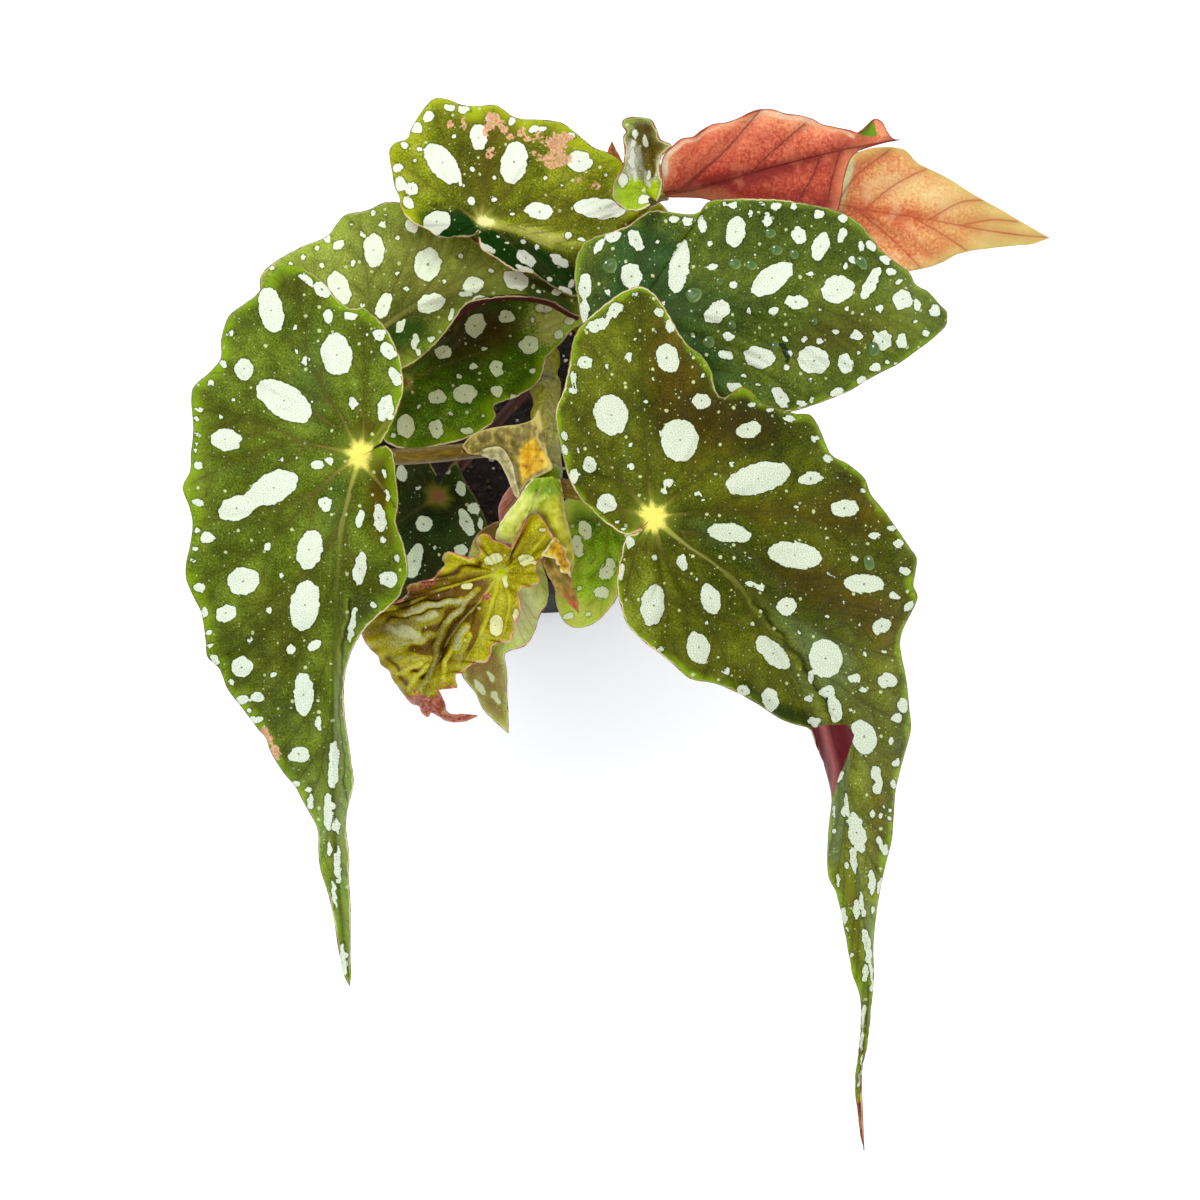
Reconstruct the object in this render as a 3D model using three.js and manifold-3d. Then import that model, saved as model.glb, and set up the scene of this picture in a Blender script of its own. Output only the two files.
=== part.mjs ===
// Potted polka dot begonia: a leggy angel wing plant of three canes and thirteen leaves in a black
// grower's pot. Millimetres, +Z up. The origin is on the surface under the middle of the pot.
import * as THREE from 'three';
import { mergeVertices } from 'three/addons/utils/BufferGeometryUtils.js';
import Module from 'manifold-3d';

const wasm = await Module();
wasm.setup();

// Driving dimensions
const GAP = 0.3;
const WELD = 1e-4;
const SLIVER = 0.005;
const BLADE = 0.8;
const POT = {
  height: 100, rim: 60, rimWall: 1.7, step: 83, neck: 56.4, base: 43, wall: 1.8, floor: 2.5, draft: 0.3,
};
const DRAIN = { count: 6, radius: 3, ring: 30, sides: 10 };
const SOIL = {
  edge: 87, rings: [[50, 88], [38, 89], [25, 90], [12, 90], [0, 90]], lumps: 0.8, lumpLength: 22,
};
const STALK_SIDES = 8;
const STALK_RINGS = 6;
const CANE_SIDES = 10;

// The plan sheet. Leaves are drawn on it in real millimetres, x to the right and y downward, as they are
// seen from EYE, 850 mm off and 75 degrees above level. A drawn point gets its height by moving along its
// line of sight, so a leaf keeps its drawn outline whatever its height is.
const SHEET = {
  size: 300,
  centre: new THREE.Vector3(17.4, -96.3, 215),
  right: new THREE.Vector3(1, 0, 0),
  up: new THREE.Vector3(0, Math.sin(THREE.MathUtils.degToRad(75)), Math.cos(THREE.MathUtils.degToRad(75))),
  distance: 850,
};
const EYE = new THREE.Vector3().crossVectors(SHEET.right, SHEET.up)
  .multiplyScalar(SHEET.distance).add(SHEET.centre);

function lift([x, y, z]) {
  const point = SHEET.centre.clone()
    .addScaledVector(SHEET.right, x - SHEET.size / 2)
    .addScaledVector(SHEET.up, SHEET.size / 2 - y);
  const ratio = (z - EYE.z) / (point.z - EYE.z);
  return point.sub(EYE).multiplyScalar(ratio).add(EYE);
}

// Solids and meshes
function toSolid(geometry) {
  const bare = new THREE.BufferGeometry();
  bare.setAttribute('position', geometry.getAttribute('position'));
  bare.setIndex(geometry.getIndex());
  const merged = mergeVertices(bare, WELD);
  return new wasm.Manifold(new wasm.Mesh({
    numProp: 3,
    vertProperties: new Float32Array(merged.getAttribute('position').array),
    triVerts: new Uint32Array(merged.getIndex().array),
  }));
}

function toGeometry(solid) {
  const mesh = solid.getMesh();
  const geometry = new THREE.BufferGeometry();
  geometry.setAttribute('position', new THREE.BufferAttribute(mesh.vertProperties, 3));
  geometry.setIndex(new THREE.BufferAttribute(mesh.triVerts, 1));
  geometry.computeVertexNormals();
  return geometry;
}

function largestPiece(solid) {
  return solid.decompose().sort((a, b) => b.volume() - a.volume())[0];
}

const plant = new THREE.Group();

function addPiece(name, solid, look) {
  const mesh = new THREE.Mesh(toGeometry(solid.simplify(SLIVER)), new THREE.MeshStandardMaterial(look));
  mesh.name = name;
  plant.add(mesh);
}

// A closed round stem along a smooth curve, with its own radius at each of its rings
function stem(points, radii, rings, sides) {
  const curve = new THREE.CatmullRomCurve3(points);
  const frames = curve.computeFrenetFrames(rings, false);
  const positions = [];
  for (let i = 0; i <= rings; i += 1) {
    const centre = curve.getPointAt(i / rings);
    const radius = radii(i / rings);
    for (let k = 0; k < sides; k += 1) {
      const turn = (2 * Math.PI * k) / sides;
      const spot = centre.clone()
        .addScaledVector(frames.normals[i], radius * Math.cos(turn))
        .addScaledVector(frames.binormals[i], radius * Math.sin(turn));
      positions.push(...spot.toArray());
    }
  }
  const foot = positions.length / 3;
  positions.push(...curve.getPointAt(0).toArray(), ...curve.getPointAt(1).toArray());
  const index = [];
  const last = rings * sides;
  for (let k = 0; k < sides; k += 1) {
    const next = (k + 1) % sides;
    for (let i = 0; i < rings; i += 1) {
      const [a, b, c, d] = [i * sides + k, i * sides + next, (i + 1) * sides + k, (i + 1) * sides + next];
      index.push(a, b, c, b, d, c);
    }
    index.push(foot, next, k, foot + 1, last + k, last + next);
  }
  const geometry = new THREE.BufferGeometry();
  geometry.setAttribute('position', new THREE.Float32BufferAttribute(positions, 3));
  geometry.setIndex(index);
  return toSolid(geometry);
}

// A blade: rays run from its rib to its left and right margins. The rays of the lobe start at the rib's
// foot, and those of the flank at stations along the rib. Both faces have the same triangles.
const STATIONS = 9;
const STILL = 3;

function sheetCurve(points) {
  return new THREE.CatmullRomCurve3(points.map((point) => new THREE.Vector3(...point)));
}

// The margin waves up and down by turns, out of the blade's plane, but lies still beside the notch
function marginPoints(margin, turn, wave) {
  const swing = (i) => (i < STILL ? 0 : wave * (i % 2 ? 1 : -1));
  const waved = margin.map(([x, y, z], i) => [x, y, z + swing(i)]);
  const lobe = waved.slice(0, turn + 1).map((point) => new THREE.Vector3(...point));
  const flank = sheetCurve(waved.slice(turn));
  for (let k = 1; k <= STATIONS; k += 1) lobe.push(flank.getPointAt(k / STATIONS));
  return lobe;
}

function bladeGeometry(spec) {
  const { rib, left, right, leftTurn, rightTurn, arch = 0, wave = 0, columns = 3, thick = BLADE } = spec;
  const ribCurve = sheetCurve(rib);
  const tip = new THREE.Vector3(...rib.at(-1));
  const sheet = [];
  for (let k = 0; k < STATIONS; k += 1) sheet.push(ribCurve.getPointAt(k / STATIONS));
  sheet.push(tip);
  const rays = [];
  const addSide = (margin, turn) => marginPoints([...margin, rib.at(-1)], turn, wave).map((edge, i) => {
    const station = Math.max(0, i - turn);
    if (station === STATIONS) return [STATIONS];
    const from = sheet[station];
    const reach = Math.hypot(edge.x - from.x, edge.y - from.y);
    const ray = [station];
    for (let j = 1; j <= columns; j += 1) {
      const t = j / columns;
      const point = from.clone().lerp(edge, t);
      point.z += arch * reach * 4 * t * (1 - t);
      ray.push(sheet.push(point) - 1);
    }
    return ray;
  });
  rays.push(addSide(left, leftTurn), addSide(right, rightTurn));

  const faces = [];
  rays.forEach((side, which) => {
    const put = (a, b, c) => faces.push(which ? [a, c, b] : [a, b, c]);
    for (let i = 0; i + 1 < side.length; i += 1) {
      const [here, next] = [side[i], side[i + 1]];
      if (next.length === 1) {
        for (let j = 0; j < columns; j += 1) put(here[j], next[0], here[j + 1]);
        continue;
      }
      if (here[0] === next[0]) put(here[0], next[1], here[1]);
      else {
        put(here[0], next[0], here[1]);
        put(next[0], next[1], here[1]);
      }
      for (let j = 1; j < columns; j += 1) {
        put(here[j], next[j], here[j + 1]);
        put(next[j], next[j + 1], here[j + 1]);
      }
    }
  });
  const rim = [...rays[0][0], ...rays[0].slice(1, -1).map((ray) => ray[columns]), STATIONS,
    ...rays[1].slice(1, -1).map((ray) => ray[columns]).reverse(), ...rays[1][0].slice(1).reverse()];
  return thicken(sheet.map((point) => lift(point.toArray())), faces, rim, thick);
}

// Gives a sheet of triangles its thickness, half to each side along the corner normals
function thicken(points, faces, rim, thick) {
  const normals = points.map(() => new THREE.Vector3());
  for (const [a, b, c] of faces) {
    const normal = new THREE.Vector3().crossVectors(
      points[b].clone().sub(points[a]), points[c].clone().sub(points[a]));
    for (const corner of [a, b, c]) normals[corner].add(normal);
  }
  normals.forEach((normal) => normal.setLength(thick / 2));
  const positions = [];
  for (const way of [1, -1]) {
    points.forEach((point, i) => {
      positions.push(...point.clone().addScaledVector(normals[i], way).toArray());
    });
  }
  const under = points.length;
  const index = [];
  for (const [a, b, c] of faces) index.push(a, b, c, under + a, under + c, under + b);
  rim.forEach((a, i) => {
    const b = rim[(i + 1) % rim.length];
    const wall = [a, under + a, b, b, under + a, under + b];
    index.push(...(edgeRuns(faces, a, b) ? wall : wall.reverse()));
  });
  const geometry = new THREE.BufferGeometry();
  geometry.setAttribute('position', new THREE.Float32BufferAttribute(positions, 3));
  geometry.setIndex(index);
  return geometry;
}

function edgeRuns(faces, a, b) {
  return faces.some((face) => face.some((corner, i) => corner === a && face[(i + 1) % 3] === b));
}

// Canes, in real places: each stands in its hole in the soil and swells at its nodes
const CANES = {
  cane_front: {
    path: [[0.6, 15.5, 70], [1, 12.6, 90], [1.5, 3.5, 108], [2.6, -22, 148], [3.9, -46, 188], [4.8, -67, 221]],
    radius: [3.9, 3.1], nodes: [0.22, 0.42, 0.6, 0.78, 0.95],
  },
  cane_right: {
    path: [[10.5, 21.5, 70], [12, 22, 90], [16.5, 22.6, 120], [21.8, 23.2, 150], [30.4, 24.4, 196]],
    radius: [3.7, 1.7], nodes: [0.25, 0.5, 0.68, 0.83],
  },
  cane_left: {
    path: [[-11, 23.5, 70], [-12, 24, 90], [-13.6, 25, 125], [-15.6, 26, 164]],
    radius: [3.6, 2.9], nodes: [0.3, 0.6, 0.92],
  },
};
const NODE_SWELL = 0.9;
const NODE_LENGTH = 0.035;
const CANE_RINGS = 22;

function cane({ path, radius, nodes }, grow = 0) {
  const points = path.map((point) => new THREE.Vector3(...point));
  if (grow > 0) {
    points[0].add(points[0].clone().sub(points[1]).setLength(GAP));
    points.at(-1).add(points.at(-1).clone().sub(points.at(-2)).setLength(GAP));
  }
  const size = (t) => {
    const swell = nodes.reduce((sum, at) => sum + Math.exp(-(((t - at) / NODE_LENGTH) ** 2)), 0);
    return radius[0] + (radius[1] - radius[0]) * t + NODE_SWELL * swell + grow;
  };
  return stem(points, size, CANE_RINGS, CANE_SIDES);
}

// The cane with the gap round it and past its ends that its neighbours keep
function caneRoom(name) {
  return cane(CANES[name], GAP / Math.cos(Math.PI / CANE_SIDES));
}

// Leaves: rib, margins and stalk on the plan sheet as [x, y, height]. A margin runs from the notch at the
// stalk round its lobe, which ends at its turn, and down its flank to the tip.
const LEAVES = {
  leaf_left: {
    cane: 'cane_front', columns: 3, arch: 0.05, wave: 0.8, leftTurn: 17, rightTurn: 3,
    rib: [[90.1, 113.8, 225], [86, 128, 224], [84.2, 145, 221], [83.3, 162, 215], [83, 180, 205],
      [83.3, 200, 193], [84.6, 222, 174], [87.4, 246.6, 150]],
    left: [[95.5, 110.6, 224], [99.7, 101.7, 222], [100.7, 94, 219], [97.8, 84.4, 216], [92.6, 78.3, 214],
      [87.2, 77, 214], [81.7, 71.5, 211], [75.3, 66.9, 208], [69.6, 66.7, 206], [64.4, 73.5, 207],
      [57.4, 78.9, 205], [55.3, 87.5, 206], [52.9, 92.7, 206], [47.9, 98.5, 204], [48.2, 109, 206],
      [45.8, 121.9, 204], [48.2, 130.5, 205], [46.6, 142, 202], [50.3, 152.9, 200], [51.9, 164.1, 196],
      [57.1, 172.4, 193], [64.4, 182, 189], [68.5, 188.5, 187], [74, 196.8, 183], [79.5, 207.4, 178],
      [80.1, 216.7, 173], [83.7, 230.8, 163], [86.2, 243, 153]],
    right: [[95.2, 111.9, 223], [97.8, 112.6, 221], [99.2, 121.5, 216], [98.9, 129.6, 214],
      [100.7, 135.6, 211], [101.9, 143.3, 208], [99.7, 149.1, 206], [93.3, 154.9, 203], [88, 162, 199],
      [85.9, 172, 191], [86.8, 184, 184], [88.3, 195.8, 178], [86.5, 206, 173], [87.1, 218, 167],
      [87.6, 232, 158], [87.6, 243, 152]],
    stalk: [[134, 111, 190], [120, 112.4, 198], [106, 113.8, 208], [94, 114.2, 221], [90.1, 113.8, 224]],
    stalkRadius: [2.4, 2.1],
  },
  leaf_front: {
    cane: 'cane_front', columns: 3, arch: 0.06, wave: 0.9, leftTurn: 21, rightTurn: 8,
    rib: [[163.3, 129.3, 238], [171.7, 136.6, 238], [177.8, 140.4, 237], [184, 145.7, 235],
      [193.1, 158, 229], [203.9, 170.2, 219], [210.9, 182, 208], [211.2, 198, 192], [213.4, 213, 178],
      [216.2, 232, 160], [216.9, 249, 143], [215.4, 268, 128], [216, 287.6, 114]],
    left: [[158.8, 131.5, 237], [155, 133.1, 235], [148.8, 128.2, 232], [143.4, 122.4, 230],
      [140.7, 113.6, 229], [139.2, 104, 228], [141.9, 93.7, 228], [143.6, 84.5, 226], [151.8, 75.7, 224],
      [160.2, 71.7, 222], [165.5, 76, 223], [169.8, 84, 225], [176.8, 91.5, 225], [179, 97.9, 226],
      [182.4, 98.7, 226], [186.5, 96.8, 224], [191, 101.2, 223], [198.5, 103.4, 220], [203.5, 104.8, 217],
      [206.9, 112.4, 215], [216.1, 119.7, 209], [220.7, 127.4, 206], [229.1, 139.6, 199],
      [228.7, 149.2, 196], [224.9, 160.3, 194], [226.4, 169.5, 189], [227.6, 182.3, 183],
      [223.9, 197, 176], [222.8, 210.2, 168], [219.9, 222.7, 160], [218.2, 237.4, 150], [217.7, 252, 140],
      [216.2, 267.4, 130], [216.2, 280, 120]],
    right: [[159.9, 132.8, 237], [157.4, 136.5, 234.6], [155.6, 139.2, 232], [154.3, 146.5, 227],
      [157.2, 156.5, 223], [161.8, 161, 220], [167.9, 165.6, 217], [172.5, 169.5, 215],
      [179.4, 171, 214], [184.7, 173.3, 212], [190.1, 176.4, 210], [196.2, 180.2, 207],
      [202.6, 182.4, 203], [204.2, 186.5, 195], [206.3, 191.9, 189], [208, 199.2, 184],
      [207.2, 207, 179], [207.3, 217, 170], [209.4, 224, 165], [212, 236, 154], [214.8, 247, 144],
      [214.9, 257, 136], [213.8, 270, 127], [214.8, 281, 119]],
    stalk: [[138, 121.5, 215], [148, 123.5, 222], [158, 127, 232], [163.3, 129.3, 237]],
    stalkRadius: [2.5, 2.2],
  },
  leaf_right: {
    cane: 'cane_right', columns: 2, arch: 0.02, wave: 0.5, leftTurn: 10, rightTurn: 5,
    rib: [[155, 83, 200], [168, 79, 203], [182, 76.5, 204], [196, 76, 203], [210, 77, 200],
      [224, 78.3, 193], [236.8, 79.2, 180]],
    left: [[151, 86.5, 199], [147, 85, 197], [145, 79, 196], [143.7, 70.4, 195], [144.6, 63.5, 195],
      [148.4, 59.4, 195], [157.1, 56.4, 196], [163, 52.9, 197], [169.8, 53.4, 198], [174.4, 53.2, 198],
      [177.6, 50.3, 197], [188.6, 49.7, 197], [202, 51, 196], [212, 54, 193], [218, 59.7, 191],
      [224.1, 65.8, 188], [228.8, 71.1, 185], [234.8, 76.1, 181]],
    right: [[152.5, 88.5, 199], [158, 95, 198], [168, 100.5, 197], [180, 103.8, 196], [188, 104.6, 195],
      [195.5, 103.2, 194], [199.3, 102.6, 193], [205.3, 100.6, 192], [212, 97.9, 190],
      [218.7, 93.9, 188], [224.1, 91.2, 186], [228.8, 87.9, 184], [234.1, 83.8, 182]],
    stalk: [[154.8, 59.5, 155], [156.6, 66, 163], [157, 73, 174], [156, 79, 188], [155, 83, 199]],
    stalkRadius: [2.2, 2],
  },
  leaf_back: {
    cane: 'cane_left', columns: 2, arch: 0.03, wave: 0.8, leftTurn: 15, rightTurn: 3,
    rib: [[120, 55.7, 190], [129.4, 57.9, 191], [138.2, 61.5, 191], [146, 63.3, 189.5], [156, 64, 186.5],
      [168, 64.5, 181], [178, 64, 175]],
    left: [[119.2, 57.2, 189], [114.1, 59.4, 187], [108.4, 58.5, 186], [103.3, 55.9, 185],
      [100, 50.5, 184], [98.3, 44, 183], [97.3, 38, 182], [101.8, 34.7, 182], [104.3, 29.7, 180],
      [108.9, 24.6, 178], [115.1, 26.2, 178], [122.5, 26.2, 178], [129, 29.6, 180], [138.2, 30.3, 180],
      [146.4, 35.4, 181], [154.1, 39.5, 181], [155.9, 42.2, 181.5], [155.9, 48.5, 183],
      [157.8, 52.3, 184], [161.2, 51.9, 184], [163.2, 51.2, 183], [164.6, 50.9, 182.5],
      [169, 55.5, 180], [175, 60, 177]],
    right: [[119.8, 59, 188.5], [121.2, 63.1, 186], [127.9, 67.4, 183], [132.5, 68.2, 182],
      [138, 71.7, 180], [143.8, 74.1, 179], [150, 72.3, 178.5], [158, 69.4, 178], [168, 67.2, 176.5]],
    stalk: [[120.3, 54.5, 160], [120.3, 53, 172], [120.1, 54.5, 183], [120, 55.7, 189]],
    stalkRadius: [2.2, 2],
  },
  leaf_pale: {
    cane: 'cane_left', columns: 2, arch: 0.02, wave: 0.5, leftTurn: 10, rightTurn: 4,
    rib: [[93, 84, 176], [105, 76, 177], [118, 72, 177], [132, 71.3, 175], [143, 75, 171.5],
      [150, 78.5, 168.5]],
    left: [[87.5, 87.5, 175], [78, 87, 172], [69, 82, 169], [66, 76, 167.5], [65.2, 69.2, 167],
      [68.5, 65.7, 167], [75.8, 61.6, 167], [81.9, 59, 168], [86, 54, 168], [91.5, 52.7, 169],
      [96.6, 50.6, 170], [100.6, 50.9, 170.5], [107, 54, 172], [114, 57.5, 173], [121, 61.5, 173],
      [130, 65.5, 173], [139, 70, 172], [146.5, 75.3, 170]],
    right: [[91.5, 89, 175], [96, 91.8, 174], [100.5, 92.2, 173.5], [104.7, 89.9, 173],
      [109.3, 85.6, 172], [113.4, 80.4, 171], [116.5, 76.1, 170.5], [121, 74.8, 170],
      [130.7, 74.2, 169.5], [137.5, 75.3, 168.8], [144.8, 79.2, 168]],
    stalk: [[120.8, 57.6, 149], [114, 63, 156], [105, 71, 166], [97, 80, 173], [93, 84, 175]],
    stalkRadius: [2.2, 1.9],
  },
  leaf_inner: {
    cane: 'cane_front', columns: 2, arch: 0.03, wave: 0.5, leftTurn: 4, rightTurn: 5,
    rib: [[101.3, 95.6, 152], [112, 91, 153], [124, 87, 151], [136, 82.5, 147], [146, 79.5, 143],
      [154, 78.6, 140]],
    left: [[98.5, 93, 151], [97, 88, 149], [100, 81, 147], [108, 76, 146], [118, 72, 145],
      [130, 70.5, 145], [140, 71.8, 144], [148, 75, 142]],
    right: [[98.4, 97.6, 151], [95.5, 104, 149], [96, 110, 147], [102.5, 112.6, 146], [110, 111.4, 146],
      [117.4, 109.3, 146], [122.6, 106.2, 146], [124, 104.1, 146], [123.3, 101.7, 146.5],
      [129.5, 99.1, 146], [134.6, 95.6, 145], [136.2, 91.5, 144.5], [136.6, 89.4, 144.5],
      [139.9, 86.2, 143.5], [144.3, 81.5, 142], [149, 80.7, 141]],
    stalk: [[136.4, 94.5, 122], [128, 94, 128], [115, 95, 138], [106, 96, 147], [101.3, 95.6, 151]],
    stalkRadius: [2.1, 1.8],
  },
  leaf_low: {
    cane: 'cane_front', columns: 2, arch: 0.04, wave: 0.5, leftTurn: 3, rightTurn: 5,
    rib: [[109.4, 124.2, 122], [98, 132, 123], [86, 142, 119], [74, 151, 111], [60, 160, 101]],
    left: [[109.2, 118.8, 121], [106.5, 114.5, 120], [98, 113, 118], [89, 115, 116], [81, 120, 114],
      [74, 129, 111], [67, 141, 107], [62, 151, 103]],
    right: [[111.2, 118.9, 121.5], [113.6, 115.2, 121], [116.4, 120.5, 120], [119.2, 125.1, 118.5],
      [122, 132.4, 117], [121.5, 141, 115], [115, 148, 113], [104, 151.5, 111], [94, 152.5, 109],
      [82, 157.5, 105], [69, 161, 102]],
    stalk: [[136.2, 92, 107], [130.5, 98.8, 110], [120, 110.5, 116], [112, 120.5, 120],
      [109.4, 124.2, 121.2]],
    stalkRadius: [2, 1.7],
  },
  leaf_tucked: {
    cane: 'cane_front', columns: 2, arch: 0.03, wave: 0.4, leftTurn: 2, rightTurn: 12,
    rib: [[152, 130, 183], [162, 138, 182], [172, 146, 179], [182, 155.5, 173], [190, 164, 166]],
    left: [[153.5, 126, 182.5], [160, 124, 181], [170, 130, 179], [180, 140, 175], [187, 152, 170]],
    right: [[150, 126.8, 182], [144, 123.5, 179], [140, 127, 177], [138.6, 135, 176], [138, 142, 175],
      [138.7, 148.1, 174], [139.5, 152.4, 173], [141.5, 155.8, 172], [144.5, 157, 172],
      [149, 155.5, 172], [153, 151.3, 173], [156, 147.5, 174], [163, 148, 174], [172, 153, 172],
      [182, 160, 169]],
    stalk: [[137, 109, 179], [144, 111.5, 180], [150, 119, 180.5], [152, 126, 181], [152, 130, 182]],
    stalkRadius: [2, 1.8],
  },
  leaf_new: {
    cane: 'cane_front', columns: 2, arch: 0.05, wave: 0.8, leftTurn: 11, rightTurn: 6,
    rib: [[125.3, 143, 200], [121, 149, 198], [115, 156, 192], [110, 164, 186], [107, 172, 179],
      [109.5, 177.8, 173], [119.5, 179, 170]],
    left: [[126.9, 136.2, 205], [126.1, 134.9, 206], [122.9, 134.5, 206], [121.2, 133.7, 206],
      [119.5, 134.5, 204.5], [119.8, 137.9, 202], [116.4, 140, 200.5], [112.4, 139.6, 200],
      [110.7, 140, 199], [108.6, 143.9, 197], [101.7, 146.9, 194], [96.5, 151.5, 191],
      [90.5, 158, 186], [92, 161, 184], [95, 165.1, 181], [97.4, 168.1, 178], [98.6, 171.8, 176],
      [101.1, 174.8, 174], [104.1, 176.6, 172], [107.1, 179, 171], [113.2, 180.4, 170]],
    right: [[128.8, 136.6, 205], [132.2, 130.9, 209], [133.8, 128.2, 212], [136.8, 131.2, 212],
      [138.4, 136, 210], [134.4, 140.9, 206], [135.3, 144.5, 204], [133.8, 146.6, 202],
      [129.5, 147.5, 200], [129.8, 150.6, 198], [130.1, 155.4, 195], [128.3, 159.7, 192],
      [123.5, 161.5, 190], [122.9, 165.7, 186], [115, 168.1, 183], [113.8, 171.5, 179],
      [110.4, 172.2, 177], [110.7, 175.6, 174]],
    stalk: [[135.5, 118.5, 210], [130, 121.5, 205], [126, 127, 200], [124.6, 134, 197],
      [125.4, 142.6, 199.4]],
    stalkRadius: [2, 1.7],
  },
  leaf_hanging: {
    cane: 'cane_front', columns: 2, arch: 0.03, wave: 0.4, leftTurn: 2, rightTurn: 3,
    rib: [[127, 137, 180], [127.5, 150, 178], [125.5, 163, 171], [124.6, 174, 161], [127.1, 183.3, 151]],
    left: [[125.2, 133.8, 179], [119.5, 137, 177], [115, 146, 174], [112.5, 156, 170], [113, 163, 167],
      [115.6, 168.1, 164], [119.2, 173.6, 159], [121.7, 177.8, 155]],
    right: [[128.6, 133.6, 179], [133.5, 136.5, 178], [136.8, 144.5, 175], [137.1, 148.1, 174],
      [136.2, 151.8, 173], [134.4, 156.6, 171], [131.3, 161.5, 168], [127.2, 163.8, 166],
      [126.4, 168.7, 163], [126.6, 175, 157]],
    stalk: [[136.6, 104.5, 170], [133, 112, 173], [129, 122, 177], [127, 131, 179], [127, 137, 179.2]],
    stalkRadius: [1.8, 1.6],
  },
  leaf_cupped: {
    cane: 'cane_right', columns: 2, arch: -0.03, leftTurn: 5, rightTurn: 2,
    rib: [[161, 47.3, 201.5], [160.8, 42, 202.5], [160.5, 36, 206], [159.7, 29.2, 211]],
    left: [[162.6, 51.4, 201], [160.2, 52.3, 200], [157.2, 52.4, 200], [154.3, 51, 201],
      [153, 47.7, 203], [153.5, 45.1, 205], [156.1, 41.5, 208], [156.4, 37.4, 210], [155.6, 33.3, 211],
      [156, 29.9, 212]],
    right: [[164.3, 50.4, 201], [165.5, 46.7, 204], [165, 41.5, 207], [166.2, 38, 208],
      [165.2, 34.4, 210], [163.6, 31, 211]],
    stalk: [[162.1, 45, 194], [161.7, 46.3, 198], [161, 47.3, 201]],
    stalkRadius: [1.5, 1.4],
  },
  leaf_turned_red: {
    cane: 'cane_right', columns: 2, arch: 0.03, wave: 0.6, leftTurn: 6, rightTurn: 1,
    rib: [[166.4, 48.3, 184], [178, 46, 186], [192, 42, 187], [208, 38, 185], [224.9, 34.9, 180]],
    left: [[165.5, 45.5, 186], [165.3, 40, 190], [167, 37.2, 192], [170.7, 34.4, 193.5],
      [178.3, 31.2, 195], [184.7, 29.4, 195.5], [191, 27.4, 195.5], [197.5, 28.2, 194],
      [206.2, 31.2, 191], [212, 32.4, 188], [218.5, 33.9, 184]],
    right: [[165.8, 49.1, 183.6], [168, 49.4, 183.2], [176, 49.6, 182], [185, 53, 181], [196, 56.5, 180], [205, 56, 179],
      [209.4, 52.5, 179.5], [211, 44.7, 182], [213.2, 38.8, 183], [219.7, 36, 182]],
    stalk: [[158.8, 53, 170], [161.5, 50.6, 176], [164.5, 49, 181], [166.4, 48.3, 183.4]],
    stalkRadius: [2, 1.8],
  },
  leaf_turned_pale: {
    cane: 'cane_right', columns: 2, arch: 0.03, wave: 0.6, leftTurn: 4, rightTurn: 4,
    rib: [[177, 54.5, 168], [190, 52, 171], [209, 51.2, 170], [216, 52.5, 169], [232, 55, 163],
      [252, 58.5, 155], [262.4, 59.5, 150]],
    left: [[176, 51.8, 168.5], [182, 46, 170], [192, 42, 171], [204, 40, 171], [212, 38.7, 171],
      [219, 36.9, 170], [226.1, 37.5, 167], [229.3, 40.7, 165], [235.7, 43.9, 163], [242.8, 48.3, 160],
      [249.2, 51.9, 157], [256, 55.9, 153]],
    right: [[178, 57.6, 167.5], [184, 61, 167], [194, 65, 167], [207, 67.5, 167], [219, 68.6, 166],
      [228.5, 67.6, 164], [234.9, 65.9, 161], [239.6, 63.5, 159], [251.6, 61.6, 154],
      [258, 61, 151.5]],
    stalk: [[155, 62.5, 142], [162, 59, 150], [171, 56, 162], [177, 54.5, 167.2]],
    stalkRadius: [2, 1.8],
  },
};

const KNOB = { radius: 2.5, height: 1.5, drop: 0.9 };

// The small boss under the blade where the stalk widens into it
function knob([x, y, z], radius) {
  const boss = new THREE.IcosahedronGeometry(1, 0);
  const size = (radius / 2) * KNOB.radius;
  boss.scale(size, size, KNOB.height);
  const seat = lift([x, y, z]);
  boss.translate(seat.x, seat.y, seat.z - KNOB.drop);
  return toSolid(boss);
}

function stalkSolid({ stalk, stalkRadius: [thick, thin] }) {
  const points = stalk.map(lift);
  return stem(points, (t) => thick + (thin - thick) * Math.min(1, 3 * t), STALK_RINGS, STALK_SIDES);
}

function leaf(spec) {
  const blade = toSolid(bladeGeometry(spec));
  const stalk = stalkSolid(spec).subtract(caneRoom(spec.cane));
  return largestPiece(blade.add(stalk).add(knob(spec.rib[0], spec.stalkRadius[1])));
}

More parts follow.
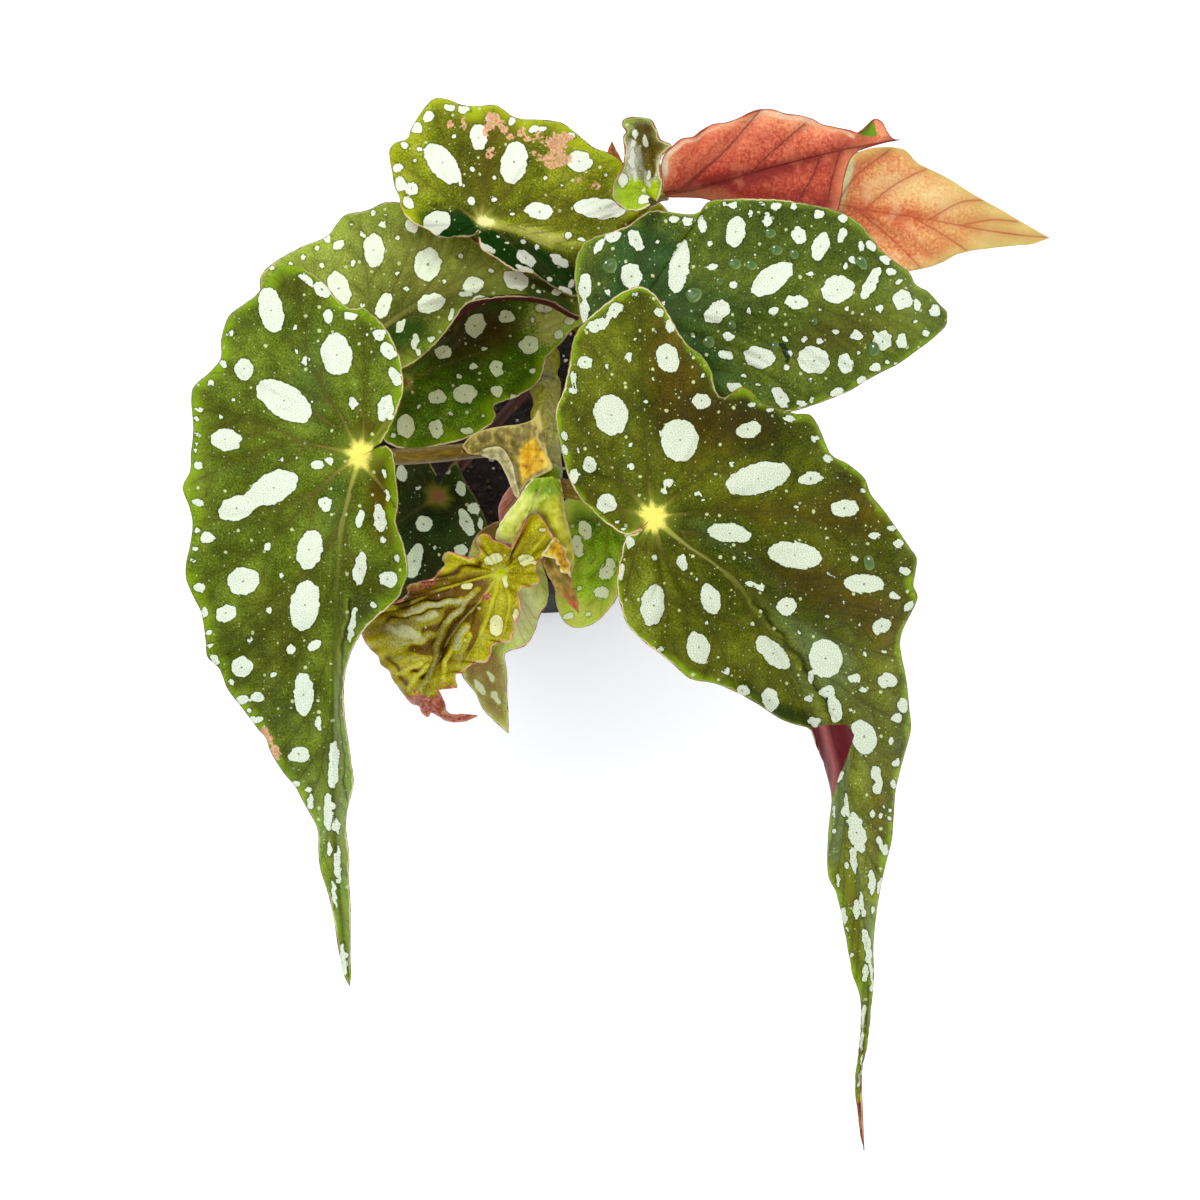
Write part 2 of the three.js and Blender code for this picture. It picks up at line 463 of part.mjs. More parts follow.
// Stipules: papery sheaths at the nodes, cut clear of the stems that they wrap
const STIPULES = {
  stipule_old: {
    near: ['cane_front'], stalks: ['leaf_left', 'leaf_new', 'leaf_front', 'leaf_hanging'],
    columns: 3, arch: 0.12, leftTurn: 2, rightTurn: 2, thick: 0.7,
    rib: [[133, 113, 209], [129, 113.5, 210], [125, 112.5, 208], [120.2, 110, 205]],
    left: [[136, 113, 208], [135.2, 108.2, 208], [134.7, 103.2, 210], [129, 106.6, 208],
      [123, 107.6, 206]],
    right: [[136.6, 116, 209], [133, 120, 211], [129.2, 122.4, 211], [127.5, 118.6, 209],
      [125.2, 114.6, 207], [122, 112.4, 205]],
  },
  stipule_new_left: {
    near: ['cane_front'], stalks: ['leaf_front', 'leaf_new'],
    columns: 2, arch: 0.1, leftTurn: 2, rightTurn: 1, thick: 0.7,
    rib: [[136, 121.5, 219], [132.5, 127, 216], [128.5, 135.5, 211]],
    left: [[133.8, 121.4, 218.4], [130, 124.8, 215], [126, 129.6, 210.5], [124.2, 134.4, 208]],
    right: [[136.8, 124.6, 219.5], [135, 131.5, 218], [131.8, 135.6, 214]],
  },
  stipule_new_right: {
    near: ['cane_front'], stalks: ['leaf_front', 'leaf_new'],
    columns: 2, arch: 0.08, leftTurn: 1, rightTurn: 1, thick: 0.7,
    rib: [[138.6, 122, 220.5], [139.6, 131, 216], [140.6, 141, 209], [144.7, 153, 199]],
    left: [[137, 123.3, 220.5], [137.8, 131, 217.5], [137.2, 138.5, 212.5], [138.9, 145, 206.5],
      [142.4, 150.2, 201]],
    right: [[140.4, 123, 219], [142, 131, 214.5], [143.2, 140.5, 207.5], [144.4, 148, 202]],
  },
  stipule_tip: {
    near: ['cane_right'], stalks: [],
    columns: 2, arch: 0.05, leftTurn: 1, rightTurn: 1, thick: 0.7,
    rib: [[158.6, 51, 176], [156, 45, 176], [153.6, 39, 175.5], [152.9, 35.3, 176]],
    left: [[157.4, 50.4, 176], [154, 44.6, 176], [151.9, 38.8, 175.5]],
    right: [[159.4, 49.6, 176], [157.4, 44, 176], [154.4, 38.2, 175.5]],
  },
};

// A stem with the gap round it, to cut its neighbours clear
function stalkRoom(spec) {
  const room = GAP / Math.cos(Math.PI / STALK_SIDES);
  const wide = spec.stalkRadius.map((radius) => radius + room);
  return stalkSolid({ stalk: spec.stalk, stalkRadius: wide });
}

function stipule(spec) {
  let solid = toSolid(bladeGeometry(spec));
  for (const name of spec.near) solid = solid.subtract(caneRoom(name));
  for (const name of spec.stalks) solid = solid.subtract(stalkRoom(LEAVES[name]));
  return largestPiece(solid);
}

// The holder
function turned(profile, segments) {
  const points = profile.map(([r, z]) => new THREE.Vector2(r, z));
  return new THREE.LatheGeometry([...points, points[0]], segments).rotateX(Math.PI / 2);
}

function wallAt(z) {
  const [low, high] = [POT.base - POT.wall, POT.neck - POT.wall];
  return low + ((high - low) * (z - POT.floor)) / (POT.step - POT.floor);
}

const POT_SIDES = 40;

function pot() {
  const { height, rim, rimWall, step, neck, base, wall, floor } = POT;
  const inside = rim - rimWall;
  const profile = [[0, 0], [base, 0], [neck, step - 1], [rim, step], [rim, height], [inside, height],
    [inside - POT.draft, step + wall], [wallAt(step), step], [base - wall, floor], [0, floor]];
  let solid = toSolid(turned(profile, POT_SIDES));
  for (let k = 0; k < DRAIN.count; k += 1) {
    const turn = (2 * Math.PI * k) / DRAIN.count;
    const hole = new THREE.CylinderGeometry(DRAIN.radius, DRAIN.radius, 4 * floor, DRAIN.sides);
    hole.rotateX(Math.PI / 2).translate(DRAIN.ring * Math.cos(turn), DRAIN.ring * Math.sin(turn), 0);
    solid = solid.subtract(toSolid(hole));
  }
  return solid;
}

function soil() {
  const { rim, rimWall, step, wall, floor, base, draft } = POT;
  const edge = rim - rimWall - draft - GAP;
  const profile = [[0, floor + GAP], [base - wall - GAP, floor + GAP], [wallAt(step) - GAP, step + GAP],
    [edge - GAP, step + wall + GAP], [edge, SOIL.edge], ...SOIL.rings];
  const geometry = turned(profile, POT_SIDES);
  const place = geometry.getAttribute('position');
  for (let i = 0; i < place.count; i += 1) {
    const [x, y, z] = [place.getX(i), place.getY(i), place.getZ(i)];
    const [across, along] = [x, y].map((distance) => (2 * Math.PI * distance) / SOIL.lumpLength);
    const lump = SOIL.lumps * Math.sin(across) * Math.cos(along);
    if (z > SOIL.edge) place.setZ(i, z + lump);
  }
  let solid = toSolid(geometry);
  for (const name of Object.keys(CANES)) solid = solid.subtract(caneRoom(name));
  return solid;
}

const LEAF_LOOK = { color: 0x4f6424, roughness: 0.35, metalness: 0 };
const LOOKS = {
  pot: { color: 0x141414, roughness: 0.5, metalness: 0 },
  soil: { color: 0x2b2019, roughness: 0.95, metalness: 0 },
  cane_front: { color: 0x6b6a3a, roughness: 0.5, metalness: 0 },
  cane_right: { color: 0x67693c, roughness: 0.5, metalness: 0 },
  cane_left: { color: 0x67693c, roughness: 0.5, metalness: 0 },
  leaf_pale: { color: 0x7b8b3c, roughness: 0.4, metalness: 0 },
  leaf_low: { color: 0x22331a, roughness: 0.4, metalness: 0 },
  leaf_new: { color: 0xa3a52c, roughness: 0.35, metalness: 0 },
  leaf_hanging: { color: 0x9db388, roughness: 0.4, metalness: 0 },
  leaf_turned_red: { color: 0xb4503f, roughness: 0.45, metalness: 0 },
  leaf_turned_pale: { color: 0xe3a468, roughness: 0.45, metalness: 0 },
  stipule_old: { color: 0xb58a35, roughness: 0.6, metalness: 0 },
  stipule_new_left: { color: 0xc5cf7c, roughness: 0.5, metalness: 0 },
  stipule_new_right: { color: 0xb9b65a, roughness: 0.5, metalness: 0 },
  stipule_tip: { color: 0x9a5a2c, roughness: 0.6, metalness: 0 },
};

addPiece('pot', pot(), LOOKS.pot);
addPiece('soil', soil(), LOOKS.soil);
for (const [name, spec] of Object.entries(CANES)) addPiece(name, cane(spec), LOOKS[name]);
for (const [name, spec] of Object.entries(LEAVES)) addPiece(name, leaf(spec), LOOKS[name] ?? LEAF_LOOK);
for (const [name, spec] of Object.entries(STIPULES)) addPiece(name, stipule(spec), LOOKS[name]);

export default plant;
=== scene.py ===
"""Looks of the potted polka dot begonia. Lengths are in millimetres, which make_mesh turns into metres."""
import math

import bmesh
import bpy
import numpy as np
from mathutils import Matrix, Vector


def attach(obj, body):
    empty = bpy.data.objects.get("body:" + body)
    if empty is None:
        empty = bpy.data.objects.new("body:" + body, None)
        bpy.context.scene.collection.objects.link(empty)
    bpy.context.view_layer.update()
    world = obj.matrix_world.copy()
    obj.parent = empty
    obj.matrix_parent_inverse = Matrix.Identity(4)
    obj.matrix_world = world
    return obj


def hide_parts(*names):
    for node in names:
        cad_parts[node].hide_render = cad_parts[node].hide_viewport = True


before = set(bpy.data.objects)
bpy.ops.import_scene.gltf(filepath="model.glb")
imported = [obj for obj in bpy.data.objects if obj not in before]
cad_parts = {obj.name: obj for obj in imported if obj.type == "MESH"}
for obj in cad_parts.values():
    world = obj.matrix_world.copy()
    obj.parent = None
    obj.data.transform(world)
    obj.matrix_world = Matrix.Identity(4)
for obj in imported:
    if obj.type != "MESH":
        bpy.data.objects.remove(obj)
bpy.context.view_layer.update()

# The plan sheet, which the solids were drawn on too. Leaves are drawn on it as they are seen from EYE,
# x to the right and y downward, and a drawn point gets its height by moving along its line of sight.
ELEVATION = math.radians(75)
DISTANCE = 850.0
SHEET = 300.0
CENTRE = np.array([17.4, -96.3, 215.0])
RIGHT = np.array([1.0, 0.0, 0.0])
UP = np.array([0.0, math.sin(ELEVATION), math.cos(ELEVATION)])
BACK = np.cross(RIGHT, UP)
EYE = CENTRE + DISTANCE * BACK
GAP = 0.3
SENSOR = 36.0
MM = 0.001  # metres in a millimetre


def lift(points):
    """Sheet points (x, y, height) as places in the shared frame."""
    p = np.atleast_2d(np.asarray(points, float))
    place = CENTRE + (p[:, :1] - SHEET / 2) * RIGHT + (SHEET / 2 - p[:, 1:2]) * UP
    ratio = (p[:, 2:3] - EYE[2]) / (place[:, 2:3] - EYE[2])
    return EYE + (place - EYE) * ratio


def pairs(text):
    """Numbers written as 'a,b c,d ...' as an array of rows."""
    rows = [[float(v) for v in word.split(",")] for word in text.split()]
    width = max(map(len, rows))
    return np.array([row + [0.0] * (width - len(row)) for row in rows])


# Camera, at the photograph's angle
def make_camera():
    data = bpy.data.cameras.new("camera")
    data.sensor_width = SENSOR
    data.lens = SENSOR * DISTANCE / SHEET
    data.clip_start, data.clip_end = 0.05, 20
    camera = bpy.data.objects.new("camera", data)
    bpy.context.scene.collection.objects.link(camera)
    camera.location = Vector(EYE * MM)
    camera.rotation_mode = "QUATERNION"
    camera.rotation_quaternion = Vector(-BACK).to_track_quat("-Z", "Y")
    bpy.context.scene.camera = camera


make_camera()

CANES = {
  "cane_front": {
    "path": [[0.6, 15.5, 70], [1, 12.6, 90], [1.5, 3.5, 108], [2.6, -22, 148], [3.9, -46, 188],
             [4.8, -67, 221]],
    "radius": [3.9, 3.1], "nodes": [0.22, 0.42, 0.6, 0.78, 0.95],
  },
  "cane_right": {
    "path": [[10.5, 21.5, 70], [12, 22, 90], [16.5, 22.6, 120], [21.8, 23.2, 150], [30.4, 24.4, 196]],
    "radius": [3.7, 1.7], "nodes": [0.25, 0.5, 0.68, 0.83],
  },
  "cane_left": {
    "path": [[-11, 23.5, 70], [-12, 24, 90], [-13.6, 25, 125], [-15.6, 26, 164]],
    "radius": [3.6, 2.9], "nodes": [0.3, 0.6, 0.92],
  },
}

LEAVES = {
  "leaf_left": {
    "arch": 0.05, "wave": 0.8, "leftTurn": 17, "rightTurn": 3,
    "rib": [[90.1, 113.8, 225], [86, 128, 224], [84.2, 145, 221], [83.3, 162, 215], [83, 180, 205],
      [83.3, 200, 193], [84.6, 222, 174], [87.4, 246.6, 150]],
    "left": [[95.5, 110.6, 224], [99.7, 101.7, 222], [100.7, 94, 219], [97.8, 84.4, 216], [92.6, 78.3, 214],
      [87.2, 77, 214], [81.7, 71.5, 211], [75.3, 66.9, 208], [69.6, 66.7, 206], [64.4, 73.5, 207],
      [57.4, 78.9, 205], [55.3, 87.5, 206], [52.9, 92.7, 206], [47.9, 98.5, 204], [48.2, 109, 206],
      [45.8, 121.9, 204], [48.2, 130.5, 205], [46.6, 142, 202], [50.3, 152.9, 200], [51.9, 164.1, 196],
      [57.1, 172.4, 193], [64.4, 182, 189], [68.5, 188.5, 187], [74, 196.8, 183], [79.5, 207.4, 178],
      [80.1, 216.7, 173], [83.7, 230.8, 163], [86.2, 243, 153]],
    "right": [[95.2, 111.9, 223], [97.8, 112.6, 221], [99.2, 121.5, 216], [98.9, 129.6, 214],
      [100.7, 135.6, 211], [101.9, 143.3, 208], [99.7, 149.1, 206], [93.3, 154.9, 203], [88, 162, 199],
      [85.9, 172, 191], [86.8, 184, 184], [88.3, 195.8, 178], [86.5, 206, 173], [87.1, 218, 167],
      [87.6, 232, 158], [87.6, 243, 152]],
    "stalk": [[134, 111, 190], [120, 112.4, 198], [106, 113.8, 208], [94, 114.2, 221], [90.1, 113.8, 224]],
    "stalkRadius": [2.4, 2.1],
  },
  "leaf_front": {
    "arch": 0.06, "wave": 0.9, "leftTurn": 21, "rightTurn": 8,
    "rib": [[163.3, 129.3, 238], [171.7, 136.6, 238], [177.8, 140.4, 237], [184, 145.7, 235],
      [193.1, 158, 229], [203.9, 170.2, 219], [210.9, 182, 208], [211.2, 198, 192], [213.4, 213, 178],
      [216.2, 232, 160], [216.9, 249, 143], [215.4, 268, 128], [216, 287.6, 114]],
    "left": [[158.8, 131.5, 237], [155, 133.1, 235], [148.8, 128.2, 232], [143.4, 122.4, 230],
      [140.7, 113.6, 229], [139.2, 104, 228], [141.9, 93.7, 228], [143.6, 84.5, 226], [151.8, 75.7, 224],
      [160.2, 71.7, 222], [165.5, 76, 223], [169.8, 84, 225], [176.8, 91.5, 225], [179, 97.9, 226],
      [182.4, 98.7, 226], [186.5, 96.8, 224], [191, 101.2, 223], [198.5, 103.4, 220], [203.5, 104.8, 217],
      [206.9, 112.4, 215], [216.1, 119.7, 209], [220.7, 127.4, 206], [229.1, 139.6, 199],
      [228.7, 149.2, 196], [224.9, 160.3, 194], [226.4, 169.5, 189], [227.6, 182.3, 183],
      [223.9, 197, 176], [222.8, 210.2, 168], [219.9, 222.7, 160], [218.2, 237.4, 150], [217.7, 252, 140],
      [216.2, 267.4, 130], [216.2, 280, 120]],
    "right": [[159.9, 132.8, 237], [157.4, 136.5, 234.6], [155.6, 139.2, 232], [154.3, 146.5, 227],
      [157.2, 156.5, 223], [161.8, 161, 220], [167.9, 165.6, 217], [172.5, 169.5, 215],
      [179.4, 171, 214], [184.7, 173.3, 212], [190.1, 176.4, 210], [196.2, 180.2, 207],
      [202.6, 182.4, 203], [204.2, 186.5, 195], [206.3, 191.9, 189], [208, 199.2, 184],
      [207.2, 207, 179], [207.3, 217, 170], [209.4, 224, 165], [212, 236, 154], [214.8, 247, 144],
      [214.9, 257, 136], [213.8, 270, 127], [214.8, 281, 119]],
    "stalk": [[138, 121.5, 215], [148, 123.5, 222], [158, 127, 232], [163.3, 129.3, 237]],
    "stalkRadius": [2.5, 2.2],
  },
  "leaf_right": {
    "arch": 0.02, "wave": 0.5, "leftTurn": 10, "rightTurn": 5,
    "rib": [[155, 83, 200], [168, 79, 203], [182, 76.5, 204], [196, 76, 203], [210, 77, 200],
      [224, 78.3, 193], [236.8, 79.2, 180]],
    "left": [[151, 86.5, 199], [147, 85, 197], [145, 79, 196], [143.7, 70.4, 195], [144.6, 63.5, 195],
      [148.4, 59.4, 195], [157.1, 56.4, 196], [163, 52.9, 197], [169.8, 53.4, 198], [174.4, 53.2, 198],
      [177.6, 50.3, 197], [188.6, 49.7, 197], [202, 51, 196], [212, 54, 193], [218, 59.7, 191],
      [224.1, 65.8, 188], [228.8, 71.1, 185], [234.8, 76.1, 181]],
    "right": [[152.5, 88.5, 199], [158, 95, 198], [168, 100.5, 197], [180, 103.8, 196], [188, 104.6, 195],
      [195.5, 103.2, 194], [199.3, 102.6, 193], [205.3, 100.6, 192], [212, 97.9, 190],
      [218.7, 93.9, 188], [224.1, 91.2, 186], [228.8, 87.9, 184], [234.1, 83.8, 182]],
    "stalk": [[154.8, 59.5, 155], [156.6, 66, 163], [157, 73, 174], [156, 79, 188], [155, 83, 199]],
    "stalkRadius": [2.2, 2],
  },
  "leaf_back": {
    "arch": 0.03, "wave": 0.8, "leftTurn": 15, "rightTurn": 3,
    "rib": [[120, 55.7, 190], [129.4, 57.9, 191], [138.2, 61.5, 191], [146, 63.3, 189.5], [156, 64, 186.5],
      [168, 64.5, 181], [178, 64, 175]],
    "left": [[119.2, 57.2, 189], [114.1, 59.4, 187], [108.4, 58.5, 186], [103.3, 55.9, 185],
      [100, 50.5, 184], [98.3, 44, 183], [97.3, 38, 182], [101.8, 34.7, 182], [104.3, 29.7, 180],
      [108.9, 24.6, 178], [115.1, 26.2, 178], [122.5, 26.2, 178], [129, 29.6, 180], [138.2, 30.3, 180],
      [146.4, 35.4, 181], [154.1, 39.5, 181], [155.9, 42.2, 181.5], [155.9, 48.5, 183],
      [157.8, 52.3, 184], [161.2, 51.9, 184], [163.2, 51.2, 183], [164.6, 50.9, 182.5],
      [169, 55.5, 180], [175, 60, 177]],
    "right": [[119.8, 59, 188.5], [121.2, 63.1, 186], [127.9, 67.4, 183], [132.5, 68.2, 182],
      [138, 71.7, 180], [143.8, 74.1, 179], [150, 72.3, 178.5], [158, 69.4, 178], [168, 67.2, 176.5]],
    "stalk": [[120.3, 54.5, 160], [120.3, 53, 172], [120.1, 54.5, 183], [120, 55.7, 189]],
    "stalkRadius": [2.2, 2],
  },
  "leaf_pale": {
    "arch": 0.02, "wave": 0.5, "leftTurn": 10, "rightTurn": 4,
    "rib": [[93, 84, 176], [105, 76, 177], [118, 72, 177], [132, 71.3, 175], [143, 75, 171.5],
      [150, 78.5, 168.5]],
    "left": [[87.5, 87.5, 175], [78, 87, 172], [69, 82, 169], [66, 76, 167.5], [65.2, 69.2, 167],
      [68.5, 65.7, 167], [75.8, 61.6, 167], [81.9, 59, 168], [86, 54, 168], [91.5, 52.7, 169],
      [96.6, 50.6, 170], [100.6, 50.9, 170.5], [107, 54, 172], [114, 57.5, 173], [121, 61.5, 173],
      [130, 65.5, 173], [139, 70, 172], [146.5, 75.3, 170]],
    "right": [[91.5, 89, 175], [96, 91.8, 174], [100.5, 92.2, 173.5], [104.7, 89.9, 173],
      [109.3, 85.6, 172], [113.4, 80.4, 171], [116.5, 76.1, 170.5], [121, 74.8, 170],
      [130.7, 74.2, 169.5], [137.5, 75.3, 168.8], [144.8, 79.2, 168]],
    "stalk": [[120.8, 57.6, 149], [114, 63, 156], [105, 71, 166], [97, 80, 173], [93, 84, 175]],
    "stalkRadius": [2.2, 1.9],
  },
  "leaf_inner": {
    "arch": 0.03, "wave": 0.5, "leftTurn": 4, "rightTurn": 5,
    "rib": [[101.3, 95.6, 152], [112, 91, 153], [124, 87, 151], [136, 82.5, 147], [146, 79.5, 143],
      [154, 78.6, 140]],
    "left": [[98.5, 93, 151], [97, 88, 149], [100, 81, 147], [108, 76, 146], [118, 72, 145],
      [130, 70.5, 145], [140, 71.8, 144], [148, 75, 142]],
    "right": [[98.4, 97.6, 151], [95.5, 104, 149], [96, 110, 147], [102.5, 112.6, 146], [110, 111.4, 146],
      [117.4, 109.3, 146], [122.6, 106.2, 146], [124, 104.1, 146], [123.3, 101.7, 146.5],
      [129.5, 99.1, 146], [134.6, 95.6, 145], [136.2, 91.5, 144.5], [136.6, 89.4, 144.5],
      [139.9, 86.2, 143.5], [144.3, 81.5, 142], [149, 80.7, 141]],
    "stalk": [[136.4, 94.5, 122], [128, 94, 128], [115, 95, 138], [106, 96, 147], [101.3, 95.6, 151]],
    "stalkRadius": [2.1, 1.8],
  },
  "leaf_low": {
    "arch": 0.04, "wave": 0.5, "leftTurn": 3, "rightTurn": 5,
    "rib": [[109.4, 124.2, 122], [98, 132, 123], [86, 142, 119], [74, 151, 111], [60, 160, 101]],
    "left": [[109.2, 118.8, 121], [106.5, 114.5, 120], [98, 113, 118], [89, 115, 116], [81, 120, 114],
      [74, 129, 111], [67, 141, 107], [62, 151, 103]],
    "right": [[111.2, 118.9, 121.5], [113.6, 115.2, 121], [116.4, 120.5, 120], [119.2, 125.1, 118.5],
      [122, 132.4, 117], [121.5, 141, 115], [115, 148, 113], [104, 151.5, 111], [94, 152.5, 109],
      [82, 157.5, 105], [69, 161, 102]],
    "stalk": [[136.2, 92, 107], [130.5, 98.8, 110], [120, 110.5, 116], [112, 120.5, 120],
      [109.4, 124.2, 121.2]],
    "stalkRadius": [2, 1.7],
  },
  "leaf_tucked": {
    "arch": 0.03, "wave": 0.4, "leftTurn": 2, "rightTurn": 12,
    "rib": [[152, 130, 183], [162, 138, 182], [172, 146, 179], [182, 155.5, 173], [190, 164, 166]],
    "left": [[153.5, 126, 182.5], [160, 124, 181], [170, 130, 179], [180, 140, 175], [187, 152, 170]],
    "right": [[150, 126.8, 182], [144, 123.5, 179], [140, 127, 177], [138.6, 135, 176], [138, 142, 175],
      [138.7, 148.1, 174], [139.5, 152.4, 173], [141.5, 155.8, 172], [144.5, 157, 172],
      [149, 155.5, 172], [153, 151.3, 173], [156, 147.5, 174], [163, 148, 174], [172, 153, 172],
      [182, 160, 169]],
    "stalk": [[137, 109, 179], [144, 111.5, 180], [150, 119, 180.5], [152, 126, 181], [152, 130, 182]],
    "stalkRadius": [2, 1.8],
  },
  "leaf_new": {
    "arch": 0.05, "wave": 0.8, "leftTurn": 11, "rightTurn": 6,
    "rib": [[125.3, 143, 200], [121, 149, 198], [115, 156, 192], [110, 164, 186], [107, 172, 179],
      [109.5, 177.8, 173], [119.5, 179, 170]],
    "left": [[126.9, 136.2, 206], [126.1, 134.9, 207], [122.9, 134.5, 206.5], [121.2, 133.7, 206],
      [119.5, 134.5, 204.5], [119.8, 137.9, 202], [116.4, 140, 200.5], [112.4, 139.6, 200],
      [110.7, 140, 199], [108.6, 143.9, 197], [101.7, 146.9, 194], [96.5, 151.5, 191],
      [90.5, 158, 186], [92, 161, 184], [95, 165.1, 181], [97.4, 168.1, 178], [98.6, 171.8, 176],
      [101.1, 174.8, 174], [104.1, 176.6, 172], [107.1, 179, 171], [113.2, 180.4, 170]],
    "right": [[128.8, 136.6, 206.5], [132.2, 130.9, 212], [133.8, 128.2, 214], [136.8, 131.2, 213],
      [138.4, 136, 211], [134.4, 140.9, 208], [135.3, 144.5, 204], [133.8, 146.6, 202],
      [129.5, 147.5, 200], [129.8, 150.6, 198], [130.1, 155.4, 195], [128.3, 159.7, 192],
      [123.5, 161.5, 190], [122.9, 165.7, 186], [115, 168.1, 183], [113.8, 171.5, 179],
      [110.4, 172.2, 177], [110.7, 175.6, 174]],
    "stalk": [[135.5, 118.5, 210], [130, 121.5, 205], [126.4, 126.6, 200], [126.6, 133, 197],
      [125.4, 142.6, 199.4]],
    "stalkRadius": [2, 1.7],
  },
  "leaf_hanging": {
    "arch": 0.03, "wave": 0.4, "leftTurn": 2, "rightTurn": 3,
    "rib": [[127, 137, 180], [127.5, 150, 178], [125.5, 163, 171], [124.6, 174, 161], [127.1, 183.3, 151]],
    "left": [[125.2, 133.8, 179], [119.5, 137, 177], [115, 146, 174], [112.5, 156, 170], [113, 163, 167],
      [115.6, 168.1, 164], [119.2, 173.6, 159], [121.7, 177.8, 155]],
    "right": [[128.6, 133.6, 179], [133.5, 136.5, 178], [136.8, 144.5, 175], [137.1, 148.1, 174],
      [136.2, 151.8, 173], [134.4, 156.6, 171], [131.3, 161.5, 168], [127.2, 163.8, 166],
      [126.4, 168.7, 163], [126.6, 175, 157]],
    "stalk": [[136.6, 104.5, 170], [133, 112, 173], [129, 122, 177], [127, 131, 179], [127, 137, 179.2]],
    "stalkRadius": [1.8, 1.6],
  },
  "leaf_cupped": {
    "arch": -0.03, "leftTurn": 5, "rightTurn": 2,
    "rib": [[161, 47.3, 201.5], [160.8, 42, 202.5], [160.5, 36, 206], [159.7, 29.2, 211]],
    "left": [[162.6, 51.4, 201], [160.2, 52.3, 200], [157.2, 52.4, 200], [154.3, 51, 201],
      [153, 47.7, 203], [153.5, 45.1, 205], [156.1, 41.5, 208], [156.4, 37.4, 210], [155.6, 33.3, 211],
      [156, 29.9, 212]],
    "right": [[164.3, 50.4, 201], [165.5, 46.7, 204], [165, 41.5, 207], [166.2, 38, 208],
      [165.2, 34.4, 210], [163.6, 31, 211]],
    "stalk": [[162.1, 45, 194], [161.7, 46.3, 198], [161, 47.3, 201]],
    "stalkRadius": [1.5, 1.4],
  },
  "leaf_turned_red": {
    "arch": 0.03, "wave": 0.6, "leftTurn": 6, "rightTurn": 1,
    "rib": [[166.4, 48.3, 184], [178, 46, 186], [192, 42, 187], [208, 38, 185], [224.9, 34.9, 180]],
    "left": [[165.5, 45.5, 186], [165.3, 40, 190], [167, 37.2, 192], [170.7, 34.4, 193.5],
      [178.3, 31.2, 195], [184.7, 29.4, 195.5], [191, 27.4, 195.5], [197.5, 28.2, 194],
      [206.2, 31.2, 191], [212, 32.4, 188], [218.5, 33.9, 184]],
    "right": [[165.8, 49.1, 183.6], [168, 49.4, 183.2], [176, 49.6, 182], [185, 53, 181], [196, 56.5, 180],
              [205, 56, 179],
      [209.4, 52.5, 179.5], [211, 44.7, 182], [213.2, 38.8, 183], [219.7, 36, 182]],
    "stalk": [[158.8, 53, 170], [161.5, 50.6, 176], [164.5, 49, 181], [166.4, 48.3, 183.4]],
    "stalkRadius": [2, 1.8],
  },
  "leaf_turned_pale": {
    "arch": 0.03, "wave": 0.6, "leftTurn": 4, "rightTurn": 4,
    "rib": [[177, 54.5, 168], [190, 52, 171], [209, 51.2, 170], [216, 52.5, 169], [232, 55, 163],
      [252, 58.5, 155], [262.4, 59.5, 150]],
    "left": [[176, 51.8, 168.5], [182, 46, 170], [192, 42, 171], [204, 40, 171], [212, 38.7, 171],
      [219, 36.9, 170], [226.1, 37.5, 167], [229.3, 40.7, 165], [235.7, 43.9, 163], [242.8, 48.3, 160],
      [249.2, 51.9, 157], [256, 55.9, 153]],
    "right": [[178, 57.6, 167.5], [184, 61, 167], [194, 65, 167], [207, 67.5, 167], [219, 68.6, 166],
      [228.5, 67.6, 164], [234.9, 65.9, 161], [239.6, 63.5, 159], [251.6, 61.6, 154],
      [258, 61, 151.5]],
    "stalk": [[155, 62.5, 142], [162, 59, 150], [171, 56, 162], [177, 54.5, 167.2]],
    "stalkRadius": [2, 1.8],
  },
}

